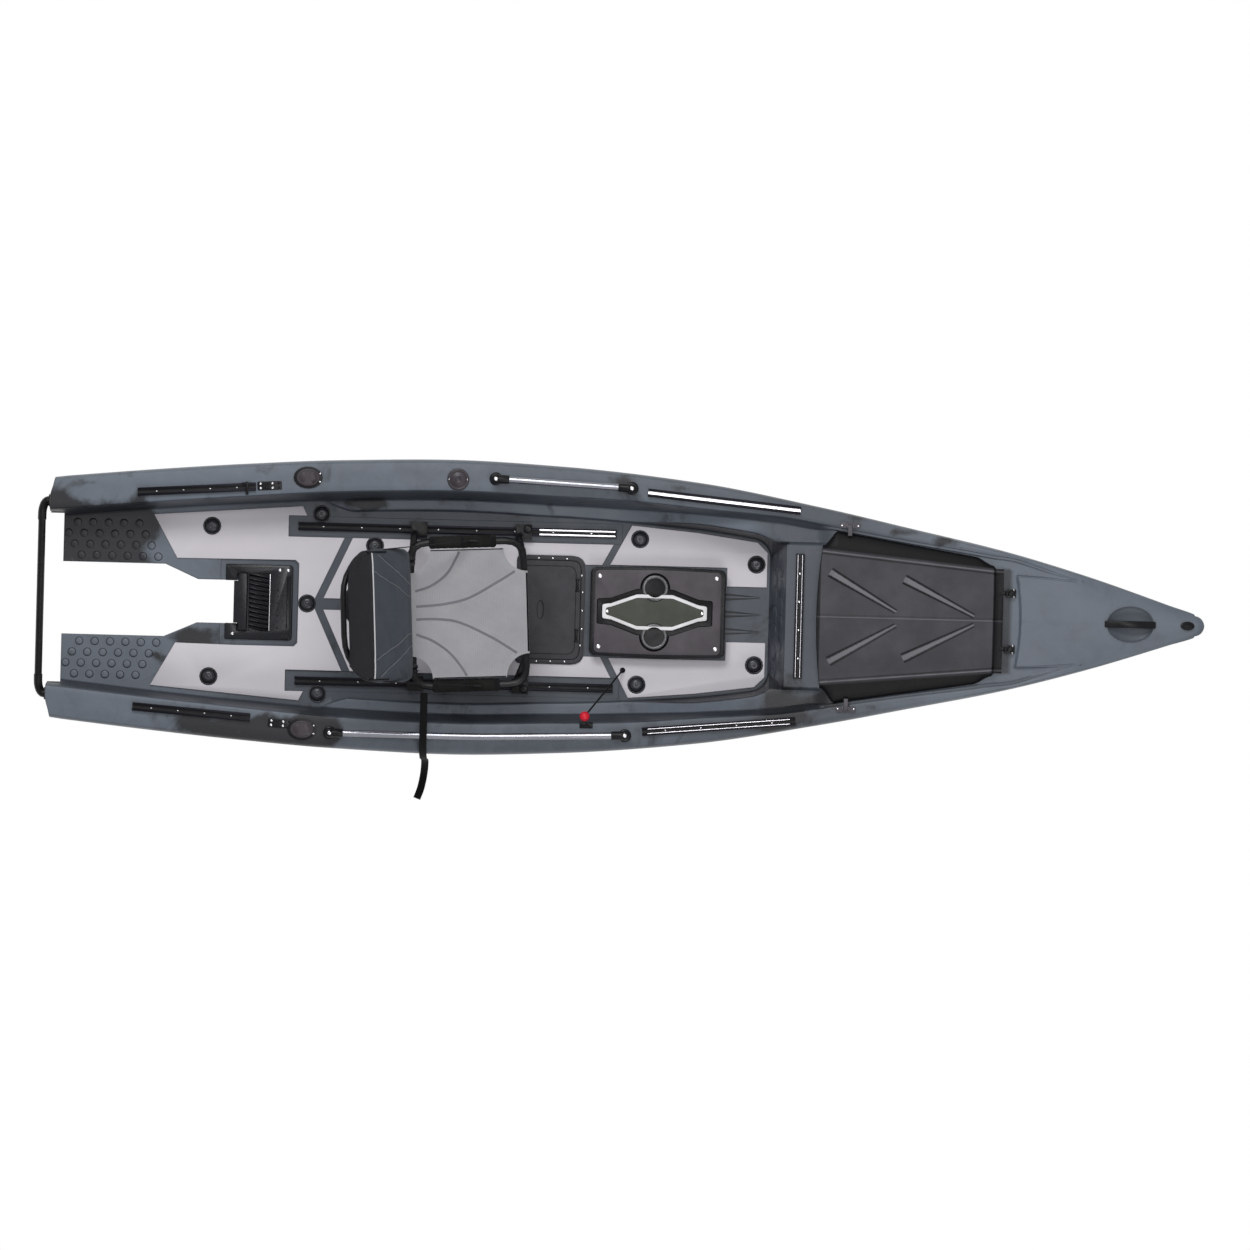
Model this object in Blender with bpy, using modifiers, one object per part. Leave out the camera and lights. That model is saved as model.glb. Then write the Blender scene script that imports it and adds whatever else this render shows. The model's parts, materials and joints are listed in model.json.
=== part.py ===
"""Motor-ready fishing kayak: rotomoulded hull with a stern motor notch, tracks, hatches and a folding seat.

Frame: +X to the bow, +Y to port, +Z up, metres. The origin is under the middle of the boat's box, on the
surface that the keel rests on.
"""

import math

import bmesh
import bpy
from mathutils import Matrix, Vector

# Hull
HULL_LENGTH = 3.891
HULL_BEAM = 0.992
WALL = 0.006
STERN_BAR_REACH = 0.041
BOW_X = (HULL_LENGTH + STERN_BAR_REACH) / 2
STERN_X = BOW_X - HULL_LENGTH
FLOOR_Z = 0.135
FLOOR_END_X = STERN_X + 0.045
GAP = 0.0003

# Shares of the length from the stern, against shares of the half beam or heights in metres
BEAM_CURVE = [(0.0, 0.815), (0.09, 0.885), (0.17, 0.938), (0.25, 0.978), (0.35, 1.0), (0.445, 0.972),
              (0.56, 0.888), (0.668, 0.74), (0.743, 0.617), (0.826, 0.476), (0.896, 0.325), (0.97, 0.135),
              (0.996, 0.063), (1.0, 0.03)]
SHEER_CURVE = [(0.0, 0.30), (0.35, 0.325), (0.67, 0.362), (0.83, 0.398), (1.0, 0.43)]
KEEL_CURVE = [(0.0, 0.025), (0.12, 0.0), (0.45, 0.0), (0.74, 0.0), (0.87, 0.028), (0.95, 0.115), (1.0, 0.25)]
CROWN_CURVE = [(0.0, 0.0), (0.6, 0.0), (0.845, 0.0), (0.9, 0.016), (1.0, 0.014)]
HULL_STATIONS = [0, 0.03, 0.09, 0.15, 0.21, 0.28, 0.35, 0.42, 0.49, 0.56, 0.62, 0.68, 0.73, 0.78, 0.826, 0.862,
                 0.896, 0.93, 0.96, 0.98, 0.992, 1.0]
# Half of the hull's section: (share of the half beam, share of the depth from keel to sheer)
SECTION = [(0.0, 0.0), (0.36, 0.0), (0.66, 0.03), (0.86, 0.16), (0.955, 0.40), (1.0, 0.76), (0.998, 0.90),
           (0.985, 0.975), (0.962, 1.0)]

# Cockpit: widths are measured in from the hull's side
GUNWALE_WIDTH = 0.106
FORE_GUNWALE_WIDTH = 0.056
BOW_GUNWALE_WIDTH = 0.026
COCKPIT_SLOPE = 0.028
SIDE_WIDTH = 0.172
STERN_SIDE_WIDTH = 0.142
LEDGE_HEIGHT = 0.02
LEDGE_START_X = -1.0
BULKHEAD_X = 0.508
BULKHEAD_SLOPE = 0.05
DECK_DROP = 0.015
FORE_WELL_END_X = 1.336

# Motor notch, right through the stern, and its mount
NOTCH_HALF = 0.122
NOTCH_TAPER_X = -1.535
NOTCH_NECK_X = -1.424
NOTCH_NECK_HALF = 0.073
NOTCH_END_X = -1.289
MOUNT_X = (-1.329, -1.103)
MOUNT_HALF = 0.126
MOUNT_RIM = 0.017
MOUNT_RECESS = 0.028
MOUNT_PLATE = 0.005
BOARD_X = (-1.284, -1.257)
BOARD_DEPTH = 0.115
FIN_COUNT = 12
FIN_WIDTH = 0.005
FIN_HEIGHT = 0.016
FIN_LEAN = math.radians(20)
FIN_X = (-1.246, -1.184)

# Tracks: aluminium T-slot extrusions
TRACK_WIDTH = 0.028
TRACK_HEIGHT = 0.011
SLOT_WIDTH = 0.009
SLOT_INSIDE = 0.018
SLOT_ROOF = 0.003
SLOT_FLOOR = 0.003
SEAT_TRACK_X = (-1.089, -0.015)
SEAT_TRACK_INSET = 0.063
TRACK_RECESS_MARGIN = 0.02
TRACK_RECESS_DEPTH = 0.003

# Pads, plugs and hatches
PAD_THICK = 0.005
PAD_MARGIN = 0.009
PAD_HOLE_GAP = 0.002
# The bare strips between the pads: a Y behind the seat, and a diagonal on each side beside the console
ARM_HALF = 0.013
AFT_VERTEX = (-1.021, 0.0)
AFT_ARM_END = (-0.917, 0.227)
MID_ARM_HALF = 0.0195
FORE_ARM_AFT = [(-0.061, 0.155), (-0.022, 0.228)]
FORE_ARM_FORE = [(-0.033, 0.157), (0.037, 0.290)]
WEDGE_HALF = 0.094
PAD_RECESS_IN = 0.036
PLUG_FLANGE_R = 0.029
PLUG_FLANGE_THICK = 0.006
PLUG_DOME = 0.009
SCUPPER_R = 0.02
PLUG_STEM_R = 0.0185
PLUG_STEM = 0.04
SCUPPER_WALL = 0.006
# Each pair of scuppers: x, and how far in from the floor's edge, or None on the centre line, or "track" beside a track
SCUPPERS = [(-1.38, 0.06), (-1.053, None), (-1.011, "track"), (-0.829, 0.117), (0.065, 0.052), (0.46, 0.083)]
PLUG_TRACK_GAP = 0.000375353
ROUND_HATCH_X = -0.861
ROUND_HATCH_R = 0.072
ROUND_HATCH_MOUTH_R = 0.056

TACKLE_X = (-0.345, -0.118)
TACKLE_HALF = 0.18
TACKLE_CORNER = 0.045
TACKLE_RIM = 0.02
TACKLE_FRAME_HEIGHT = 0.014
TACKLE_LID_GAP = 0.0015
TACKLE_REBATE = 0.012
TACKLE_REBATE_FLOOR = 0.005
TACKLE_LID_PROUD = 0.003
TACKLE_HINGE_X = -0.125
FINGER_PULL = (0.079, 0.011, 0.032)

CONSOLE_X = (-0.098, 0.358)
CONSOLE_HALF = 0.148
CONSOLE_BOW = 0.007
CONSOLE_HEIGHT = 0.05
CONSOLE_GROOVE = 0.02
CONSOLE_POCKET = 0.042
LID_X = 0.12
LID_HALF_LENGTH = 0.177
LID_TAB = (0.03, 0.024)
LID_HALF_WIDTH = 0.06
LID_SHOULDER_X = 0.06
LID_THICK = 0.011
LID_MARGIN = 0.018
LOOP_Y = 0.082
LOOP_R = 0.045
LOOP_BORE_R = 0.032
LOOP_CLEARANCE = 0.005
LOOP_STEP = 0.0012
LID_PANEL_IN = 0.012
LID_PANEL_DEEP = 0.0015

# Bow hatch cover
COVER_X = (0.673, 1.256)
COVER_SKIRT_INSET = (0.071, 0.040)
COVER_RIB_HALF = (0.221, 0.166)
COVER_RISE = (0.078, 0.05)
COVER_THICK = 0.005
COVER_BAND_END_X = 1.29
COVER_BAND_HALF = 0.175
HATCH_MOUTH_X = (0.70, 1.235)
HATCH_MOUTH_INSET = 0.105
HATCH_HINGE_X = 1.302
HATCH_HINGE_Y = 0.094
HINGE_LIFT = 0.014
HINGE_PIN_R = 0.003
HINGE_BARREL_R = 0.007
HINGE_BARREL_LONG = 0.014
HINGE_EAR = 0.006
PIN_GAP = 0.0006
LATCH_X = 0.77
LATCH_IN = 0.044
LATCH_PIN_R = 0.0025
LATCH_LEVER = 0.034
LATCH_WIDTH = 0.014
LATCH_PIN = (-0.004, 0.009)
LATCH_LEVER_HALF = 0.0044
LATCH_BASE = (0.034, 0.016, 0.004)

# Seat
SEAT_X = -0.506
SEAT_OFFSET = -0.020
SEAT_YAW = math.radians(3.0)
SEAT_FRAME_Z = 0.38
SEAT_HALF_LENGTH = 0.19
SEAT_SIDE_IN = 0.019
SEAT_CORNER = 0.06
SEAT_TUBE_R = 0.0125
CLAMP_X = (-0.681, -0.328)
CLAMP_SIZE = (0.055, 0.05, 0.024)
LEG_KNEE_DROP = 0.03
LEG_JOINT_IN = 0.03
LEG_BEND = 0.05
LEG_FOOT = (-0.013, -0.014)
KNOB_FOOT = (0.013, 0.009)
SLEEVE_R = 0.022
SLEEVE_X = (-0.165, 0.1)
SLING_THICK = 0.003
SLING_SAG = 0.016
SLING_CUT_R = 0.05
PIVOT_Z = 0.435
PIVOT_LUG_THICK = 0.005
PIVOT_LUG_R = 0.014
PIVOT_PIN_R = 0.005
RECLINE = math.radians(27)
BACK_HEIGHT = 0.44
BACK_TUBE_R = 0.010
BACK_PAD_START = 0.06
BACK_PAD_THICK = 0.035
BACK_PAD_HALF = 0.225
KNOB_R = 0.0145
KNOB_HEIGHT = 0.018

# Fittings on the gunwales
FORE_TRACK = [(0.088, 0.057), (0.602, 0.027)]
AFT_TRACK = [(-1.629, 0.073), (-1.232, 0.079)]
CROSS_TRACK_X = 0.605
CROSS_TRACK_HALF = 0.21
RAIL_R = 0.0115
RAIL_LIFT = 0.042
RAIL_FOOT_R = 0.022
PORT_RAIL = [(-0.425, 0.058), (0.033, 0.050)]
STARBOARD_RAIL = [(-0.963, 0.052), (-0.47, 0.060), (0.030, 0.048)]
ROD_X = -1.057
ROD_IN = 0.056
ROD_TUBE_R = 0.024
ROD_BORE_R = 0.0205
ROD_LONG = 0.15
ROD_TILT = math.radians(28)
ROD_FLANGE = (0.049, 0.037)
ROD_FLANGE_THICK = 0.004
ROD_CAP_THICK = 0.005
ROD_CAP_SHARE = 0.8
CABLE_COVER_X = -0.552
CABLE_COVER_R = 0.037
BOW_HANDLE_X = 1.717
BOW_HANDLE_RECESS = (0.08, 0.062, 0.018)
BOW_HANDLE = (0.172, 0.03)
BOW_EYE_X = 1.909
STERN_BAR_R = 0.0125
STERN_BAR_Z = 0.225
STERN_ELBOW_WALL = 0.002
STERN_ELBOW_LONG = 0.045
STERN_FLANGE_R = 0.021
STERN_BAR_IN = 0.07924
STERN_BAR_HALF = HULL_BEAM / 2 * BEAM_CURVE[0][1] - STERN_BAR_IN
STERN_ELBOW_ROOT = 0.006
KEEPER_X = -0.101
KEEPER_ANCHOR = (0.017, -0.198)
BUNGEE_R = 0.003
BALL_R = 0.017

# The seat strap's free end: from the seat over the rail and the gunwale, down the side and out along the ground
STRAP_WIDTH = 0.025
STRAP_THICK = 0.002
STRAP_ROUTE = [(-0.648, -0.2897, 0.373), (-0.648, -0.330, 0.3765), (-0.648, -0.372, 0.3785),
               (-0.648, -0.405, 0.3792), (-0.648, -0.4345, 0.3790), (-0.648, -0.462, 0.3680),
               (-0.648, -0.486, 0.3430), (-0.647, -0.503, 0.3080), (-0.646, -0.511, 0.2650),
               (-0.645, -0.513, 0.2150), (-0.644, -0.514, 0.1600), (-0.643, -0.518, 0.1050),
               (-0.643, -0.530, 0.0560), (-0.645, -0.557, 0.0190), (-0.650, -0.590, 0.0045),
               (-0.657, -0.620, 0.0025), (-0.668, -0.650, 0.0025)]

COLOURS = {
    "hull": ((0.12, 0.14, 0.165), 0.45, 0.0),
    "pad": ((0.56, 0.54, 0.58), 0.85, 0.0),
    "black_plastic": ((0.018, 0.018, 0.02), 0.5, 0.0),
    "hatch_plastic": ((0.04, 0.038, 0.042), 0.5, 0.0),
    "console_plastic": ((0.06, 0.055, 0.06), 0.5, 0.0),
    "aluminium": ((0.55, 0.55, 0.57), 0.3, 1.0),
    "black_metal": ((0.02, 0.02, 0.022), 0.4, 0.6),
    "mesh": ((0.36, 0.36, 0.38), 0.9, 0.0),
    "backrest": ((0.09, 0.10, 0.12), 0.85, 0.0),
    "foam": ((0.02, 0.02, 0.02), 0.95, 0.0),
    "webbing": ((0.012, 0.012, 0.013), 0.8, 0.0),
    "red_ball": ((0.5, 0.01, 0.04), 0.3, 0.0),
}


def clear_scene():
    for item in list(bpy.data.objects):
        bpy.data.objects.remove(item, do_unlink=True)


def collection(name):
    group = bpy.data.collections.new(name)
    bpy.context.scene.collection.children.link(group)
    return group


clear_scene()
PARTS = collection("motorized_kayak")
CUTTERS = collection("cutters")


def material(name):
    existing = bpy.data.materials.get(name)
    if existing:
        return existing
    colour, roughness, metallic = COLOURS[name]
    made = bpy.data.materials.new(name)
    made.use_nodes = True
    shader = made.node_tree.nodes["Principled BSDF"]
    shader.inputs["Base Color"].default_value = (*colour, 1)
    shader.inputs["Roughness"].default_value = roughness
    shader.inputs["Metallic"].default_value = metallic
    return made


# Curves through the hull's stations

def smooth_value(stations, at):
    """A smooth curve through (place, value) stations, with no overshoot between them."""
    at = min(max(at, stations[0][0]), stations[-1][0])
    slopes = [(b[1] - a[1]) / (b[0] - a[0]) for a, b in zip(stations, stations[1:])]
    tangents = [slopes[0]]
    for before, after in zip(slopes, slopes[1:]):
        tangents.append(0 if before * after <= 0 else 2 * before * after / (before + after))
    tangents.append(slopes[-1])
    for i, (a, b) in enumerate(zip(stations, stations[1:])):
        if at <= b[0]:
            span = b[0] - a[0]
            t = (at - a[0]) / span
            rise = 3 * t * t - 2 * t ** 3
            return (a[1] * (1 - rise) + b[1] * rise + tangents[i] * span * (t ** 3 - 2 * t * t + t)
                    + tangents[i + 1] * span * (t ** 3 - t * t))
    return stations[-1][1]


def mix(a, b, t):
    return a + (b - a) * min(max(t, 0), 1)


def ramp(x, start, end):
    return min(max((x - start) / (end - start), 0), 1)


def share(x):
    return (x - STERN_X) / HULL_LENGTH


def half_beam(x):
    return HULL_BEAM / 2 * smooth_value(BEAM_CURVE, share(x))


def sheer_z(x):
    return smooth_value(SHEER_CURVE, share(x))


def keel_z(x):
    return smooth_value(KEEL_CURVE, share(x))


def gunwale_width(x):
    width = mix(GUNWALE_WIDTH, FORE_GUNWALE_WIDTH, ramp(x, 0.42, 0.74))
    return mix(width, BOW_GUNWALE_WIDTH, ramp(x, 0.74, 1.25))


def inner_edge(x):
    return half_beam(x) - gunwale_width(x)


def floor_half(x):
    side = mix(STERN_SIDE_WIDTH, SIDE_WIDTH, ramp(x, LEDGE_START_X, LEDGE_START_X + 0.09))
    return half_beam(x) - side + 0.018 * ramp(x, -0.3, 0.5)


def deck_z(x):
    return sheer_z(x) - DECK_DROP


# Mesh helpers

def put(name, mesh, look, group=PARTS):
    made = bpy.data.objects.new(name, mesh)
    group.objects.link(made)
    if look:
        mesh.materials.clear()
        mesh.materials.append(material(look))
    if group is CUTTERS:
        made.hide_render = True
        made.display_type = "WIRE"
    return made


def finish_mesh(shape, name):
    bmesh.ops.recalc_face_normals(shape, faces=shape.faces)
    mesh = bpy.data.meshes.new(name)
    shape.to_mesh(mesh)
    shape.free()
    return mesh


def loft(name, rings, look=None, group=PARTS):
    """A closed solid through rings of as many points each, flat at both ends."""
    shape = bmesh.new()
    rows = [[shape.verts.new(p) for p in ring] for ring in rings]
    count = len(rings[0])
    for a, b in zip(rows, rows[1:]):
        for i in range(count):
            shape.faces.new((a[i], a[(i + 1) % count], b[(i + 1) % count], b[i]))
    shape.faces.new(rows[0][::-1])
    shape.faces.new(rows[-1])
    return put(name, finish_mesh(shape, name), look, group)


def skin(name, rows, thickness, look):
    """An open surface through rows of points, thickened inwards with Solidify."""
    shape = bmesh.new()
    grid = [[shape.verts.new(p) for p in row] for row in rows]
    for a, b in zip(grid, grid[1:]):
        for i in range(len(a) - 1):
            shape.faces.new((a[i], b[i], b[i + 1], a[i + 1]))
    bmesh.ops.recalc_face_normals(shape, faces=shape.faces)
    if sum(f.normal.z for f in shape.faces) < 0:
        bmesh.ops.reverse_faces(shape, faces=shape.faces)
    mesh = bpy.data.meshes.new(name)
    shape.to_mesh(mesh)
    shape.free()
    made = put(name, mesh, look)
    solid = made.modifiers.new("thickness", "SOLIDIFY")
    solid.thickness = thickness
    solid.offset = -1
    return made


def curve_mesh(name, data, place=Matrix()):
    """The closed mesh that a curve makes, with its caps welded."""
    guide = bpy.data.objects.new(name + "_guide", data)
    CUTTERS.objects.link(guide)
    guide.matrix_world = place
    bpy.context.view_layer.update()
    mesh = bpy.data.meshes.new_from_object(guide.evaluated_get(bpy.context.evaluated_depsgraph_get()))
    bpy.data.objects.remove(guide, do_unlink=True)
    mesh.transform(place)
    shape = bmesh.new()
    shape.from_mesh(mesh)
    bmesh.ops.remove_doubles(shape, verts=shape.verts, dist=0.00002)
    bmesh.ops.recalc_face_normals(shape, faces=shape.faces)
    shape.to_mesh(mesh)
    shape.free()
    mesh.name = name
    return mesh


def plate(name, outline, low, high, look=None, group=PARTS):
    """A flat outline in the XY plane, extruded from z = low to high."""
    data = bpy.data.curves.new(name, "CURVE")
    data.dimensions = "2D"
    data.fill_mode = "BOTH"
    data.extrude = (high - low) / 2
    spline = data.splines.new("POLY")
    spline.points.add(len(outline) - 1)
    for point, (x, y) in zip(spline.points, outline):
        point.co = (x, y, 0, 1)
    spline.use_cyclic_u = True
    place = Matrix.Translation((0, 0, (low + high) / 2))
    return put(name, curve_mesh(name, data, place), look, group)


def tube(name, points, radius, look=None, group=PARTS, closed=False, resolution=2):
    data = bpy.data.curves.new(name, "CURVE")
    data.dimensions = "3D"
    data.bevel_depth = radius
    data.bevel_resolution = resolution
    data.use_fill_caps = True
    spline = data.splines.new("POLY")
    spline.points.add(len(points) - 1)
    for point, co in zip(spline.points, points):
        point.co = (*co, 1)
    spline.use_cyclic_u = closed
    return put(name, curve_mesh(name, data), look, group)


def cylinder(name, radius, low, high, at=(0, 0), look=None, group=PARTS, sides=20, top=None):
    shape = bmesh.new()
    bmesh.ops.create_cone(shape, cap_ends=True, segments=sides, radius1=radius,
                          radius2=radius if top is None else top, depth=high - low,
                          matrix=Matrix.Translation((at[0], at[1], (low + high) / 2)))
    return put(name, finish_mesh(shape, name), look, group)


def block(name, low, high, look=None, group=PARTS):
    shape = bmesh.new()
    size = [b - a for a, b in zip(low, high)]
    middle = [(a + b) / 2 for a, b in zip(low, high)]
    bmesh.ops.create_cube(shape, size=1, matrix=Matrix.Translation(middle) @ Matrix.Diagonal((*size, 1)))
    return put(name, finish_mesh(shape, name), look, group)


def boolean(target, other, operation):
    step = target.modifiers.new(operation.lower(), "BOOLEAN")
    step.operation = operation
    step.object = other
    if other.name not in CUTTERS.objects:
        PARTS.objects.unlink(other)
        CUTTERS.objects.link(other)
        other.hide_render = True
        other.display_type = "WIRE"
    return target


def cut(target, *cutters):
    for cutter in cutters:
        boolean(target, cutter, "DIFFERENCE")
    return target


def fuse(target, *others):
    for other in others:
        boolean(target, other, "UNION")
    return target


def move(thing, matrix):
    thing.data.transform(matrix)
    return thing


def rounded_edges(thing, width, segments=2, angle=40):
    step = thing.modifiers.new("rounding", "BEVEL")
    step.width = width
    step.segments = segments
    step.limit_method = "ANGLE"
    step.angle_limit = math.radians(angle)
    return thing


def smooth(thing, angle=35):
    thing.data.shade_smooth()
    thing.data.set_sharp_from_angle(angle=math.radians(angle))
    return thing


def arc(centre, radius, start, end, steps):
    """Points on an arc in the plane, angles in degrees, both ends among them."""
    angles = [math.radians(start + (end - start) * i / steps) for i in range(steps + 1)]
    return [(centre[0] + radius * math.cos(a), centre[1] + radius * math.sin(a)) for a in angles]


def round_corners(corners, radius, steps=3):
    """The outline again with each corner rounded; radius is one value or one for each corner."""
    radii = radius if isinstance(radius, (list, tuple)) else [radius] * len(corners)
    outline = []
    for i, corner in enumerate(corners):
        here = Vector(corner)
        back = Vector(corners[i - 1]) - here
        ahead = Vector(corners[(i + 1) % len(corners)]) - here
        if radii[i] <= 0:
            outline.append(tuple(here))
            continue
        half = back.angle(ahead) / 2
        reach = min(radii[i] / math.tan(half), 0.45 * back.length, 0.45 * ahead.length)
        start, end = here + back.normalized() * reach, here + ahead.normalized() * reach
        for k in range(steps + 1):
            t = k / steps
            outline.append(tuple(start * (1 - t) ** 2 + here * 2 * t * (1 - t) + end * t * t))
    return outline


def bent_path(corners, radius, steps=4):
    """A path in space with its inner corners rounded."""
    path = [Vector(corners[0])]
    for before, here, after in zip(corners, corners[1:], corners[2:]):
        here = Vector(here)
        back, ahead = Vector(before) - here, Vector(after) - here
        reach = min(radius, 0.48 * back.length, 0.48 * ahead.length)
        start, end = here + back.normalized() * reach, here + ahead.normalized() * reach
        for k in range(steps + 1):
            t = k / steps
            path.append(start * (1 - t) ** 2 + here * 2 * t * (1 - t) + end * t * t)
    path.append(Vector(corners[-1]))
    return [tuple(p) for p in path]


def mirrored(points):
    return [(x, -y) for x, y in points][::-1]


# Hull

def hull_ring(x, inset=0.0):
    beam, keel, sheer = half_beam(x) - inset, keel_z(x) + inset, sheer_z(x) - inset
    crown = smooth_value(CROWN_CURVE, share(x))
    half = [(beam * a, keel + (sheer - keel) * b) for a, b in SECTION]
    half += [(beam * 0.5, sheer + crown * 0.8), (0, sheer + crown)]
    other = [(-y, z) for y, z in half[1:-1]][::-1]
    return [(x, y, z) for y, z in half + other]


def hull_solid(name, inset, group):
    places = [STERN_X + s * HULL_LENGTH for s in HULL_STATIONS]
    if inset:
        places = [p for p in places[::2] if STERN_X + 3 * inset < p < BOW_X - 0.05]
        places = [STERN_X + inset] + places + [BOW_X - 0.05]
    return loft(name, [hull_ring(x, inset) for x in places], "hull", group)


def cockpit_section(x, floor, grow):
    """The open well's section at x: floor, ledge, sloping side, and straight up past the gunwale."""
    flat, inner = floor_half(x) + grow, inner_edge(x) + grow
    ledge = LEDGE_HEIGHT * ramp(x, LEDGE_START_X, LEDGE_START_X + 0.09)
    foot = mix(flat + 0.006, inner - COCKPIT_SLOPE, ramp(x, LEDGE_START_X, LEDGE_START_X + 0.09))
    top, over = sheer_z(x), sheer_z(x) + 0.2
    floor = floor - grow
    step = min(floor + ledge + 0.001, top - 0.004)
    half = [(flat, floor), (flat + 0.004, step), (foot, step + 0.001), (inner, top), (inner, over)]
    return [(x, y, z) for y, z in half] + [(x, -y, z) for y, z in half[::-1]]


def cockpit_solid(name, grow):
    places = [STERN_X - 0.05, FLOOR_END_X, -1.6, -1.35, LEDGE_START_X, LEDGE_START_X + 0.045,
              LEDGE_START_X + 0.09, -0.75, -0.5, -0.25, 0.0, 0.25, BULKHEAD_X - 0.048]
    rings = [cockpit_section(x, FLOOR_Z, grow) for x in places]
    rings.append(bulkhead_section(grow))
    for x in (BULKHEAD_X + BULKHEAD_SLOPE + grow, 0.68, 0.9, 1.1, 1.25, FORE_WELL_END_X):
        rings.append(fore_well_section(x, grow))
    return loft(name, rings, None, CUTTERS)


def bulkhead_section(grow):
    """The well's forward end at the foot of the bulkhead, drawn in so that its corners are rounded in plan."""
    ring = cockpit_section(BULKHEAD_X - 0.006 + grow, FLOOR_Z, grow)
    return [(x, math.copysign(abs(y) - 0.022, y) if i in (0, 1, 8, 9) else y, z) for i, (x, y, z) in enumerate(ring)]


def fore_well_section(x, grow):
    """The shallow well round the cross beam and under the bow hatch cover."""
    inner = inner_edge(x) + grow
    floor, top, over = deck_z(x) - grow, sheer_z(x), sheer_z(x) + 0.2
    half = [(inner - 0.02, floor), (inner - 0.008, floor), (inner - 0.003, floor + 0.003), (inner, top),
            (inner, over)]
    return [(x, y, z) for y, z in half] + [(x, -y, z) for y, z in half[::-1]]


def notch_outline(grow):
    half = [(STERN_X - 0.1, NOTCH_HALF + grow), (NOTCH_TAPER_X, NOTCH_HALF + grow),
            (NOTCH_NECK_X + grow, NOTCH_NECK_HALF + grow), (NOTCH_END_X + grow, NOTCH_NECK_HALF + grow)]
    return half + mirrored(half)


def stern_gap_outline(grow):
    """The floor stops short of the gunwales' ends."""
    side = floor_half(FLOOR_END_X) + 0.022 + grow
    return [(STERN_X - 0.1, -side), (FLOOR_END_X + grow, -side), (FLOOR_END_X + grow, side),
            (STERN_X - 0.1, side)]


def mount_outline(grow):
    x0, x1 = MOUNT_X
    return round_corners([(x0 - grow, -MOUNT_HALF - grow), (x1 + grow, -MOUNT_HALF - grow),
                          (x1 + grow, MOUNT_HALF + grow), (x0 - grow, MOUNT_HALF + grow)],
                         [0, 0.012 + grow, 0.012 + grow, 0], 3)


def hatch_mouth_outline():
    x0, x1 = HATCH_MOUTH_X
    half = [(x0, half_beam(x0) - HATCH_MOUTH_INSET - 0.02), (x1, half_beam(x1) - HATCH_MOUTH_INSET + 0.02)]
    return round_corners(half + mirrored(half), 0.04, 4)


def tackle_outline(grow):
    (x0, x1), y = TACKLE_X, TACKLE_HALF + grow
    corner = TACKLE_CORNER + grow
    return round_corners([(x0 - grow, -y), (x1 + grow, -y), (x1 + grow, y), (x0 - grow, y)],
                         [0.02, corner, corner, 0.02], 4)


def scupper_places():
    places = []
    for x, inset in SCUPPERS:
        if inset is None:
            places.append(("centre", x, 0.0))
            continue
        if inset == "track":
            y = seat_track_y() + TRACK_WIDTH / 2 + PLUG_TRACK_GAP + PLUG_FLANGE_R
        else:
            y = floor_half(x) - inset
        places += [("port", x, y), ("starboard", x, -y)]
    return places


def rod_matrix(side):
    """From a tube standing on the origin to the rod holder's slanted place in the gunwale."""
    y = side * (half_beam(ROD_X) - ROD_IN)
    return Matrix.Translation((ROD_X, y, sheer_z(ROD_X))) @ Matrix.Rotation(-ROD_TILT, 4, "Y")


def handle_recess(grow):
    long, wide, deep = (size + grow for size in BOW_HANDLE_RECESS)
    shape = bmesh.new()
    bmesh.ops.create_uvsphere(shape, u_segments=16, v_segments=8, radius=1)
    made = put("bow_handle_recess", finish_mesh(shape, "bow_handle_recess"), None, CUTTERS)
    crown = smooth_value(CROWN_CURVE, share(BOW_HANDLE_X))
    top = sheer_z(BOW_HANDLE_X) + crown
    return move(made, Matrix.Translation((BOW_HANDLE_X, 0, top)) @ Matrix.Diagonal((long, wide, deep, 1)))


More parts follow.
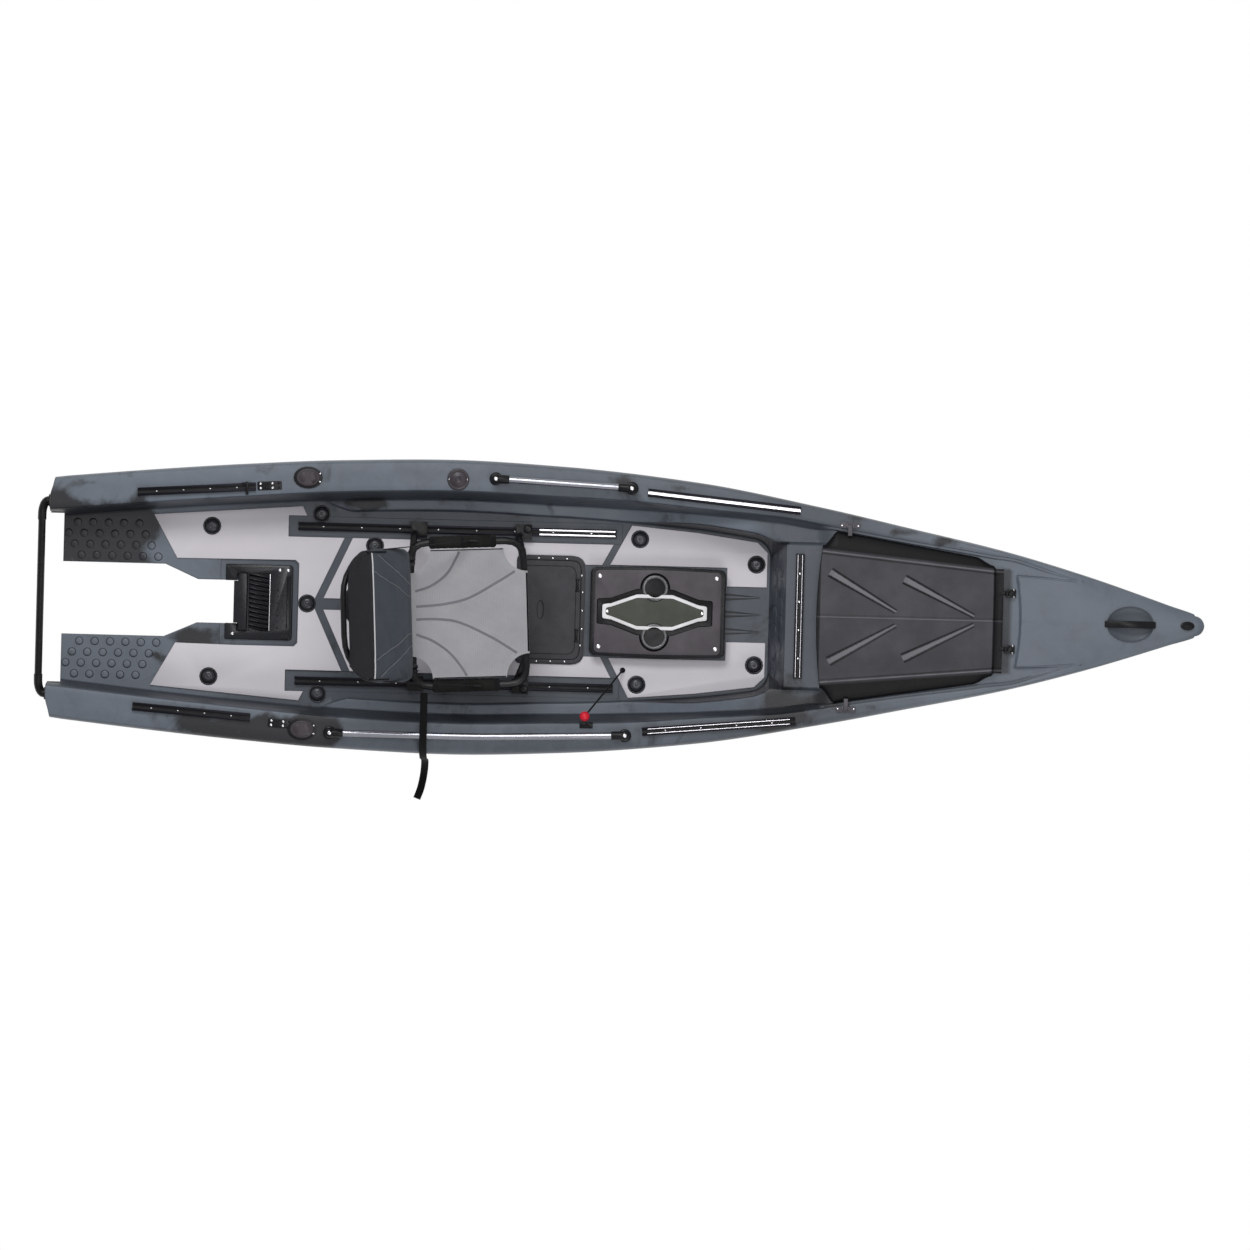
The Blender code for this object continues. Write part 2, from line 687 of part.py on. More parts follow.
def make_hull():
    hull = hull_solid("hull", 0, PARTS)
    cavity = hull_solid("hull_cavity", WALL, CUTTERS)
    cut(cavity,
        cockpit_solid("cockpit_shell", WALL),
        plate("notch_shell", notch_outline(WALL), -0.1, 0.6, None, CUTTERS),
        plate("stern_gap_shell", stern_gap_outline(WALL), -0.1, 0.6, None, CUTTERS),
        plate("mount_shell", mount_outline(WALL), FLOOR_Z - MOUNT_RECESS - WALL, 0.6, None, CUTTERS),
        handle_recess(WALL))
    for where, x, y in scupper_places():
        cut(cavity, cylinder("scupper_tube", SCUPPER_R + SCUPPER_WALL, -0.1, FLOOR_Z, (x, y), None, CUTTERS, 8))
    cut(hull,
        cockpit_solid("cockpit_well", 0),
        plate("notch", notch_outline(0), -0.1, 0.6, None, CUTTERS),
        plate("stern_gap", stern_gap_outline(0), -0.1, 0.6, None, CUTTERS),
        plate("mount_rim", mount_outline(MOUNT_RIM), FLOOR_Z - 0.004, 0.6, None, CUTTERS),
        plate("mount_recess", mount_outline(0), FLOOR_Z - MOUNT_RECESS, 0.6, None, CUTTERS),
        handle_recess(0),
        cavity,
        plate("hatch_mouth", hatch_mouth_outline(), 0.2, 0.6, None, CUTTERS),
        plate("tackle_mouth", tackle_outline(-TACKLE_RIM), 0.1, 0.3, None, CUTTERS),
        cylinder("round_hatch_mouth", ROUND_HATCH_MOUTH_R, 0.1, 0.3, (ROUND_HATCH_X, 0), None, CUTTERS, 18))
    for where, x, y in scupper_places():
        cut(hull, cylinder("scupper_bore", SCUPPER_R, -0.2, 0.3, (x, y), None, CUTTERS, 10))
    for side in (1, -1):
        track = seat_track_y()
        edge = TRACK_WIDTH / 2 + TRACK_RECESS_MARGIN
        recess = block("seat_track_recess", (SEAT_TRACK_X[0] - 0.031, side * track - edge, FLOOR_Z - TRACK_RECESS_DEPTH),
                       (SEAT_TRACK_X[1] + 0.02, side * track + edge, 0.3), None, CUTTERS)
        bore = cylinder("rod_bore", ROD_TUBE_R + 0.0012, -0.1, 0.1, (0, 0), None, CUTTERS, 14)
        cut(hull, recess, move(bore, rod_matrix(side)))
    smooth(hull)
    return hull


def seat_track_y():
    return floor_half(SEAT_X) - SEAT_TRACK_INSET


def track_top():
    return FLOOR_Z - TRACK_RECESS_DEPTH + GAP + TRACK_HEIGHT


# Pads on the cockpit floor

def arm_edge(offset, y):
    """The x where an edge of the aft diagonal strip, offset from its middle line, crosses that y."""
    along = Vector(AFT_ARM_END) - Vector(AFT_VERTEX)
    across = Vector((along.y, -along.x)).normalized() * offset
    t = (y - AFT_VERTEX[1] - across.y) / along.y
    return AFT_VERTEX[0] + across.x + along.x * t


def pad_outlines():
    track = seat_track_y()
    inner, outer = track - PAD_RECESS_IN, track + PAD_RECESS_IN
    aft_end, notch_side = SEAT_TRACK_X[0] - 0.033, NOTCH_HALF + 0.021
    rim_x, rim_y = MOUNT_X[1] + MOUNT_RIM + 0.003, MOUNT_HALF + MOUNT_RIM + 0.003
    aft = [(-1.576, floor_half(-1.576) - PAD_MARGIN), (-1.31, floor_half(-1.31) - PAD_MARGIN),
           (-1.075, floor_half(-1.075) - PAD_MARGIN), (-1.06, outer), (aft_end, outer), (aft_end, inner),
           (arm_edge(-ARM_HALF, inner), inner), (arm_edge(-ARM_HALF, 0.002), 0.002), (rim_x, 0.002),
           (rim_x, rim_y - 0.012), (rim_x - 0.012, rim_y), (-1.30, rim_y), (-1.495, notch_side)]
    tackle_in = TACKLE_X[1] - 0.01
    mid = [(arm_edge(ARM_HALF, MID_ARM_HALF), MID_ARM_HALF), (arm_edge(ARM_HALF, inner), inner),
           (FORE_ARM_AFT[1][0] - 0.002, inner), FORE_ARM_AFT[0], (tackle_in, FORE_ARM_AFT[0][1]),
           (tackle_in, MID_ARM_HALF)]
    console_edge = CONSOLE_HALF + CONSOLE_BOW + 0.002
    fore_x = FORE_ARM_FORE[1][0]
    fore = [(FORE_ARM_FORE[0][0], console_edge), (fore_x, floor_half(fore_x) - PAD_MARGIN),
            (0.26, floor_half(0.26) - PAD_MARGIN), (0.462, floor_half(0.462) - PAD_MARGIN),
            (BULKHEAD_X - 0.012, floor_half(0.48) - 0.04), (BULKHEAD_X - 0.012, WEDGE_HALF),
            (CONSOLE_X[1] + 0.004, WEDGE_HALF), (CONSOLE_X[1] + 0.004, console_edge)]
    return {"aft": aft, "mid": mid, "fore": fore}


def make_pads():
    low = FLOOR_Z + GAP
    for name, outline in pad_outlines().items():
        for side in ("port", "starboard"):
            points = outline if side == "port" else mirrored(outline)
            pad = plate(f"floor_pad_{name}_{side}", points, low, low + PAD_THICK, "pad")
            for where, x, y in scupper_places():
                near = {"aft": x < -1.0, "mid": -1.0 < x < -0.1, "fore": x > 0}[name]
                if near and where in (side, "centre") and pad_reaches(points, x, y):
                    cut(pad, cylinder("plug_hole", PLUG_FLANGE_R + PAD_HOLE_GAP, 0.1, 0.2, (x, y), None, CUTTERS, 16))
            if name == "mid":
                cut(pad, plate("tackle_clear", tackle_outline(0.004), 0.1, 0.2, None, CUTTERS),
                    cylinder("hatch_clear", ROUND_HATCH_R + 0.004, 0.1, 0.2, (ROUND_HATCH_X, 0), None, CUTTERS, 24))


def pad_reaches(points, x, y):
    """Whether a plug at (x, y) lies within its own hole's radius of the pad's box."""
    reach = PLUG_FLANGE_R + PAD_HOLE_GAP
    xs, ys = [p[0] for p in points], [p[1] for p in points]
    return min(xs) - reach < x < max(xs) + reach and min(ys) - reach < y < max(ys) + reach


# Motor mount

def make_motor_mount():
    low = FLOOR_Z - MOUNT_RECESS + GAP
    top = FLOOR_Z + 0.004
    inner = [(x, y) for x, y in mount_outline(-0.0008)]
    tray = plate("motor_mount_tray", inner, low, top, "black_plastic")
    (f0, f1), edge = FIN_X, MOUNT_HALF - 0.028
    well = plate("tray_well", [(f0 - 0.004, -edge), (f1 + 0.004, -edge), (f1 + 0.004, edge), (f0 - 0.004, edge)],
                 low + MOUNT_PLATE, 0.3, None, CUTTERS)
    channel = block("tray_channel", (f1 + 0.062, -edge + 0.01, top - 0.012), (MOUNT_X[1] - 0.006, edge - 0.01, 0.3),
                    None, CUTTERS)
    mouth = plate("tray_mouth", [(-1.4, -NOTCH_NECK_HALF + 0.001), (NOTCH_END_X - 0.001, -NOTCH_NECK_HALF + 0.001),
                                 (NOTCH_END_X - 0.001, NOTCH_NECK_HALF - 0.001), (-1.4, NOTCH_NECK_HALF - 0.001)],
                  0, 0.3, None, CUTTERS)
    slot = block("board_slot", (NOTCH_END_X - 0.002, -edge, low - 0.01), (BOARD_X[1] + 0.001, edge, 0.3), None, CUTTERS)
    cut(tray, well, channel, mouth, slot)
    for i in range(FIN_COUNT):
        y = (i - (FIN_COUNT - 1) / 2) * (2 * edge - 0.01) / FIN_COUNT
        fin = block("tray_fin", (-(f1 - f0) / 2 - 0.007, -FIN_WIDTH / 2, 0), ((f1 - f0) / 2 + 0.007, FIN_WIDTH / 2, FIN_HEIGHT),
                    None, CUTTERS)
        lean = Matrix.Rotation(-FIN_LEAN / 2, 4, "Z") @ Matrix.Rotation(FIN_LEAN, 4, "X")
        fuse(tray, move(fin, Matrix.Translation(((f0 + f1) / 2, y, low + MOUNT_PLATE - 0.001)) @ lean))
    board = block("motor_board", (BOARD_X[0] - 0.0, -edge + 0.002, FLOOR_Z - MOUNT_RECESS + GAP),
                  (BOARD_X[1], edge - 0.002, FLOOR_Z + 0.02), "black_plastic")
    drop = block("motor_board_drop", (NOTCH_END_X - 0.012, -NOTCH_NECK_HALF + 0.002, FLOOR_Z + 0.02 - BOARD_DEPTH),
                 (NOTCH_END_X - GAP, NOTCH_NECK_HALF - 0.002, FLOOR_Z + 0.02), None, CUTTERS)
    bridge = block("motor_board_bridge", (NOTCH_END_X - 0.006, -NOTCH_NECK_HALF + 0.002, FLOOR_Z + 0.001),
                   (BOARD_X[0] + 0.004, NOTCH_NECK_HALF - 0.002, FLOOR_Z + 0.02), None, CUTTERS)
    fuse(board, drop, bridge)


# Scupper plugs

def make_plugs():
    for number, (where, x, y) in enumerate(scupper_places(), 1):
        base = FLOOR_Z + GAP
        profile = [(0, base - PLUG_STEM), (PLUG_STEM_R, base - PLUG_STEM), (PLUG_STEM_R, base), (PLUG_FLANGE_R, base),
                   (PLUG_FLANGE_R, base + PLUG_FLANGE_THICK * 0.7),
                   (PLUG_FLANGE_R * 0.7, base + PLUG_FLANGE_THICK + PLUG_DOME * 0.6),
                   (0, base + PLUG_FLANGE_THICK + PLUG_DOME)]
        smooth(turned(f"scupper_plug_{number:02d}", profile, (x, y, 0), "black_plastic", 12))


def turned(name, profile, at, look=None, sides=20, group=PARTS):
    """A solid turned round the vertical through at; the profile runs from its foot to its top."""
    shape = bmesh.new()
    points = [shape.verts.new((r, 0, z)) for r, z in profile]
    edges = [shape.edges.new(pair) for pair in zip(points, points[1:])]
    bmesh.ops.spin(shape, geom=points + edges, cent=(0, 0, 0), axis=(0, 0, 1), angle=math.tau, steps=sides,
                   use_merge=True)
    bmesh.ops.remove_doubles(shape, verts=shape.verts, dist=0.00001)
    bmesh.ops.translate(shape, verts=shape.verts, vec=at)
    return put(name, finish_mesh(shape, name), look, group)


# Tracks

def track_section():
    """Half of the extrusion's section and its mirror: (across, up)."""
    w, h = TRACK_WIDTH / 2, TRACK_HEIGHT
    half = [(w, 0), (w, h), (SLOT_WIDTH / 2, h), (SLOT_WIDTH / 2, h - SLOT_ROOF), (SLOT_INSIDE / 2, h - SLOT_ROOF),
            (SLOT_INSIDE / 2, SLOT_FLOOR)]
    return half + [(-y, z) for y, z in half[::-1]]


def track(name, start, end):
    along = (Vector(end) - Vector(start)).normalized()
    across = Vector((-along.y, along.x, 0)).normalized()
    up = along.cross(across)
    rings = [[Vector(p) + across * y + up * z for y, z in track_section()] for p in (start, end)]
    return loft(name, rings, "aluminium")


def rest_line(points, lift=GAP):
    """The gunwale points raised so that a straight piece between them clears the gunwale by that much."""
    (x0, y0), (x1, y1) = points[0], points[-1]
    z0, z1 = sheer_z(x0), sheer_z(x1)
    need = 0
    for i in range(41):
        x = x0 + (x1 - x0) * i / 40
        need = max(need, faceted_sheer(x) - (z0 + (z1 - z0) * (x - x0) / (x1 - x0)))
    return (x0, y0, z0 + need + lift), (x1, y1, z1 + need + lift)


def faceted_sheer(x):
    """The height of the gunwale's flat facets, which run straight between the hull's stations."""
    s = share(x)
    for a, b in zip(HULL_STATIONS, HULL_STATIONS[1:]):
        if s <= b:
            low, high = sheer_z(STERN_X + a * HULL_LENGTH), sheer_z(STERN_X + b * HULL_LENGTH)
            return low + (high - low) * (s - a) / (b - a)
    return sheer_z(x)


def make_tracks():
    for side, name in ((1, "port"), (-1, "starboard")):
        y, z = side * seat_track_y(), FLOOR_Z - TRACK_RECESS_DEPTH + GAP
        track(f"seat_track_{name}", (SEAT_TRACK_X[0], y, z), (SEAT_TRACK_X[1], y, z))
        for label, line in (("fore", FORE_TRACK), ("aft", AFT_TRACK)):
            points = [(x, side * (half_beam(x) - inset)) for x, inset in line]
            track(f"{label}_track_{name}", *rest_line(points))
    z = fore_deck_z(CROSS_TRACK_X + TRACK_WIDTH / 2) + GAP
    track("cross_track", (CROSS_TRACK_X, -CROSS_TRACK_HALF, z), (CROSS_TRACK_X, CROSS_TRACK_HALF, z))


def fore_deck_z(x):
    """The top of the fore well's flat floor, whose facets run between the places where its sections stand."""
    places = [BULKHEAD_X + BULKHEAD_SLOPE, 0.68, 0.9, 1.1, 1.25, FORE_WELL_END_X]
    for a, b in zip(places, places[1:]):
        if x <= b:
            return mix(deck_z(a), deck_z(b), (x - a) / (b - a))
    return deck_z(places[-1])


# Side rails

def make_rails():
    for name, side, line in (("port", 1, PORT_RAIL), ("starboard", -1, STARBOARD_RAIL)):
        feet = [(x, side * (half_beam(x) - inset)) for x, inset in line]
        path = [(x, y, faceted_sheer(x) + RAIL_LIFT) for x, y in feet]
        rail = tube(f"side_rail_{name}", path, RAIL_R, "aluminium")
        for x, y, lift in (path[0], path[-1]):
            base = faceted_sheer(x + RAIL_FOOT_R) + GAP
            profile = [(0, base), (RAIL_FOOT_R, base), (RAIL_FOOT_R, base + 0.005), (RAIL_R * 1.45, base + 0.014),
                       (RAIL_R * 1.45, lift + 0.004), (RAIL_R, lift + 0.013), (0, lift + 0.016)]
            fuse(rail, turned("rail_foot", profile, (x, y, 0), None, 12, CUTTERS))
        for a, b in ((path[0], path[1]), (path[-1], path[-2])):
            along = (Vector(b) - Vector(a)).normalized()
            fuse(rail, tube("rail_socket", [a, tuple(Vector(a) + along * 0.048)], RAIL_R * 1.3, None, CUTTERS))
        smooth(rail)


# Rod holders

def rod_flange_top():
    return faceted_sheer(ROD_X + ROD_FLANGE[0]) + GAP + ROD_FLANGE_THICK


def cap_hinge(side):
    """The hinge of a rod holder's cap, at its fore tip and level with its top."""
    return (ROD_X + ROD_FLANGE[0] * ROD_CAP_SHARE, side * (half_beam(ROD_X) - ROD_IN),
            rod_flange_top() + GAP + ROD_CAP_THICK)


def make_rod_holders():
    for name, side in (("port", 1), ("starboard", -1)):
        x, y = ROD_X, side * (half_beam(ROD_X) - ROD_IN)
        top = rod_flange_top() - ROD_FLANGE_THICK
        flange = plate(f"rod_holder_{name}", oval(x, y, *ROD_FLANGE, 18), top, top + ROD_FLANGE_THICK, "black_plastic")
        barrel = cylinder("rod_barrel", ROD_TUBE_R, -ROD_LONG, 0.004, (0, 0), None, CUTTERS, 14)
        bore = cylinder("rod_holder_bore", ROD_BORE_R, -ROD_LONG + 0.004, 0.1, (0, 0), None, CUTTERS, 14)
        fuse(flange, move(barrel, rod_matrix(side)))
        above = block("rod_holder_trim", (x - 0.1, y - 0.1, top + ROD_FLANGE_THICK), (x + 0.1, y + 0.1, top + 0.1),
                      None, CUTTERS)
        cut(flange, above, move(bore, rod_matrix(side)))
        low = top + ROD_FLANGE_THICK + GAP
        outline = oval(x, y, *(ROD_CAP_SHARE * size for size in ROD_FLANGE), 18)
        cap = plate(f"rod_holder_cap_{name}", outline, low, low + ROD_CAP_THICK, "black_plastic")
        smooth(flange)
        smooth(cap)


def oval(x, y, long, wide, sides):
    return [(x + long * math.cos(a), y + wide * math.sin(a))
            for a in (math.tau * i / sides for i in range(sides))]


# Stern bar

def make_stern_bar():
    """A straight tube between two elbows, each flanged to the hull's stern."""
    elbow_r = STERN_BAR_R + STERN_ELBOW_WALL
    reach = STERN_BAR_REACH - elbow_r
    turn_y = STERN_BAR_HALF - STERN_ELBOW_LONG
    straight = [(STERN_X - reach, turn_y, STERN_BAR_Z), (STERN_X - reach, -turn_y, STERN_BAR_Z)]
    bar = tube("stern_bar", straight, STERN_BAR_R, "black_metal")
    for side in (1, -1):
        flange = cylinder("stern_flange", STERN_FLANGE_R, 0, 0.005, (0, 0), None, CUTTERS, 14)
        at_hull = (STERN_X - GAP, side * STERN_BAR_HALF, STERN_BAR_Z)
        move(flange, Matrix.Translation(at_hull) @ Matrix.Rotation(-math.pi / 2, 4, "Y"))
        root = STERN_ELBOW_ROOT
        bend = [(STERN_X - 0.001, side * STERN_BAR_HALF, STERN_BAR_Z)]
        bend += [(STERN_X - root - (reach - root) * math.sin(a),
                  side * (turn_y + STERN_ELBOW_LONG * math.cos(a)), STERN_BAR_Z)
                 for a in (math.pi / 2 * i / 6 for i in range(7))]
        bend.append((STERN_X - reach, side * (turn_y - 0.02), STERN_BAR_Z))
        fuse(bar, tube("stern_elbow", bend, elbow_r, None, CUTTERS), flange)
    smooth(bar)


def ball(name, at, radius, look=None, group=CUTTERS, sides=12):
    shape = bmesh.new()
    bmesh.ops.create_uvsphere(shape, u_segments=sides, v_segments=8, radius=radius, matrix=Matrix.Translation(at))
    return put(name, finish_mesh(shape, name), look, group)


# Hatches

def make_tackle_hatch():
    low = FLOOR_Z + GAP
    frame = plate("tackle_hatch_frame", tackle_outline(0), low, low + TACKLE_FRAME_HEIGHT, "hatch_plastic")
    mouth = plate("tackle_frame_mouth", tackle_outline(-TACKLE_RIM), 0.1, 0.3, None, CUTTERS)
    rebate = plate("tackle_frame_rebate", tackle_outline(-TACKLE_REBATE), low + TACKLE_REBATE_FLOOR, 0.3, None, CUTTERS)
    cut(frame, mouth, rebate)
    lid_low = low + TACKLE_REBATE_FLOOR + GAP
    lid_top = low + TACKLE_FRAME_HEIGHT + TACKLE_LID_PROUD
    lid = plate("tackle_hatch_lid", tackle_outline(-TACKLE_REBATE - TACKLE_LID_GAP), lid_low, lid_top, "hatch_plastic")
    pull_in, pull_x, pull_y = FINGER_PULL
    pull = oval(TACKLE_X[0] + pull_in, 0, pull_x, pull_y, 16)
    cut(lid, plate("finger_pull", pull, lid_low + 0.004, 0.3, None, CUTTERS))
    rounded_edges(lid, 0.0015, 1)


def make_round_hatch():
    low = FLOOR_Z + GAP
    lid = turned("round_hatch_lid", [(0, low - 0.012), (ROUND_HATCH_MOUTH_R - 0.002, low - 0.012),
                                     (ROUND_HATCH_MOUTH_R - 0.002, low), (ROUND_HATCH_R, low),
                                     (ROUND_HATCH_R, low + 0.008), (ROUND_HATCH_R - 0.006, low + 0.012),
                                     (0, low + 0.013)], (ROUND_HATCH_X, 0, 0), "black_plastic", 24)
    for side in (1, -1):
        grip = plate("hatch_grip", arc((ROUND_HATCH_X, 0), 0.045, 90 - 35 + 90 * (1 - side), 90 + 35 + 90 * (1 - side), 6)
                     + arc((ROUND_HATCH_X, 0), 0.022, 90 + 35 + 90 * (1 - side), 90 - 35 + 90 * (1 - side), 6),
                     low + 0.006, 0.3, None, CUTTERS)
        cut(lid, grip)
    smooth(lid)


def lozenge(grow):
    """The console lid's outline: a lozenge with a square tab at each end."""
    tab_x, tab_y = LID_HALF_LENGTH - LID_TAB[0], LID_TAB[1] + grow
    quarter = [(LID_HALF_LENGTH + grow, tab_y), (tab_x, tab_y + 0.004), (LID_SHOULDER_X, LID_HALF_WIDTH + grow)]
    top = [(LID_X + x, y) for x, y in quarter] + [(LID_X - x, y) for x, y in quarter[::-1]]
    return round_corners(top + [(x, -y) for x, y in top[::-1]], [0.008, 0.02, 0.03, 0.03, 0.02, 0.008] * 2, 2)


def make_console():
    low = FLOOR_Z + GAP
    top = low + CONSOLE_HEIGHT
    middle = (CONSOLE_X[0] + CONSOLE_X[1]) / 2
    x0, x1 = CONSOLE_X
    side = [(x0, CONSOLE_HALF), (middle, CONSOLE_HALF + CONSOLE_BOW), (x1, CONSOLE_HALF)]
    outline = round_corners(side + mirrored(side), [0.02, 0.2, 0.02] * 2, 4)
    base = plate("console_base", outline, low, top, "console_plastic")
    groove = plate("lid_groove", lozenge(LID_MARGIN), top - CONSOLE_GROOVE, 0.4, None, CUTTERS)
    pocket = plate("lid_pocket", lozenge(-0.008), top - CONSOLE_POCKET, 0.4, None, CUTTERS)
    lid_low = top - CONSOLE_GROOVE + GAP
    lid = plate("console_lid", lozenge(0), lid_low, lid_low + LID_THICK, "console_plastic")
    cut(base, groove, pocket)
    loops = [(LID_X, end * LOOP_Y) for end in (1, -1)]
    for at in loops:
        cut(base, cylinder("loop_groove", LOOP_R + LOOP_CLEARANCE, top - CONSOLE_GROOVE, 0.4, at, None, CUTTERS, 18))
        fuse(lid, cylinder("finger_loop", LOOP_R, lid_low + LOOP_STEP, lid_low + LID_THICK - LOOP_STEP, at, None,
                           CUTTERS, 18))
    for at in loops:
        cut(lid, cylinder("finger_hole", LOOP_BORE_R, 0, 0.4, at, None, CUTTERS, 14))
    panel = plate("lid_panel", lozenge(-LID_PANEL_IN), lid_low + LID_THICK - LID_PANEL_DEEP, 0.4, None, CUTTERS)
    long = LID_HALF_LENGTH - LID_TAB[0]
    between_tabs = block("lid_panel_trim", (LID_X - long, -0.1, 0), (LID_X + long, 0.1, 0.5), None, CUTTERS)
    boolean(panel, between_tabs, "INTERSECT")
    cut(lid, panel)


# Bow hatch cover

def cover_row(x, t):
    """The arch of the cover at x; t runs from 0 at its aft edge to 1 at its fore edge."""
    base = fore_deck_z(x) + 0.003
    skirt = half_beam(x) - mix(*COVER_SKIRT_INSET, t)
    rib = mix(*COVER_RIB_HALF, t)
    rise = mix(*COVER_RISE, t)
    half = [(skirt, base), (skirt - 0.006, base + rise * 0.2), (rib + 0.012, base + rise * 0.52),
            (rib + 0.004, base + rise * 0.63), (rib - 0.006, base + rise * 0.62), (rib * 0.55, base + rise * 0.9),
            (0.008, base + rise * 0.985), (0, base + rise * 1.03)]
    return [(x, y, z) for y, z in half] + [(x, -y, z) for y, z in half[-2::-1]]


def flat_row(x, half_width, z, like):
    """A level row as many points long as the given one."""
    widest = like[0][1]
    return [(x, y / widest * half_width, z) for _, y, _ in like]


def make_bow_hatch():
    x0, x1 = COVER_X
    rows = []
    for i in range(6):
        t = i / 5
        rows.append(cover_row(mix(x0, x1, t), t))
    band_z = fore_deck_z(x1) + 0.012
    aft = [(x - 0.003, y, fore_deck_z(x0) + 0.003) for x, y, z in rows[0]]
    fore = flat_row(x1 + 0.006, COVER_BAND_HALF, band_z, rows[-1])
    end = flat_row(COVER_BAND_END_X, COVER_BAND_HALF, band_z, rows[-1])
    cover = skin("bow_hatch_cover", [aft] + rows + [fore, end], COVER_THICK, "hatch_plastic")
    pivot_z = fore_deck_z(HATCH_HINGE_X) + HINGE_LIFT
    for side in (1, -1):
        for aft_x in (0.702, 0.972):
            cut(cover, chevron(aft_x, side))
        y = side * (half_beam(LATCH_X) - LATCH_IN)
        width = LATCH_WIDTH / 2 + 0.002
        notch = block("latch_notch", (LATCH_X - width, min(y, y - side * LATCH_LEVER), 0.3),
                      (LATCH_X + width, max(y, y - side * LATCH_LEVER) + 0.0, 0.6), None, CUTTERS)
        cut(cover, notch)
        barrel = cross_pin("cover_barrel", HINGE_BARREL_R, side * HATCH_HINGE_Y, HINGE_BARREL_LONG, HATCH_HINGE_X,
                           pivot_z)
        leaf = block("cover_leaf",
                     (COVER_BAND_END_X - 0.012, side * HATCH_HINGE_Y - HINGE_BARREL_LONG / 2, band_z - 0.004),
                     (HATCH_HINGE_X - 0.003, side * HATCH_HINGE_Y + HINGE_BARREL_LONG / 2, band_z + 0.001), None, CUTTERS)
        fuse(cover, leaf, barrel)
        cut(cover, cross_pin("cover_pin_hole", HINGE_PIN_R + PIN_GAP, side * HATCH_HINGE_Y, 0.1, HATCH_HINGE_X, pivot_z))
        make_hatch_hinge(side, pivot_z)
    smooth(cover)


def cross_pin(name, radius, y, long, x, z, group=CUTTERS, sides=14):
    made = cylinder(name, radius, -long / 2, long / 2, (0, 0), None, group, sides)
    return move(made, Matrix.Translation((x, y, z)) @ Matrix.Rotation(math.pi / 2, 4, "X"))


def chevron(aft_x, side):
    """A tapered groove that runs forward and inboard over the arch."""
    start, end = Vector((aft_x, side * 0.148)), Vector((aft_x + 0.227, side * 0.028))
    along = (end - start).normalized()
    across = Vector((-along.y, along.x))
    rings = []
    for t in (0.0, 0.15, 0.5, 1.0):
        p = start + (end - start) * t
        wide = mix(0.010, 0.004, t)
        z = arch_z(p.x, abs(p.y))
        deep = 0.0025 if 0 < t < 1 else 0.0005
        rings.append([(p.x + across.x * wide, p.y + across.y * wide, z + 0.02), (p.x, p.y, z - deep),
                      (p.x - across.x * wide, p.y - across.y * wide, z + 0.02)])
    return loft("chevron_groove", rings, None, CUTTERS)


def arch_z(x, y):
    row = cover_row(x, ramp(x, *COVER_X))
    for (_, y1, z1), (_, y2, z2) in zip(row, row[1:]):
        if y2 <= y <= y1:
            return z2 + (z1 - z2) * (y - y2) / (y1 - y2)
    return row[0][2]


def make_hatch_hinge(side, pivot_z):
    name = "bow_hatch_hinge_" + ("port" if side > 0 else "starboard")
    y = side * HATCH_HINGE_Y
    low = fore_deck_z(HATCH_HINGE_X + 0.03) + GAP + 0.0008
    half = HINGE_BARREL_LONG / 2 + PIN_GAP
    foot = block(name, (HATCH_HINGE_X + HINGE_BARREL_R + 0.002, y - half - HINGE_EAR, low),
                 (HATCH_HINGE_X + 0.03, y + half + HINGE_EAR, low + 0.005), "black_plastic")
    for end in (1, -1):
        ear_y = y + end * (half + HINGE_EAR / 2)
        ear = block("hinge_ear", (HATCH_HINGE_X - 0.005, ear_y - HINGE_EAR / 2, low + 0.0005),
                    (HATCH_HINGE_X + 0.02, ear_y + HINGE_EAR / 2, pivot_z + 0.005), None, CUTTERS)
        fuse(foot, ear)
    fuse(foot, cross_pin("hinge_pin", HINGE_PIN_R, y, 2 * half + HINGE_EAR, HATCH_HINGE_X, pivot_z))


def latch_frame(side):
    """x along the boat, y inboard, z up, on the gunwale at the latch."""
    return Matrix.Translation((LATCH_X, side * (half_beam(LATCH_X) - LATCH_IN), faceted_sheer(LATCH_X + 0.034) + GAP)
                              ) @ Matrix.Diagonal((1, -side, 1, 1))


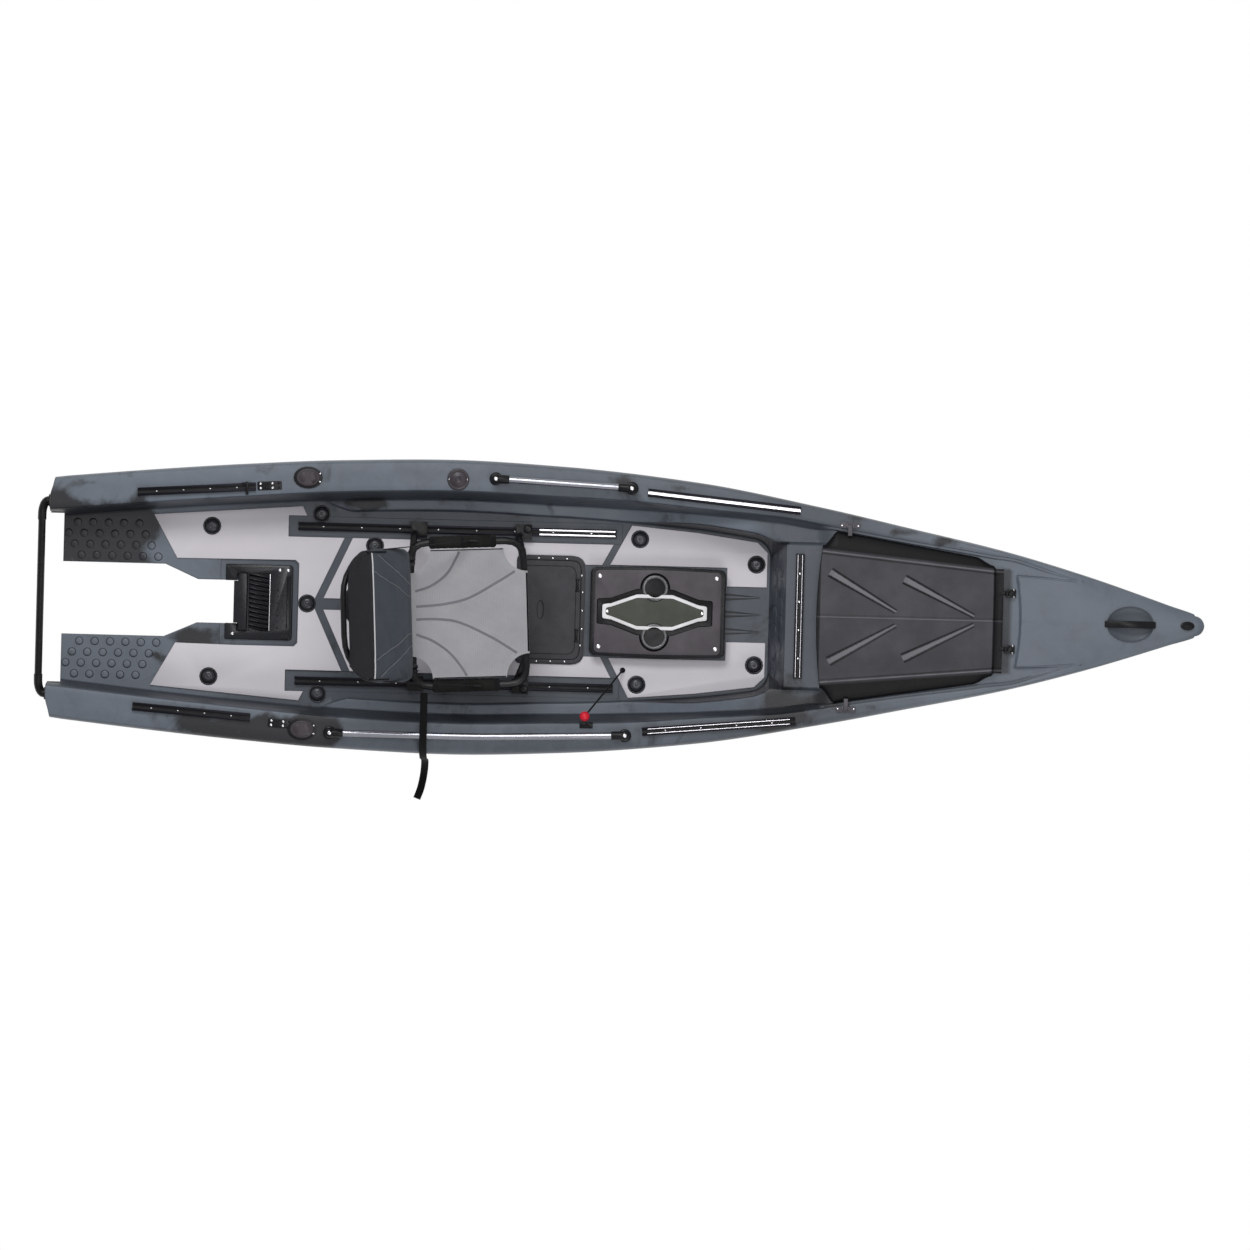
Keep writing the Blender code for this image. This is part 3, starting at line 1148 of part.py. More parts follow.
def make_latches():
    """On each side a lever on a pin between two ears, which turns up and outboard off the cover."""
    long, wide, thick = LATCH_BASE
    pin_y, pin_z = LATCH_PIN
    across = Matrix.Translation((0, pin_y, pin_z)) @ Matrix.Rotation(math.pi / 2, 4, "Y")
    upright = Matrix(((0, 0, 1, 0), (1, 0, 0, 0), (0, 1, 0, 0), (0, 0, 0, 1)))
    for name, side in (("port", 1), ("starboard", -1)):
        foot = round_corners([(-long, -wide), (long, -wide), (long, 0.004), (-long, 0.004)], 0.008, 3)
        base = plate(f"hatch_latch_base_{name}", foot, 0, thick, "black_plastic")
        pieces = []
        for end in (1, -1):
            ear_x = end * (LATCH_WIDTH / 2 + 0.004)
            low, high = (ear_x - 0.003, -0.01, 0.001), (ear_x + 0.003, 0.003, pin_z + 0.005)
            pieces.append(block("latch_ear", low, high, None, CUTTERS))
        pin = cylinder("latch_pin", LATCH_PIN_R, -0.012, 0.012, (0, 0), None, CUTTERS, 12)
        pieces.append(move(pin, across))
        low, high = pin_z - LATCH_LEVER_HALF, pin_z + LATCH_LEVER_HALF
        tip = LATCH_LEVER - 0.003
        outline = arc(LATCH_PIN, LATCH_LEVER_HALF, 90, 270, 8) + [(tip - 0.004, low), (tip, low + 0.003), (tip, high - 0.002),
                                                                  (tip - 0.002, high)]
        lever = plate(f"hatch_latch_lever_{name}", outline, -LATCH_WIDTH / 2, LATCH_WIDTH / 2, "black_plastic")
        move(lever, upright)
        hole = move(cylinder("latch_hole", LATCH_PIN_R + 0.0005, -0.02, 0.02, (0, 0), None, CUTTERS, 12), across)
        for thing in [base, lever, hole] + pieces:
            mirror_in(thing, latch_frame(side))
        fuse(base, *pieces)
        cut(lever, hole)


def mirror_in(thing, matrix):
    """Places a mesh by a matrix that may mirror it, with its faces kept outwards."""
    thing.data.transform(matrix)
    if matrix.determinant() < 0:
        thing.data.flip_normals()
    return thing


# Bow fittings

def make_bow_fittings():
    long, wide = BOW_HANDLE[0] / 2, BOW_HANDLE[1] / 2
    profile = []
    for x, low, high in ((-1, 0.0, 0.005), (-0.8, 0.0, 0.008), (-0.45, 0.009, 0.018), (0, 0.012, 0.022),
                         (0.45, 0.009, 0.018),
                         (0.8, 0.0, 0.008), (1, 0.0, 0.005)):
        here = BOW_HANDLE_X + x * long
        lift = deck_top(here) + GAP + 0.0002
        narrow = wide * (0.8 if abs(x) < 0.9 else 0.7)
        profile.append([(here, narrow, lift + low), (here, narrow, lift + high), (here, -narrow, lift + high),
                        (here, -narrow, lift + low)])
    rounded_edges(loft("bow_handle", profile, "black_plastic"), 0.003, 2)
    eye_low = deck_top(BOW_EYE_X + 0.02) + GAP + 0.0004
    eye = plate("bow_eye", oval(BOW_EYE_X, 0, 0.0235, 0.015, 16), eye_low, eye_low + 0.004, "black_plastic")
    loop = [(BOW_EYE_X - 0.014, 0, eye_low + 0.002), (BOW_EYE_X - 0.012, 0, eye_low + 0.014),
            (BOW_EYE_X + 0.012, 0, eye_low + 0.014), (BOW_EYE_X + 0.014, 0, eye_low + 0.002)]
    fuse(eye, tube("bow_eye_loop", bent_path(loop, 0.008, 3), 0.003, None, CUTTERS))


def deck_top(x):
    """The deck's centre line between the hull's stations."""
    s = share(x)
    for a, b in zip(HULL_STATIONS, HULL_STATIONS[1:]):
        if s <= b:
            ends = [sheer_z(STERN_X + k * HULL_LENGTH) + smooth_value(CROWN_CURVE, k) for k in (a, b)]
            return mix(ends[0], ends[1], (s - a) / (b - a))
    return sheer_z(x)


def make_cable_cover():
    x, y = CABLE_COVER_X, half_beam(CABLE_COVER_X) - 0.066
    low = faceted_sheer(x + CABLE_COVER_R) + GAP + 0.0004
    smooth(turned("cable_cover", [(0, low), (CABLE_COVER_R, low), (CABLE_COVER_R, low + 0.003),
                                  (CABLE_COVER_R - 0.004, low + 0.006),
                                  (CABLE_COVER_R * 0.55, low + 0.007), (CABLE_COVER_R * 0.4, low + 0.009), (0, low + 0.01)],
                  (x, y, 0), "black_plastic", 24))


# Seat

def seat_matrix():
    return Matrix.Translation((SEAT_X, SEAT_OFFSET, 0)) @ Matrix.Rotation(SEAT_YAW, 4, "Z")


def seat_half():
    return seat_track_y() - SEAT_SIDE_IN


def make_seat_frame():
    half, long, z = seat_half(), SEAT_HALF_LENGTH, SEAT_FRAME_Z
    corners = round_corners([(long, half), (-long, half), (-long, -half), (long, -half)], SEAT_CORNER, 4)
    frame = tube("seat_frame", [(x, y, z) for x, y in corners], SEAT_TUBE_R, "black_metal", closed=True)
    move(frame, seat_matrix())
    base = track_top() + GAP
    pieces = []
    for x in CLAMP_X:
        for side in (1, -1):
            y = side * seat_track_y()
            low = (x - CLAMP_SIZE[0] / 2, y - CLAMP_SIZE[1] / 2, base)
            high = (x + CLAMP_SIZE[0] / 2, y + CLAMP_SIZE[1] / 2, base + CLAMP_SIZE[2])
            pieces.append(block("seat_clamp", low, high, None, CUTTERS))
            foot = Vector((x + LEG_FOOT[0], side * (seat_track_y() + LEG_FOOT[1]), base + CLAMP_SIZE[2] / 2))
            knee = Vector((foot.x, foot.y, z - LEG_KNEE_DROP))
            end = 1 if x > SEAT_X else -1
            joint = seat_matrix() @ Vector((end * long, side * (half - SEAT_CORNER - LEG_JOINT_IN), z))
            pieces.append(tube("seat_leg", bent_path([foot, knee, joint], LEG_BEND, 4), SEAT_TUBE_R * 0.94, None, CUTTERS))
    fuse(frame, *pieces)
    for side in (1, -1):
        foot = SEAT_FRAME_Z - PIVOT_Z
        lug = plate("pivot_lug", [(-PIVOT_LUG_R, foot), (PIVOT_LUG_R, foot)] + arc((0, 0), PIVOT_LUG_R, 0, 180, 6),
                    -PIVOT_LUG_THICK / 2, PIVOT_LUG_THICK / 2, None, CUTTERS)
        place = seat_matrix() @ Matrix.Translation((-SEAT_HALF_LENGTH + 0.004, side * lug_y(), PIVOT_Z)) @ Matrix.Rotation(
            math.pi / 2, 4, "X")
        move(lug, place)
        hole = cylinder("lug_hole", PIVOT_PIN_R + 0.0005, -0.02, 0.02, (0, 0), None, CUTTERS, 14)
        fuse(frame, lug)
        cut(frame, move(hole, place))
    smooth(frame)


def lug_y():
    return seat_half() - SEAT_CORNER + 0.006


def make_sleeves():
    for name, side in (("port", 1), ("starboard", -1)):
        y = side * seat_half()
        ends = [(SLEEVE_X[0], y, SEAT_FRAME_Z), (SLEEVE_X[1], y, SEAT_FRAME_Z)]
        straight = [(max(SLEEVE_X[0], -SEAT_HALF_LENGTH + SEAT_CORNER + 0.004), y, SEAT_FRAME_Z),
                    (min(SLEEVE_X[1], SEAT_HALF_LENGTH - SEAT_CORNER - 0.004), y, SEAT_FRAME_Z)]
        sleeve = move(tube(f"seat_sleeve_{name}", straight, SLEEVE_R, "foam", resolution=3), seat_matrix())
        bore = [(ends[0][0] - 0.1, y, SEAT_FRAME_Z), (ends[1][0] + 0.1, y, SEAT_FRAME_Z)]
        cut(sleeve, move(tube("sleeve_bore", bore, SEAT_TUBE_R + 0.0008, None, CUTTERS, resolution=2), seat_matrix()))
        smooth(sleeve)


def make_sling():
    half, long = seat_half() - SLEEVE_R - 0.003, SEAT_HALF_LENGTH + SEAT_TUBE_R
    top = SEAT_FRAME_Z + SEAT_TUBE_R + 0.0006 + SLING_THICK
    rows = []
    for u in (-1, -0.86, -0.6, -0.3, 0, 0.3, 0.6, 0.86, 1):
        dip = SLING_SAG * max(0, 1 - (u / 0.86) ** 2)
        rows.append([(u * long, v * half, top - dip * (1 - v ** 4)) for v in (-1, -0.75, -0.4, 0, 0.4, 0.75, 1)])
    sling = skin("seat_sling", rows, SLING_THICK, "mesh")
    for sx in (1, -1):
        for sy in (1, -1):
            cut(sling, cylinder("sling_corner", SLING_CUT_R, 0.2, 0.5, (sx * long, sy * half), None, CUTTERS, 24))
    moved_cutters = [m.object for m in sling.modifiers if m.type == "BOOLEAN"]
    for thing in [sling] + moved_cutters:
        move(thing, seat_matrix())


def back_matrix():
    """From the upright backrest, pivot at the origin, width along Y, to its reclined place."""
    return (seat_matrix() @ Matrix.Translation((-SEAT_HALF_LENGTH + 0.004, 0, PIVOT_Z))
            @ Matrix.Rotation(-RECLINE, 4, "Y"))


def make_backrest():
    inner = lug_y() - PIVOT_LUG_THICK / 2 - 0.001 - BACK_TUBE_R
    wide = BACK_PAD_HALF - 0.012
    path = bent_path([(0, inner, -BACK_TUBE_R), (0, inner, 0.07), (0, wide, 0.17), (-0.01, wide - 0.005, BACK_HEIGHT - 0.09),
                      (-0.03, wide - 0.09, BACK_HEIGHT), (-0.03, -wide + 0.09, BACK_HEIGHT),
                      (-0.01, -wide + 0.005, BACK_HEIGHT - 0.09), (0, -wide, 0.17), (0, -inner, 0.07),
                      (0, -inner, -BACK_TUBE_R)], 0.06, 3)
    frame = tube("backrest_frame", path, BACK_TUBE_R, "black_metal")
    pieces = []
    for side in (1, -1):
        a, b = inner - 0.0045, lug_y() + PIVOT_LUG_THICK / 2 + 0.006
        pieces.append(tube("pivot_pin", [(0, side * a, 0.0), (0, side * b, 0.0)], PIVOT_PIN_R, None, CUTTERS))
    brace = tube("backrest_brace", [(0.0005, -inner - 0.003, 0.031), (0.0005, inner + 0.003, 0.031)],
                 BACK_TUBE_R * 0.8, None, CUTTERS)
    for thing in [frame, brace] + pieces:
        move(thing, back_matrix())
    fuse(frame, brace, *pieces)
    smooth(frame)
    rows = []
    for height, bulge, back in ((BACK_PAD_START, 0.0, 0.0), (0.12, 0.012, 0.0), (0.2, 0.016, 0.0), (0.28, 0.01, -0.004),
                                (0.36, 0.0, -0.01), (BACK_HEIGHT + 0.005, -0.01, -0.026)):
        rear = BACK_TUBE_R + 0.0006 + back
        front = rear + BACK_PAD_THICK + bulge
        half = BACK_PAD_HALF - 0.012 * (height < 0.1) - 0.07 * (height > 0.42)
        rows.append([(rear, half, height), (front - 0.012, half, height), (front, half - 0.03, height),
                     (front, -half + 0.03, height), (front - 0.012, -half, height), (rear, -half, height)])
    move(loft("backrest_pad", rows, "backrest"), back_matrix())


def knob_place(side):
    return CLAMP_X[1] + KNOB_FOOT[0], side * (seat_track_y() + KNOB_FOOT[1]), track_top() + CLAMP_SIZE[2] + 2 * GAP


def make_knobs():
    for name, side in (("port", 1), ("starboard", -1)):
        x, y, base = knob_place(side)
        profile = [(0, base), (KNOB_R * 0.55, base), (KNOB_R * 0.55, base + 0.004), (KNOB_R, base + 0.006),
                   (KNOB_R, base + KNOB_HEIGHT - 0.003), (KNOB_R - 0.003, base + KNOB_HEIGHT), (0, base + KNOB_HEIGHT)]
        smooth(turned(f"seat_knob_{name}", profile, (x, y, 0), "black_plastic", 12))


# Straps and cords

def spline_through(points, spacing):
    """Points about that far apart on a smooth curve through the given ones."""
    points = [Vector(p) for p in points]
    ends = [points[0] * 2 - points[1]] + points + [points[-1] * 2 - points[-2]]
    line = []
    for p0, p1, p2, p3 in zip(ends, ends[1:], ends[2:], ends[3:]):
        steps = max(1, round((p2 - p1).length / spacing))
        for k in range(steps):
            t = k / steps
            line.append(0.5 * (2 * p1 + (p2 - p0) * t + (2 * p0 - 5 * p1 + 4 * p2 - p3) * t * t
                               + (3 * p1 - p0 - 3 * p2 + p3) * t ** 3))
    return line + [points[-1]]


def strap(name, route, width, thickness, look):
    """A flat band along the route, as level across as the route lets it be."""
    line = spline_through(route, 0.02)
    rings = []
    for i, here in enumerate(line):
        along = (line[min(i + 1, len(line) - 1)] - line[max(i - 1, 0)]).normalized()
        across = (Vector((1, 0, 0)) - along * along.x).normalized() * width / 2
        up = across.cross(along).normalized() * thickness / 2
        rings.append([here + across + up, here - across + up, here - across - up, here + across - up])
    return loft(name, rings, look)


def make_paddle_keeper():
    hook_x = KEEPER_X
    edge = inner_edge(hook_x)
    low = faceted_sheer(hook_x + 0.022) + GAP
    y = -(edge + 0.016)
    hook = block("paddle_keeper_hook", (hook_x - 0.022, y - 0.009, low), (hook_x + 0.022, y + 0.012, low + 0.004),
                 "black_plastic")
    for end in (1, -1):
        fuse(hook, block("hook_jaw", (hook_x - 0.009 + end * 0.011, y + 0.004, low + 0.001),
                         (hook_x - 0.009 + end * 0.011 + 0.007, y + 0.012, low + 0.02), None, CUTTERS))
    ball_at = (hook_x - 0.0055, y + 0.0135 + BALL_R, low + 0.016)
    bungee = ball("paddle_keeper_bungee", ball_at, BALL_R, "red_ball", PARTS)
    anchor = (KEEPER_ANCHOR[0], KEEPER_ANCHOR[1], FLOOR_Z + GAP + PAD_THICK)
    route = [ball_at, (mix(ball_at[0], anchor[0], 0.3), mix(ball_at[1], anchor[1], 0.33), mix(ball_at[2], anchor[2], 0.3)),
             (mix(ball_at[0], anchor[0], 0.75), mix(ball_at[1], anchor[1], 0.72), mix(ball_at[2], anchor[2], 0.72)),
             (anchor[0], anchor[1], anchor[2] + 0.006)]
    cord = tube("bungee_cord", [tuple(p) for p in spline_through(route, 0.035)], BUNGEE_R, None, CUTTERS)
    eyelet = turned("bungee_eyelet", [(0, anchor[2] + GAP), (0.009, anchor[2] + GAP), (0.009, anchor[2] + 0.004),
                                      (0.004, anchor[2] + 0.009), (0, anchor[2] + 0.009)],
                     (anchor[0], anchor[1], 0), None, 10, CUTTERS)
    fuse(bungee, cord, eyelet)


# Moving pieces

def carrier(name, place, parent=None):
    """An empty that a moving group hangs on."""
    made = bpy.data.objects.new(name, None)
    PARTS.objects.link(made)
    made.parent = parent
    made.matrix_world = place
    bpy.context.view_layer.update()
    return made


def hang_on(empty, *names):
    """Parents the pieces to an empty on their joint's axis, each where it is."""
    for name in names:
        thing = bpy.data.objects[name]
        thing.parent = empty
        thing.matrix_parent_inverse = empty.matrix_world.inverted()


def hinge_points():
    """Each single moving piece and a point on its joint's axis."""
    floor = FLOOR_Z + GAP
    points = {"bow_hatch_cover": (HATCH_HINGE_X, 0, fore_deck_z(HATCH_HINGE_X) + HINGE_LIFT),
              "tackle_hatch_lid": (TACKLE_HINGE_X, 0, floor + TACKLE_FRAME_HEIGHT + TACKLE_LID_PROUD),
              "console_lid": (LID_X, 0, floor + CONSOLE_HEIGHT),
              "round_hatch_lid": (ROUND_HATCH_X, 0, floor)}
    for name, side in (("port", 1), ("starboard", -1)):
        points[f"hatch_latch_lever_{name}"] = latch_frame(side) @ Vector((0, *LATCH_PIN))
        points[f"seat_knob_{name}"] = knob_place(side)
        points[f"rod_holder_cap_{name}"] = cap_hinge(side)
    return points


def place_moving_pieces():
    for name, point in hinge_points().items():
        thing = bpy.data.objects[name]
        thing.data.transform(Matrix.Translation(-Vector(point)))
        thing.location = point
    seat = carrier("seat", seat_matrix())
    hang_on(seat, "seat_frame", "seat_sling", "seat_sleeve_port", "seat_sleeve_starboard", "seat_knob_port",
            "seat_knob_starboard")
    hang_on(carrier("backrest", back_matrix(), seat), "backrest_frame", "backrest_pad")


make_hull()
make_pads()
make_motor_mount()
make_plugs()
make_tracks()
make_rails()
make_rod_holders()
make_stern_bar()
make_tackle_hatch()
make_round_hatch()
make_console()
make_bow_hatch()
make_latches()
make_bow_fittings()
make_cable_cover()
make_seat_frame()
make_sleeves()
make_sling()
make_backrest()
make_knobs()
strap("seat_strap", STRAP_ROUTE, STRAP_WIDTH, STRAP_THICK, "webbing")
make_paddle_keeper()
place_moving_pieces()
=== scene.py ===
import json
import math

import bmesh
import bpy
from mathutils import Matrix, Vector
from mathutils.bvhtree import BVHTree


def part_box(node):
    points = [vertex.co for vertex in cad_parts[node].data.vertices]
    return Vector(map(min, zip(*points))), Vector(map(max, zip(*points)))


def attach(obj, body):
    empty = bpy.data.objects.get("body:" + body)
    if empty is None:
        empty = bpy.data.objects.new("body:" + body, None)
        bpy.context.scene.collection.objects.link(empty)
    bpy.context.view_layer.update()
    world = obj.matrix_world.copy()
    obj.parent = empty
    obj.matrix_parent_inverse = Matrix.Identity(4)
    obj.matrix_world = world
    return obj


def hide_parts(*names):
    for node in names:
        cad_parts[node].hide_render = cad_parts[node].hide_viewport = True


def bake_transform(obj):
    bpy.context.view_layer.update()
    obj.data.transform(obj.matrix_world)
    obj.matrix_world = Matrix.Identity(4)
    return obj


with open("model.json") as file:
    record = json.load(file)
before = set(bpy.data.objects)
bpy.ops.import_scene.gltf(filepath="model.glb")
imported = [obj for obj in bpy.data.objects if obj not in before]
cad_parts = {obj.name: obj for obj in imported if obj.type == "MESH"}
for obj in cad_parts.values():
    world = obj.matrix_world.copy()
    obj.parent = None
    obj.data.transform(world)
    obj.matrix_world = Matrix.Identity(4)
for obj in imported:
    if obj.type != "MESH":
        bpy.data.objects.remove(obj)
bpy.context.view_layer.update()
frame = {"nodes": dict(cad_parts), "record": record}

# Sizes shared with the CAD, in metres
HULL_LENGTH = 3.891
HULL_BEAM = 0.992
BOW_X = 1.966
STERN_X = -1.925
FLOOR_Z = 0.135
FLOOR_END_X = -1.88
BEAM_CURVE = [(0.0, 0.815), (0.09, 0.885), (0.17, 0.938), (0.25, 0.978), (0.35, 1.0), (0.445, 0.972),
              (0.56, 0.888), (0.668, 0.74), (0.743, 0.617), (0.826, 0.476), (0.896, 0.325), (0.97, 0.135),
              (0.996, 0.063), (1.0, 0.03)]
SHEER_CURVE = [(0.0, 0.30), (0.35, 0.325), (0.67, 0.362), (0.83, 0.398), (1.0, 0.43)]
KEEL_CURVE = [(0.0, 0.025), (0.12, 0.0), (0.45, 0.0), (0.74, 0.0), (0.87, 0.028), (0.95, 0.115), (1.0, 0.25)]
CROWN_CURVE = [(0.0, 0.0), (0.6, 0.0), (0.845, 0.0), (0.9, 0.016), (1.0, 0.014)]
SECTION = [(0.0, 0.0), (0.36, 0.0), (0.66, 0.03), (0.86, 0.16), (0.955, 0.40), (1.0, 0.76), (0.998, 0.90),
           (0.985, 0.975), (0.962, 1.0)]
GUNWALE_CURVE = [(-1.93, 0.110), (-1.4, 0.112), (-0.9, 0.108), (-0.3, 0.105), (0.07, 0.093), (0.27, 0.088),
                 (0.46, 0.072), (0.56, 0.062), (0.74, 0.056), (1.25, 0.026)]
LEDGE_START_X = -1.0
LEDGE_END_X = -0.91
LEDGE_HEIGHT = 0.02
SHELF_RISE_X = (-0.02, 0.50)
BULKHEAD_X = 0.508
BULKHEAD_TOP_X = 0.558
DECK_DROP = 0.015
CHANNEL_DROP = 0.038
PLATEAU_HALF = 0.243
FORE_WELL_END_X = 1.336
V_OUTER = [(1.25, 0.2195), (1.314, 0.212), (1.42, 0.180), (1.505, 0.151), (1.556, 0.1385)]
V_INNER = [(1.25, 0.156), (1.311, 0.154), (1.421, 0.149), (1.556, 0.1375)]
SIDES = (("port", 1), ("starboard", -1))


def smooth_value(stations, at):
    """A smooth curve through (place, value) stations, with no overshoot between them."""
    at = min(max(at, stations[0][0]), stations[-1][0])
    slopes = [(b[1] - a[1]) / (b[0] - a[0]) for a, b in zip(stations, stations[1:])]
    tangents = [slopes[0]]
    for before, after in zip(slopes, slopes[1:]):
        tangents.append(0 if before * after <= 0 else 2 * before * after / (before + after))
    tangents.append(slopes[-1])
    for i, (a, b) in enumerate(zip(stations, stations[1:])):
        if at <= b[0]:
            span = b[0] - a[0]
            t = (at - a[0]) / span
            rise = 3 * t * t - 2 * t ** 3
            return (a[1] * (1 - rise) + b[1] * rise + tangents[i] * span * (t ** 3 - 2 * t * t + t)
                    + tangents[i + 1] * span * (t ** 3 - t * t))
    return stations[-1][1]


def mix(a, b, t):
    return a + (b - a) * min(max(t, 0), 1)


def ramp(x, start, end):
    return min(max((x - start) / (end - start), 0), 1)


def ease(x, start, end):
    t = ramp(x, start, end)
    return t * t * (3 - 2 * t)


def share(x):
    return (x - STERN_X) / HULL_LENGTH


def half_beam(x):
    return HULL_BEAM / 2 * smooth_value(BEAM_CURVE, share(x))


def sheer_z(x):
    return smooth_value(SHEER_CURVE, share(x))


def keel_z(x):
    return smooth_value(KEEL_CURVE, share(x))


def deck_z(x):
    return sheer_z(x) - DECK_DROP


def inner_edge(x):
    if x > V_OUTER[0][0]:
        return smooth_value(V_OUTER, x)
    return half_beam(x) - smooth_value(GUNWALE_CURVE, x)


def floor_half(x):
    side = mix(0.142, 0.172, ramp(x, LEDGE_START_X, LEDGE_END_X))
    return half_beam(x) - side + 0.018 * ramp(x, -0.3, 0.5)


# Camera: straight down on the boat, turned as the photograph is

IMAGE_TURN = math.radians(1.476)
VIEW_CENTRE = (0.0213, -0.045)
VIEW_WIDTH = 4.205
LENS = 500
SENSOR = 36
camera_data = bpy.data.cameras.new("camera")
camera_data.lens = LENS
camera_data.sensor_width = SENSOR
camera_data.sensor_fit = "HORIZONTAL"
camera_data.clip_start = 0.5
camera_data.clip_end = 200
camera = bpy.data.objects.new("camera", camera_data)
bpy.context.scene.collection.objects.link(camera)
camera.location = (*VIEW_CENTRE, 0.33 + VIEW_WIDTH * LENS / SENSOR)
camera.rotation_euler = (0, 0, IMAGE_TURN)
bpy.context.scene.camera = camera
bpy.context.scene.view_settings.view_transform = "Standard"


# Materials

class Look:
    """A procedural material: texture nodes on the object's own metres feed one Principled shader."""

    def __init__(self, name, colour, roughness, **constants):
        self.material = bpy.data.materials.new(name)
        self.material.use_nodes = True
        self.tree = self.material.node_tree
        self.shader = self.tree.nodes["Principled BSDF"]
        self.shader.inputs["Base Color"].default_value = linear(colour)
        self.shader.inputs["Roughness"].default_value = roughness
        for key, value in constants.items():
            self.shader.inputs[key.replace("_", " ")].default_value = value
        self.place = self.tree.nodes.new("ShaderNodeTexCoord").outputs["Object"]
        self.height = None

    def scaled(self, scale):
        """The object's metres stretched along each axis."""
        node = self.tree.nodes.new("ShaderNodeMapping")
        node.inputs["Scale"].default_value = scale
        self.tree.links.new(self.place, node.inputs["Vector"])
        return node.outputs["Vector"]

    def noise(self, scale, detail=4, rough=0.55, distortion=0.0, place=None):
        node = self.tree.nodes.new("ShaderNodeTexNoise")
        node.inputs["Scale"].default_value = scale
        node.inputs["Detail"].default_value = detail
        node.inputs["Roughness"].default_value = rough
        node.inputs["Distortion"].default_value = distortion
        self.tree.links.new(place or self.place, node.inputs["Vector"])
        return node.outputs["Fac"]

    def wave(self, scale, direction, distortion=0.0):
        node = self.tree.nodes.new("ShaderNodeTexWave")
        node.bands_direction = direction
        node.inputs["Scale"].default_value = scale
        node.inputs["Distortion"].default_value = distortion
        self.tree.links.new(self.place, node.inputs["Vector"])
        return node.outputs["Fac"]

    def attribute(self, name):
        node = self.tree.nodes.new("ShaderNodeAttribute")
        node.attribute_name = name
        return node.outputs["Fac"]

    def maths(self, operation, *values):
        node = self.tree.nodes.new("ShaderNodeMath")
        node.operation = operation
        for socket, value in zip(node.inputs, values):
            if isinstance(value, (int, float)):
                socket.default_value = value
            else:
                self.tree.links.new(value, socket)
        return node.outputs["Value"]

    def weighted(self, *pairs):
        """The sum of (socket, weight) pairs."""
        total = None
        for socket, weight in pairs:
            part = self.maths("MULTIPLY", socket, weight)
            total = part if total is None else self.maths("ADD", total, part)
        return total

    def span(self, value, low, high, to_low=0.0, to_high=1.0):
        """A value from low to high carried over to another span, and held at its ends."""
        node = self.tree.nodes.new("ShaderNodeMapRange")
        node.interpolation_type = "SMOOTHSTEP"
        for name, number in (("From Min", low), ("From Max", high), ("To Min", to_low), ("To Max", to_high)):
            node.inputs[name].default_value = number
        self.tree.links.new(value, node.inputs["Value"])
        return node.outputs["Result"]

    def colours(self, factor, first, second):
        """The base colour runs from first to second with the factor; either may be a socket."""
        node = self.tree.nodes.new("ShaderNodeMix")
        node.data_type = "RGBA"
        self.tree.links.new(factor, node.inputs["Factor"])
        for socket, value in ((node.inputs[6], first), (node.inputs[7], second)):
            if isinstance(value, tuple):
                socket.default_value = linear(value)
            else:
                self.tree.links.new(value, socket)
        self.tree.links.new(node.outputs[2], self.shader.inputs["Base Color"])
        return node.outputs[2]

    def roughness(self, factor, low, high):
        self.tree.links.new(self.span(factor, 0.0, 1.0, low, high), self.shader.inputs["Roughness"])

    def bump(self, height, depth):
        """One more layer of bump, depth in metres."""
        node = self.tree.nodes.new("ShaderNodeBump")
        node.inputs["Distance"].default_value = depth
        node.inputs["Strength"].default_value = 1.0
        self.tree.links.new(height, node.inputs["Height"])
        if self.height:
            self.tree.links.new(self.height, node.inputs["Normal"])
        self.height = node.outputs["Normal"]
        self.tree.links.new(self.height, self.shader.inputs["Normal"])


def linear(colour):
    """A colour given in 0 to 255 as the eye sees it, turned to the shader's linear light."""
    channels = [c / 255 for c in colour[:3]]
    return (*[c / 12.92 if c <= 0.04045 else ((c + 0.055) / 1.055) ** 2.4 for c in channels], 1.0)


def hull_look():
    look = Look("hull_polyethylene", (95, 103, 113), 0.42, Specular_IOR_Level=0.3)
    warped = look.noise(3.2, 6, 0.6, 1.4)
    fine = look.noise(11, 8, 0.65, 0.6)
    smoke = look.weighted((warped, 0.7), (fine, 0.3))
    wisps = look.maths("MULTIPLY", look.maths("SUBTRACT", smoke, 0.49), 4.5)
    patches = look.maths("ADD", look.attribute("camo"), wisps)
    dark = look.span(patches, 0.25, 0.95)
    grain = look.maths("MULTIPLY", look.maths("SUBTRACT", fine, 0.5), 0.9)
    # The tone value carries painted light on the ledges and painted shade on the bare floor; the shade value
    # is painted shade.
    tone = look.maths("ADD", look.attribute("tone"), grain)
    base = look.colours(look.span(tone, 0.0, 1.0), (62, 67, 75), (93, 100, 110))
    patched = look.colours(dark, base, (22, 23, 27))
    look.colours(look.attribute("shade"), patched, (20, 23, 29))
    look.roughness(fine, 0.34, 0.52)
    look.bump(look.noise(260, 3, 0.6), 0.00025)
    look.bump(look.noise(28, 2, 0.5), 0.0006)
    return look.material


def pad_look():
    look = Look("pad_foam", (196, 193, 199), 0.85, Specular_IOR_Level=0.3)
    grain = look.noise(700, 4, 0.7)
    streaks = look.noise(1, 3, 0.6, place=look.scaled((30, 420, 30)))
    broad = look.noise(2.4, 3, 0.5)
    tone = look.weighted((grain, 0.45), (broad, 0.55))
    look.colours(look.span(tone, 0.3, 0.72), (187, 183, 189), (204, 201, 207))
    look.roughness(streaks, 0.78, 0.92)
    look.bump(grain, 0.0005)
    look.bump(streaks, 0.0002)
    return look.material


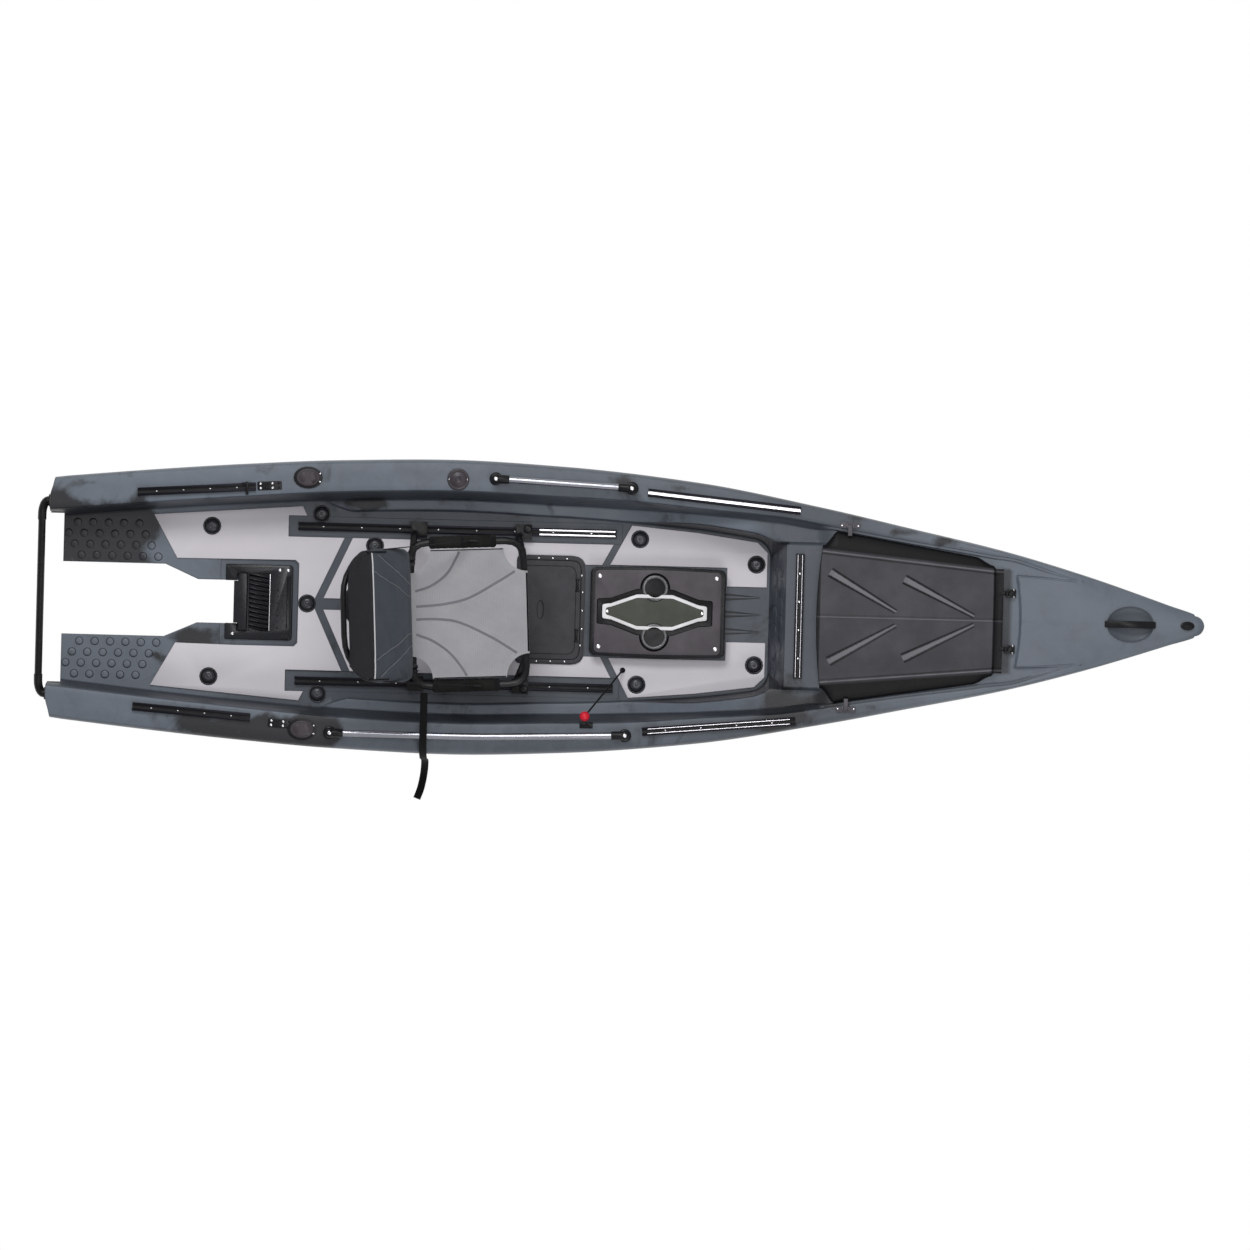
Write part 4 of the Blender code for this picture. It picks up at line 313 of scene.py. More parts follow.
def plastic_look(name, colour, rough=0.36, grain=420, depth=0.00018, spread=1.28, shine=0.22):
    look = Look(name, colour, rough, Specular_IOR_Level=shine)
    tone = look.noise(9, 5, 0.6)
    brighter = tuple(min(255, c * spread + 4) for c in colour)
    look.colours(look.span(tone, 0.35, 0.72), colour, brighter)
    look.roughness(look.noise(40, 4, 0.6), rough - 0.1, rough + 0.12)
    look.bump(look.noise(grain, 3, 0.65), depth)
    return look.material


def metal_look(name, colour, rough, along=(4, 900, 900), spread=0.84):
    look = Look(name, colour, rough, Metallic=1.0)
    lines = look.noise(1, 3, 0.6, place=look.scaled(along))
    look.colours(look.span(lines, 0.3, 0.7), tuple(c * spread for c in colour), colour)
    look.roughness(look.noise(18, 4, 0.6), rough - 0.06, rough + 0.1)
    look.bump(lines, 0.00006)
    return look.material


def paint_look(name, colour, rough=0.42):
    """Powder coat: a fine orange peel over a dark colour."""
    look = Look(name, colour, rough, Specular_IOR_Level=0.14)
    look.colours(look.span(look.noise(30, 5, 0.65), 0.35, 0.75), colour, tuple(c + 12 for c in colour))
    look.roughness(look.noise(60, 3, 0.6), rough - 0.1, rough + 0.12)
    look.bump(look.noise(620, 2, 0.5), 0.00022)
    return look.material


def cloth_look(name, low, high, thread=1100, depth=0.0005, sheen=0.25, rough=0.9):
    """A plain weave: two sets of threads that pass over and under each other."""
    look = Look(name, low, rough, Specular_IOR_Level=0.1, Sheen_Weight=sheen)
    weave = look.maths("MULTIPLY", look.wave(thread / math.tau, "X"), look.wave(thread / math.tau, "Y"))
    tone = look.weighted((weave, 0.6), (look.noise(14, 4, 0.6), 0.4))
    look.colours(look.span(tone, 0.1, 0.75), low, high)
    look.bump(weave, depth)
    return look.material


def mesh_look():
    """The seat's open mesh: fine cross threads that show as rows, with darker holes between them."""
    look = Look("seat_mesh", (160, 160, 165), 0.85, Specular_IOR_Level=0.15, Sheen_Weight=0.1)
    rows = look.wave(1250 / math.tau, "Y")
    columns = look.wave(2600 / math.tau, "X")
    bars = look.wave(330 / math.tau, "X", distortion=1.5)
    holes = look.maths("MULTIPLY", rows, columns)
    broad = look.noise(9, 4, 0.6)
    tone = look.weighted((rows, 0.4), (holes, 0.35), (broad, 0.35), (bars, 0.1))
    look.colours(look.span(tone, 0.15, 1.0), (152, 152, 158), (232, 232, 236))
    look.bump(rows, 0.0006)
    look.bump(holes, 0.0004)
    return look.material


def cover_look():
    """The bow cover's matt plastic, with painted highlights on its raised lines and groove floors, and
    painted shade down its sides.
    """
    look = Look("cover_plastic", (58, 57, 61), 0.5, Specular_IOR_Level=0.14)
    tone = look.noise(7, 5, 0.6)
    plain = look.colours(look.span(tone, 0.35, 0.72), (57, 56, 60), (68, 67, 72))
    # Painted highlight where the floor value is positive.
    lit = look.colours(look.span(look.attribute("floor"), 0.0, 1.0), plain, (104, 103, 108))
    # Painted shade where the floor value is negative.
    look.colours(look.span(look.attribute("floor"), -1.0, 0.0, 1.0, 0.0), lit, (9, 9, 11))
    look.roughness(look.noise(40, 4, 0.6), 0.42, 0.6)
    look.bump(look.noise(800, 3, 0.65), 0.0002)
    return look.material


LOOKS = {
    "hull": hull_look(),
    "pad": pad_look(),
    "mount": plastic_look("mount_plastic", (17, 18, 22), 0.24, shine=0.18),
    "plug": plastic_look("plug_rubber", (38, 39, 44), 0.24, grain=800, depth=0.0001, shine=0.3),
    "black_metal": paint_look("black_powder_coat", (11, 11, 13), 0.3),
    "track": metal_look("anodised_track", (150, 150, 157), 0.3),
    "rail": metal_look("anodised_rail", (138, 139, 146), 0.16),
    "black_plastic": plastic_look("black_plastic", (14, 14, 17), 0.28, shine=0.13),
    "hatch": plastic_look("hatch_plastic", (41, 40, 44), 0.48, grain=900, depth=0.0002, spread=1.12),
    "console": plastic_look("console_plastic", (60, 56, 61), 0.42, grain=900, depth=0.0002, spread=1.12),
    "mesh": mesh_look(),
    "foam": plastic_look("sleeve_foam", (22, 22, 21), 0.9, grain=500, depth=0.0011, shine=0.1),
    "backrest": cloth_look("backrest_fabric", (52, 57, 65), (72, 78, 87), thread=2100, sheen=0.08),
    "webbing": cloth_look("black_webbing", (10, 10, 11), (26, 26, 28), thread=1700, sheen=0.03),
    "ball": plastic_look("red_ball_plastic", (178, 22, 40), 0.25, grain=300, depth=0.0001, spread=1.1),
    "bright": metal_look("bright_fastener", (212, 212, 216), 0.2, along=(60, 60, 60)),
    "bezel": plastic_look("light_bezel", (206, 205, 208), 0.34, grain=500, depth=0.0001, spread=1.1),
    "olive_panel": plastic_look("olive_panel", (62, 64, 58), 0.62, grain=1500, depth=0.0003, spread=1.1),
    "painted_shade_black": plastic_look("painted_shade_black", (10, 10, 12), 0.5),
    "seam_thread": cloth_look("seam_thread", (112, 112, 117), (136, 136, 141), thread=2600, sheen=0.05),
    "piping": cloth_look("white_piping", (190, 190, 193), (222, 222, 224), thread=2600),
    "upper_fabric": cloth_look("charcoal_fabric", (24, 24, 28), (40, 40, 45), thread=2300, sheen=0.06),
    "binding": cloth_look("black_binding", (12, 12, 14), (26, 26, 29), thread=2000, sheen=0.04),
    "hull_plain": plastic_look("hull_embossing", (50, 54, 62), 0.42, spread=1.2),
    "track_dark": metal_look("black_anodised_track", (26, 26, 30), 0.34),
    "track_painted_highlight": metal_look("painted_highlight_track_metal", (222, 219, 226), 0.3),
    "cap_plastic": plastic_look("cap_plastic", (44, 39, 44), 0.36, shine=0.25, spread=1.15),
    "latch": plastic_look("latch_plastic", (66, 63, 69), 0.36, spread=1.15),
    "loop_plastic": plastic_look("loop_plastic", (58, 58, 62), 0.22, shine=0.5, spread=1.1),
    "cover": cover_look(),
}


# Mesh helpers

PIECES = bpy.data.collections.new("motorized_kayak_visual")
bpy.context.scene.collection.children.link(PIECES)


def offset_outline(points, distance):
    """A counter-clockwise outline moved out by the distance, or in where that is negative."""
    moved = []
    count = len(points)
    for i in range(count):
        before, here, after = (Vector(points[(i + k) % count]) for k in (-1, 0, 1))
        first, second = here - before, after - here
        if first.length < 1e-9 or second.length < 1e-9:
            moved.append(tuple(here))
            continue
        n1 = Vector((first.y, -first.x)).normalized()
        n2 = Vector((second.y, -second.x)).normalized()
        push = n1 + n2
        if push.length < 1e-6:
            moved.append(tuple(here + n1 * distance))
            continue
        push.normalize()
        reach = distance / max(push.dot(n1), 0.35)
        moved.append(tuple(here + push * reach))
    return moved


def counter_clockwise(outline):
    area = sum(a[0] * b[1] - b[0] * a[1] for a, b in zip(outline, outline[1:] + outline[:1]))
    return outline[::-1] if area < 0 else outline


def heading(line, i):
    """The way a line of points runs at its point i."""
    return (line[min(i + 1, len(line) - 1)] - line[max(i - 1, 0)]).normalized()


class Shape:
    """Gathers solids of one material into one mesh."""

    def __init__(self):
        self.mesh = bmesh.new()

    def loft(self, rings, caps=True, place=None):
        rows = [[self.mesh.verts.new(place @ Vector(p) if place else p) for p in ring] for ring in rings]
        count = len(rings[0])
        for a, b in zip(rows, rows[1:]):
            for i in range(count):
                j = (i + 1) % count
                self.mesh.faces.new((a[i], a[j], b[j], b[i]))
        if caps:
            self.mesh.faces.new(rows[0][::-1])
            self.mesh.faces.new(rows[-1])
        return self

    def prism(self, outline, low, high, place=None, edge=0.0):
        """An outline raised from low to high, the edges of its foot and top rounded."""
        outline = counter_clockwise(outline)
        turns = [0, math.pi / 4, math.pi / 2] if edge else [0]
        levels = [(-edge * (1 - math.cos(turn)), low + edge * (1 - math.sin(turn))) for turn in turns[::-1]]
        levels += [(-edge * (1 - math.cos(turn)), high - edge * (1 - math.sin(turn))) for turn in turns]
        rings = [[(x, y, z) for x, y in (offset_outline(outline, out) if out else outline)]
                 for out, z in levels]
        return self.loft(rings, place=place)

    def box(self, low, high, edge, place=None):
        outline = [(low[0], low[1]), (high[0], low[1]), (high[0], high[1]), (low[0], high[1])]
        return self.prism(round_corners(outline, edge, 2), low[2], high[2], place, edge)

    def turned(self, profile, at=(0, 0, 0), sides=32, place=None, caps=True):
        """A profile of (radius, height) from its foot to its top, turned round the upright through at."""
        rings = []
        for radius, z in profile:
            ring = oval(at[0], at[1], max(radius, 0.00001), max(radius, 0.00001), sides)
            rings.append([(x, y, at[2] + z) for x, y in ring])
        return self.loft(rings, caps, place)

    def tube(self, path, radius, sides=16, place=None, closed=False):
        """A round bar along the path; radius is one value or one for each point."""
        points = [Vector(p) for p in path]
        count = len(points)
        radii = radius if isinstance(radius, (list, tuple)) else [radius] * count
        tangents = []
        for i in range(count):
            if closed:
                tangents.append((points[(i + 1) % count] - points[i - 1]).normalized())
            else:
                tangents.append(heading(points, i))
        side = tangents[0].orthogonal().normalized()
        rings = []
        for point, tangent, r in zip(points, tangents, radii):
            side = (side - tangent * side.dot(tangent)).normalized()
            other = tangent.cross(side)
            rings.append([point + (side * math.cos(a) + other * math.sin(a)) * r
                          for a in (math.tau * k / sides for k in range(sides))])
        if not closed:
            return self.loft(rings, place=place)
        return self.loft(rings + rings[:1], False, place).joined()

    def joined(self):
        """Points at one place become one."""
        bmesh.ops.remove_doubles(self.mesh, verts=self.mesh.verts, dist=0.000001)
        return self

    def made(self, name, look, angle=32):
        bmesh.ops.recalc_face_normals(self.mesh, faces=self.mesh.faces)
        mesh = bpy.data.meshes.new(name)
        self.mesh.to_mesh(mesh)
        self.mesh.free()
        made = bpy.data.objects.new(name, mesh)
        PIECES.objects.link(made)
        mesh.materials.append(LOOKS[look])
        mesh.shade_smooth()
        mesh.set_sharp_from_angle(angle=math.radians(angle))
        return made


def placed(made, body, slot, *replaced):
    """The piece rides on its body and stands for its CAD nodes; its slot is not used."""
    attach(made, body)
    if replaced:
        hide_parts(*replaced)
    return made


def with_modifier(made, kind, **settings):
    """A modifier applied to the piece's mesh at once."""
    step = made.modifiers.new(kind.lower(), kind)
    for name, value in settings.items():
        setattr(step, name, value)
    bpy.context.view_layer.update()
    evaluated = made.evaluated_get(bpy.context.evaluated_depsgraph_get())
    mesh = bpy.data.meshes.new_from_object(evaluated)
    old = made.data
    made.modifiers.clear()
    made.data = mesh
    mesh.name = made.name
    bpy.data.meshes.remove(old)
    return made


def carve(made, shape, operation="DIFFERENCE", angle=32):
    """A Boolean with a Shape, applied at once."""
    cutter = shape.made("cutter", "hull")
    with_modifier(made, "BOOLEAN", operation=operation, object=cutter, solver="EXACT")
    bpy.data.objects.remove(cutter, do_unlink=True)
    made.data.shade_smooth()
    made.data.set_sharp_from_angle(angle=math.radians(angle))
    return made


def soft_corner(here, back, ahead, reach, steps):
    """A curve in place of a corner, from the way back to the way ahead, both at that reach from it."""
    start, end = here + back.normalized() * reach, here + ahead.normalized() * reach
    shares = [k / steps for k in range(steps + 1)]
    return [start * (1 - t) ** 2 + here * 2 * t * (1 - t) + end * t * t for t in shares]


def round_corners(corners, radius, steps=3):
    """The outline again with each corner rounded; radius is one value or one for each corner."""
    radii = radius if isinstance(radius, (list, tuple)) else [radius] * len(corners)
    outline = []
    for i, corner in enumerate(corners):
        here = Vector(corner)
        back = Vector(corners[i - 1]) - here
        ahead = Vector(corners[(i + 1) % len(corners)]) - here
        reach = min(radii[i] / math.tan(back.angle(ahead) / 2), 0.45 * back.length, 0.45 * ahead.length)
        outline += [tuple(p) for p in soft_corner(here, back, ahead, reach, steps)]
    return outline


def bent_path(corners, radius, steps=4):
    """A path in space with its inner corners rounded."""
    path = [Vector(corners[0])]
    for before, here, after in zip(corners, corners[1:], corners[2:]):
        back, ahead = before - here, after - here
        path += soft_corner(here, back, ahead, min(radius, 0.48 * back.length, 0.48 * ahead.length), steps)
    return path + [Vector(corners[-1])]


def spline_point(p0, p1, p2, p3, t):
    """The point at share t of the way from p1 to p2 on a smooth curve through four points."""
    return 0.5 * (2 * p1 + (p2 - p0) * t + (2 * p0 - 5 * p1 + 4 * p2 - p3) * t * t
                  + (3 * p1 - p0 - 3 * p2 + p3) * t ** 3)


def spline_through(points, spacing):
    """Points about that far apart on a smooth curve through the given ones."""
    points = [Vector(p) for p in points]
    ends = [points[0] * 2 - points[1]] + points + [points[-1] * 2 - points[-2]]
    line = []
    for four in zip(ends, ends[1:], ends[2:], ends[3:]):
        steps = max(1, round((four[2] - four[1]).length / spacing))
        line += [spline_point(*four, k / steps) for k in range(steps)]
    return line + [points[-1]]


def band_rings(line, across_of, profile):
    """Rings of a flat band: at each point of the line the profile's (across, up) points."""
    rings = []
    for i, here in enumerate(line):
        along = heading(line, i)
        across = across_of(along).normalized()
        up = across.cross(along).normalized()
        rings.append([here + across * a + up * b for a, b in profile])
    return rings


def mirrored(points):
    return [(x, -y) for x, y in points][::-1]


def oval(x, y, long, wide, sides):
    angles = [math.tau * i / sides for i in range(sides)]
    return [(x + long * math.cos(a), y + wide * math.sin(a)) for a in angles]


# The strap's free end hangs from the seat over the starboard gunwale

STRAP_WIDTH = 0.025
STRAP_THICK = 0.002
STRAP_ROUTE = [(-0.648, -0.2897, 0.373), (-0.648, -0.330, 0.3765), (-0.648, -0.372, 0.3785),
               (-0.648, -0.405, 0.3792), (-0.648, -0.4345, 0.3790), (-0.648, -0.462, 0.3680),
               (-0.648, -0.486, 0.3430), (-0.647, -0.503, 0.3080), (-0.646, -0.511, 0.2650),
               (-0.645, -0.513, 0.2150), (-0.644, -0.514, 0.1600), (-0.643, -0.518, 0.1050),
               (-0.643, -0.530, 0.0560), (-0.645, -0.557, 0.0190), (-0.650, -0.590, 0.0045),
               (-0.657, -0.620, 0.0025), (-0.668, -0.650, 0.0025)]


def make_strap():
    half, high = STRAP_WIDTH / 2, STRAP_THICK / 2
    edge = half - high * 0.6
    profile = [(-half, 0), (-edge, high), (0, high), (edge, high), (half, 0), (edge, -high), (0, -high),
               (-edge, -high)]
    line = spline_through(STRAP_ROUTE, 0.006)
    rings = band_rings(line, lambda along: Vector((1, 0, 0)) - along * along.x, profile)
    strap = Shape().loft(rings).made("seat_strap_webbing", "webbing")
    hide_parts("seat_strap")
    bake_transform(strap)


make_strap()


# Hull

BOW_ROUND_R = 0.034
STERN_FACE_X = -1.865
HANDLE_BOWL = (1.717, 0.08, 0.062, 0.018)
HINGE_BAND_X = (1.286, 1.317)
FORE_CORNER_R = 0.055
PLUG_BORE_R = 0.02


def bow_beam(x):
    """The half beam, closed in a round at the very bow."""
    start = BOW_X - BOW_ROUND_R
    if x < start:
        return half_beam(x)
    return min(half_beam(x), math.sqrt(max(BOW_ROUND_R ** 2 - (x - start) ** 2, 0.0)) + 0.0004)


def side_profile(x):
    """From the keel to the outer edge of the gunwale, (across, up)."""
    beam, keel, sheer = bow_beam(x), keel_z(x), sheer_z(x) - bow_fall(x)
    ends = [Vector(p) for p in SECTION[:1] + SECTION + [(0.93, 1.0)]]
    points = []
    for i, four in enumerate(zip(ends, ends[1:], ends[2:], ends[3:])):
        steps = 3 if i < 6 else 2
        for k in range(steps):
            p = spline_point(*four, k / steps)
            points.append((min(max(p.x, 0), 1), min(max(p.y, 0), 1)))
    groove = 0.0025 * ramp(beam, 0.05, 0.2)
    line = []
    for a, b in points:
        dent = groove * (math.exp(-((b - 0.62) / 0.018) ** 2) + math.exp(-((b - 0.30) / 0.025) ** 2))
        line.append((beam * a - dent, keel + (sheer - keel) * b))
    return line


def bow_fall(x):
    t = ramp(x, BOW_X - 0.03, BOW_X)
    return 0.012 * (1 - math.sqrt(1 - t * t))


def crown(x, y):
    beam = max(0.962 * half_beam(x), 0.001)
    return smooth_value(CROWN_CURVE, share(x)) * max(0.0, 1 - (min(abs(y) / beam, 1)) ** 2.4)


def base_z(x, y):
    return sheer_z(x) - bow_fall(x) + crown(x, y)


def shelf_drop(x):
    """How far the cockpit's ledge lies below the gunwale; it climbs to the channel beside the cross beam."""
    sheer = sheer_z(x)
    ledge = sheer - FLOOR_Z - LEDGE_HEIGHT * ramp(x, LEDGE_START_X, LEDGE_END_X)
    drop = mix(ledge, CHANNEL_DROP, ease(x, *SHELF_RISE_X))
    drop = mix(drop, DECK_DROP, ease(x, 0.66, 0.715))
    return mix(drop, 0, ease(x, FORE_WELL_END_X, V_OUTER[-1][0]))


def panel_edge_x(y):
    return 1.352 - 0.014 * (y / 0.15) ** 2


def floor_drop(x, y):
    """How far the floor, bulkhead, cross beam, hatch well or foredeck panel lies below the gunwale."""
    sheer = sheer_z(x)
    if x <= BULKHEAD_X:
        return sheer - FLOOR_Z
    if x <= BULKHEAD_TOP_X:
        t = (x - BULKHEAD_X) / (BULKHEAD_TOP_X - BULKHEAD_X)
        return mix(sheer - FLOOR_Z, DECK_DROP, t)
    edge = panel_edge_x(y)
    return mix(DECK_DROP, 0, ease(x, edge - 0.008, edge + 0.002))


def cockpit_lines(x):
    """Half widths at x: gunwale's inner edge, slope's foot, ledge's inner edge, floor's edge."""
    tip = V_OUTER[-1][0]
    if x > tip:
        scale = bow_beam(x) / half_beam(tip)
        return tuple(v * scale for v in (0.1385, 0.1372, 0.136, 0.1347))
    edge = inner_edge(x)
    width = mix(0.028, 0.018, ease(x, 0.0, 0.3))
    width = mix(width, 0.008, ease(x, 0.64, 0.72))
    width = mix(width, 0.0016, ease(x, FORE_WELL_END_X, tip))
    flat = floor_half(x)
    reach = min(max(x - BULKHEAD_X + FORE_CORNER_R, 0), FORE_CORNER_R)
    cut = FORE_CORNER_R - math.sqrt(FORE_CORNER_R ** 2 - reach ** 2)
    ledge = flat + mix(0.004, 0.022, ease(x, 0.0, 0.3))
    ledge = mix(ledge, PLATEAU_HALF + 0.006, ease(x, 0.45, BULKHEAD_TOP_X))
    ledge = mix(ledge, smooth_value(V_INNER, x) + 0.004, ease(x, 0.7, 1.25))
    inside = mix(flat - cut, PLATEAU_HALF - 0.002, ramp(x, BULKHEAD_X, BULKHEAD_TOP_X))
    inside = mix(inside, smooth_value(V_INNER, x), ease(x, 0.7, 1.25))
    foot = max(edge - width, ledge + 0.004 * ramp(tip - x, 0.0, 0.02) + 0.0006)
    return edge, foot, ledge, min(inside, ledge - 0.0006)


def top_profile(x):
    """From the outer edge of the gunwale to the middle line, (across, up)."""
    beam = bow_beam(x)
    edge, foot, ledge, inside = cockpit_lines(x)
    small = min(1, beam / 0.12)
    drop = shelf_drop(x)
    d = min(1, drop / 0.02)

    def at(y, down=0.0):
        return y, base_z(x, y) - down

    points = [at(mix(0.962 * beam, edge + 0.010 * small, k / 6)) for k in range(1, 7)]
    points += [at(edge + 0.0045 * small, 0.0012 * d), at(edge + 0.001 * small, 0.0045 * d)]
    points.append(at(edge - 0.0004 * small, 0.009 * d))
    low = max(drop - 0.012 * d, 0.009 * d)
    slope_foot = mix(foot, edge, 0.12)
    points += [at(mix(edge, slope_foot, k / 4), mix(0.009 * d, low, k / 4)) for k in range(1, 5)]
    start = foot - 0.004 * small * min(1, drop / 0.01)
    points += [at(mix(slope_foot, foot, 0.6), drop - 0.004 * d), at(start, drop)]
    step = floor_drop(x, ledge) - drop
    e = max(-1, min(1, step / 0.012))
    lip = min(0.003, (start - ledge) * 0.4) * small
    points += [at(mix(start, ledge + lip, k / 4), drop) for k in range(1, 5)]
    points += [at(ledge + lip * 0.2, drop + 0.0008 * e), at(mix(ledge, inside, 0.12), drop + 0.004 * e)]
    floor_at = floor_drop(x, inside)
    start = inside - 0.003 * small
    points += [at(mix(ledge, inside, 0.5), mix(drop, floor_at, 0.5)),
               at(inside + (ledge - inside) * 0.1, floor_at - 0.003 * e), at(start, floor_at)]
    return points + [at(start * (1 - k / 16), floor_drop(x, start * (1 - k / 16))) for k in range(1, 17)]


def hull_rows():
    """The places of the hull's sections, closer where its shape changes."""
    dense = [(-1.926, -1.865, 0.004), (-1.01, -0.90, 0.007), (0.44, 0.575, 0.005), (0.64, 0.73, 0.008),
             (1.325, 1.366, 0.003), (1.53, 1.57, 0.008), (1.90, 1.967, 0.0035)]
    x, places = STERN_X, []
    while x < BOW_X - 0.0004:
        places.append(x)
        step = 0.014
        for low, high, fine in dense:
            if low <= x < high:
                step = fine
            elif x < low < x + step:
                step = max(low - x, 0.002)
        x += step
    return places + [BOW_X - 0.0002]


def hull_section(x, inset=0.0):
    """One ring of the hull; the gunwales' outer corners lean forward over the stern's face."""
    half = side_profile(x) + top_profile(x)
    ring = half + [(-y, z) for y, z in half[1:-1]][::-1]
    if inset:
        ring = offset_outline(ring, -inset)
    lean = 0.014 * ramp(-x, -STERN_FACE_X, -STERN_X)
    return [(x + lean * ease(abs(y), 0.335, 0.40), y, z) for y, z in ring]


def notch_outline():
    half = [(STERN_X - 0.1, 0.122), (-1.535, 0.122), (-1.424, 0.073), (-1.289, 0.073)]
    return half + mirrored(half)


def flared(outline, levels):
    """A cutter whose outline grows with height: (height, growth) from its foot up."""
    outline = counter_clockwise(outline)
    return [[(x, y, z) for x, y in (offset_outline(outline, grow) if grow else outline)]
            for z, grow in levels]


def edge_levels(foot, top, lip):
    """Levels for flared, from the foot to a mouth whose edge is rounded."""
    return [(foot, 0), (top - lip, 0), (top - lip * 0.3, lip * 0.3), (top + 0.0005, lip), (top + 0.4, lip)]


def mount_outline(grow):
    x0, x1, half = -1.329, -1.103, 0.126
    return round_corners([(x0 - grow, -half - grow), (x1 + grow, -half - grow), (x1 + grow, half + grow),
                          (x0 - grow, half + grow)], [0.004, 0.012 + grow, 0.012 + grow, 0.004], 4)


def tackle_outline(grow):
    x0, x1, y, corner = -0.345 - grow, -0.118 + grow, 0.18 + grow, 0.045 + grow
    return round_corners([(x0, -y), (x1, -y), (x1, y), (x0, y)], [0.02, corner, corner, 0.02], 5)


SCUPPERS = [(-1.38, 0.06), (-1.053, None), (-1.011, 0.0365), (-0.829, 0.117), (0.065, 0.052), (0.46, 0.083)]


def scupper_places():
    places = []
    for x, inset in SCUPPERS:
        if inset is None:
            places.append((x, 0.0))
        else:
            y = floor_half(x) - inset
            places += [(x, y), (x, -y)]
    return places


SEAT_X = -0.506
SEAT_TRACK_X = (-1.089, -0.015)
SEAT_TRACK_Y = floor_half(SEAT_X) - 0.063
ROD_X = -1.057
ROD_IN = 0.056
ROD_TILT = math.radians(28)


def rod_matrix(side):
    y = side * (half_beam(ROD_X) - ROD_IN)
    return Matrix.Translation((ROD_X, y, sheer_z(ROD_X))) @ Matrix.Rotation(-ROD_TILT, 4, "Y")


def bow_cavity():
    """The compartment under the bow hatch: the hull's inside."""
    rings = []
    for k in range(12):
        x = 0.725 + 0.59 * k / 11
        half = [(y * 0.97, z + 0.008) for y, z in side_profile(x)]
        top = deck_z(x) - 0.012
        ring = [(y, min(z, top)) for y, z in half if y > 0.001]
        ring += [(ring[-1][0] - 0.03, top)]
        rings.append([(x, y, z) for y, z in ring] + [(x, -y, z) for y, z in ring[::-1]])
    return Shape().loft(rings)


def hull_cutters():
    """What is cut from the hull, one after another: the stern, wells, mouths, bores and grooves."""
    gap_y = floor_half(FLOOR_END_X) + 0.018
    stern_gap = [(STERN_X - 0.1, -gap_y), (FLOOR_END_X, -gap_y), (FLOOR_END_X, gap_y), (STERN_X - 0.1, gap_y)]
    mouth = [(0.70, half_beam(0.70) - 0.125), (1.235, half_beam(1.235) - 0.085)]
    wells = [(stern_gap, edge_levels(-0.1, FLOOR_Z, 0.004)),
             (notch_outline(), edge_levels(-0.1, FLOOR_Z, 0.004)),
             (mount_outline(0.017), edge_levels(FLOOR_Z - 0.004, FLOOR_Z, 0.0025)),
             (mount_outline(0), edge_levels(FLOOR_Z - 0.028, FLOOR_Z - 0.004, 0.0015)),
             (tackle_outline(-0.02), [(0.016, -0.02), (0.03, 0), (0.5, 0)])]
    cuts = [Shape().loft(flared(outline, levels)) for outline, levels in wells]
    cuts.append(Shape().turned([(0.03, 0.016), (0.056, 0.03), (0.056, 0.4)], (-0.861, 0, 0), 40))
    bores = Shape()
    for x, y in scupper_places():
        bores.turned([(0.024, -0.1), (0.024, 0.002), (PLUG_BORE_R, 0.006), (PLUG_BORE_R, 0.4)], (x, y, 0), 24)
    cuts.append(bores)
    for side in (1, -1):
        track = side * SEAT_TRACK_Y
        recess = [(SEAT_TRACK_X[0] - 0.031, track - 0.034), (SEAT_TRACK_X[1] + 0.02, track - 0.034),
                  (SEAT_TRACK_X[1] + 0.02, track + 0.034), (SEAT_TRACK_X[0] - 0.031, track + 0.034)]
        levels = edge_levels(FLOOR_Z - 0.003, FLOOR_Z, 0.0015)
        cuts.append(Shape().loft(flared(round_corners(recess, 0.004, 2), levels)))
        cuts.append(Shape().turned([(0.0252, -0.16), (0.0252, 0.06)], (0, 0, 0), 32, rod_matrix(side)))
    bowl = [(math.sin(a), -math.cos(a)) for a in (math.pi / 2 * k / 10 for k in range(11))] + [(1.0, 1.5)]
    bowl_x, *bowl_size = HANDLE_BOWL
    place = Matrix.Translation((bowl_x, 0, base_z(bowl_x, 0))) @ Matrix.Diagonal((*bowl_size, 1))
    cuts.append(Shape().turned(bowl, (0, 0, 0), 48, place))
    cuts.append(bow_cavity())
    cuts.append(Shape().loft(flared(round_corners(mouth + mirrored(mouth), 0.04, 5), [(0.2, 0), (0.6, 0)])))
    for line in (V_OUTER, V_INNER):
        for side in (1, -1):
            path = spline_through([(x, side * y, 0) for x, y in line[1:]], 0.012)
            path = [Vector((p.x, p.y, base_z(p.x, p.y) + 0.0012)) for p in path[:-1]]
            cuts.append(Shape().tube(path, [0.0042] * (len(path) - 1) + [0.001], 10))
    wedges = Shape()
    wedge = ((0.35, 0.004), (0.35, 0.0135), (0.476, 0.0022), (0.476, 0.0012))
    for y in (0.058, 0.0, -0.058):
        for side in (1, -1):
            wedges.loft([[(x, y + side * a, z) for x, a in wedge[::side]]
                         for z in (FLOOR_Z - 0.006, FLOOR_Z + 0.01)])
    return cuts + [wedges]


def make_hull():
    first, *rest = hull_rows()
    ends = [hull_section(first, 0.006), hull_section(first + 0.0015, 0.002)]
    hull = Shape().loft(ends + [hull_section(x) for x in rest]).made("hull_shell", "hull", 30)
    for one in hull_cutters():
        carve(hull, one, angle=30)
    return hull


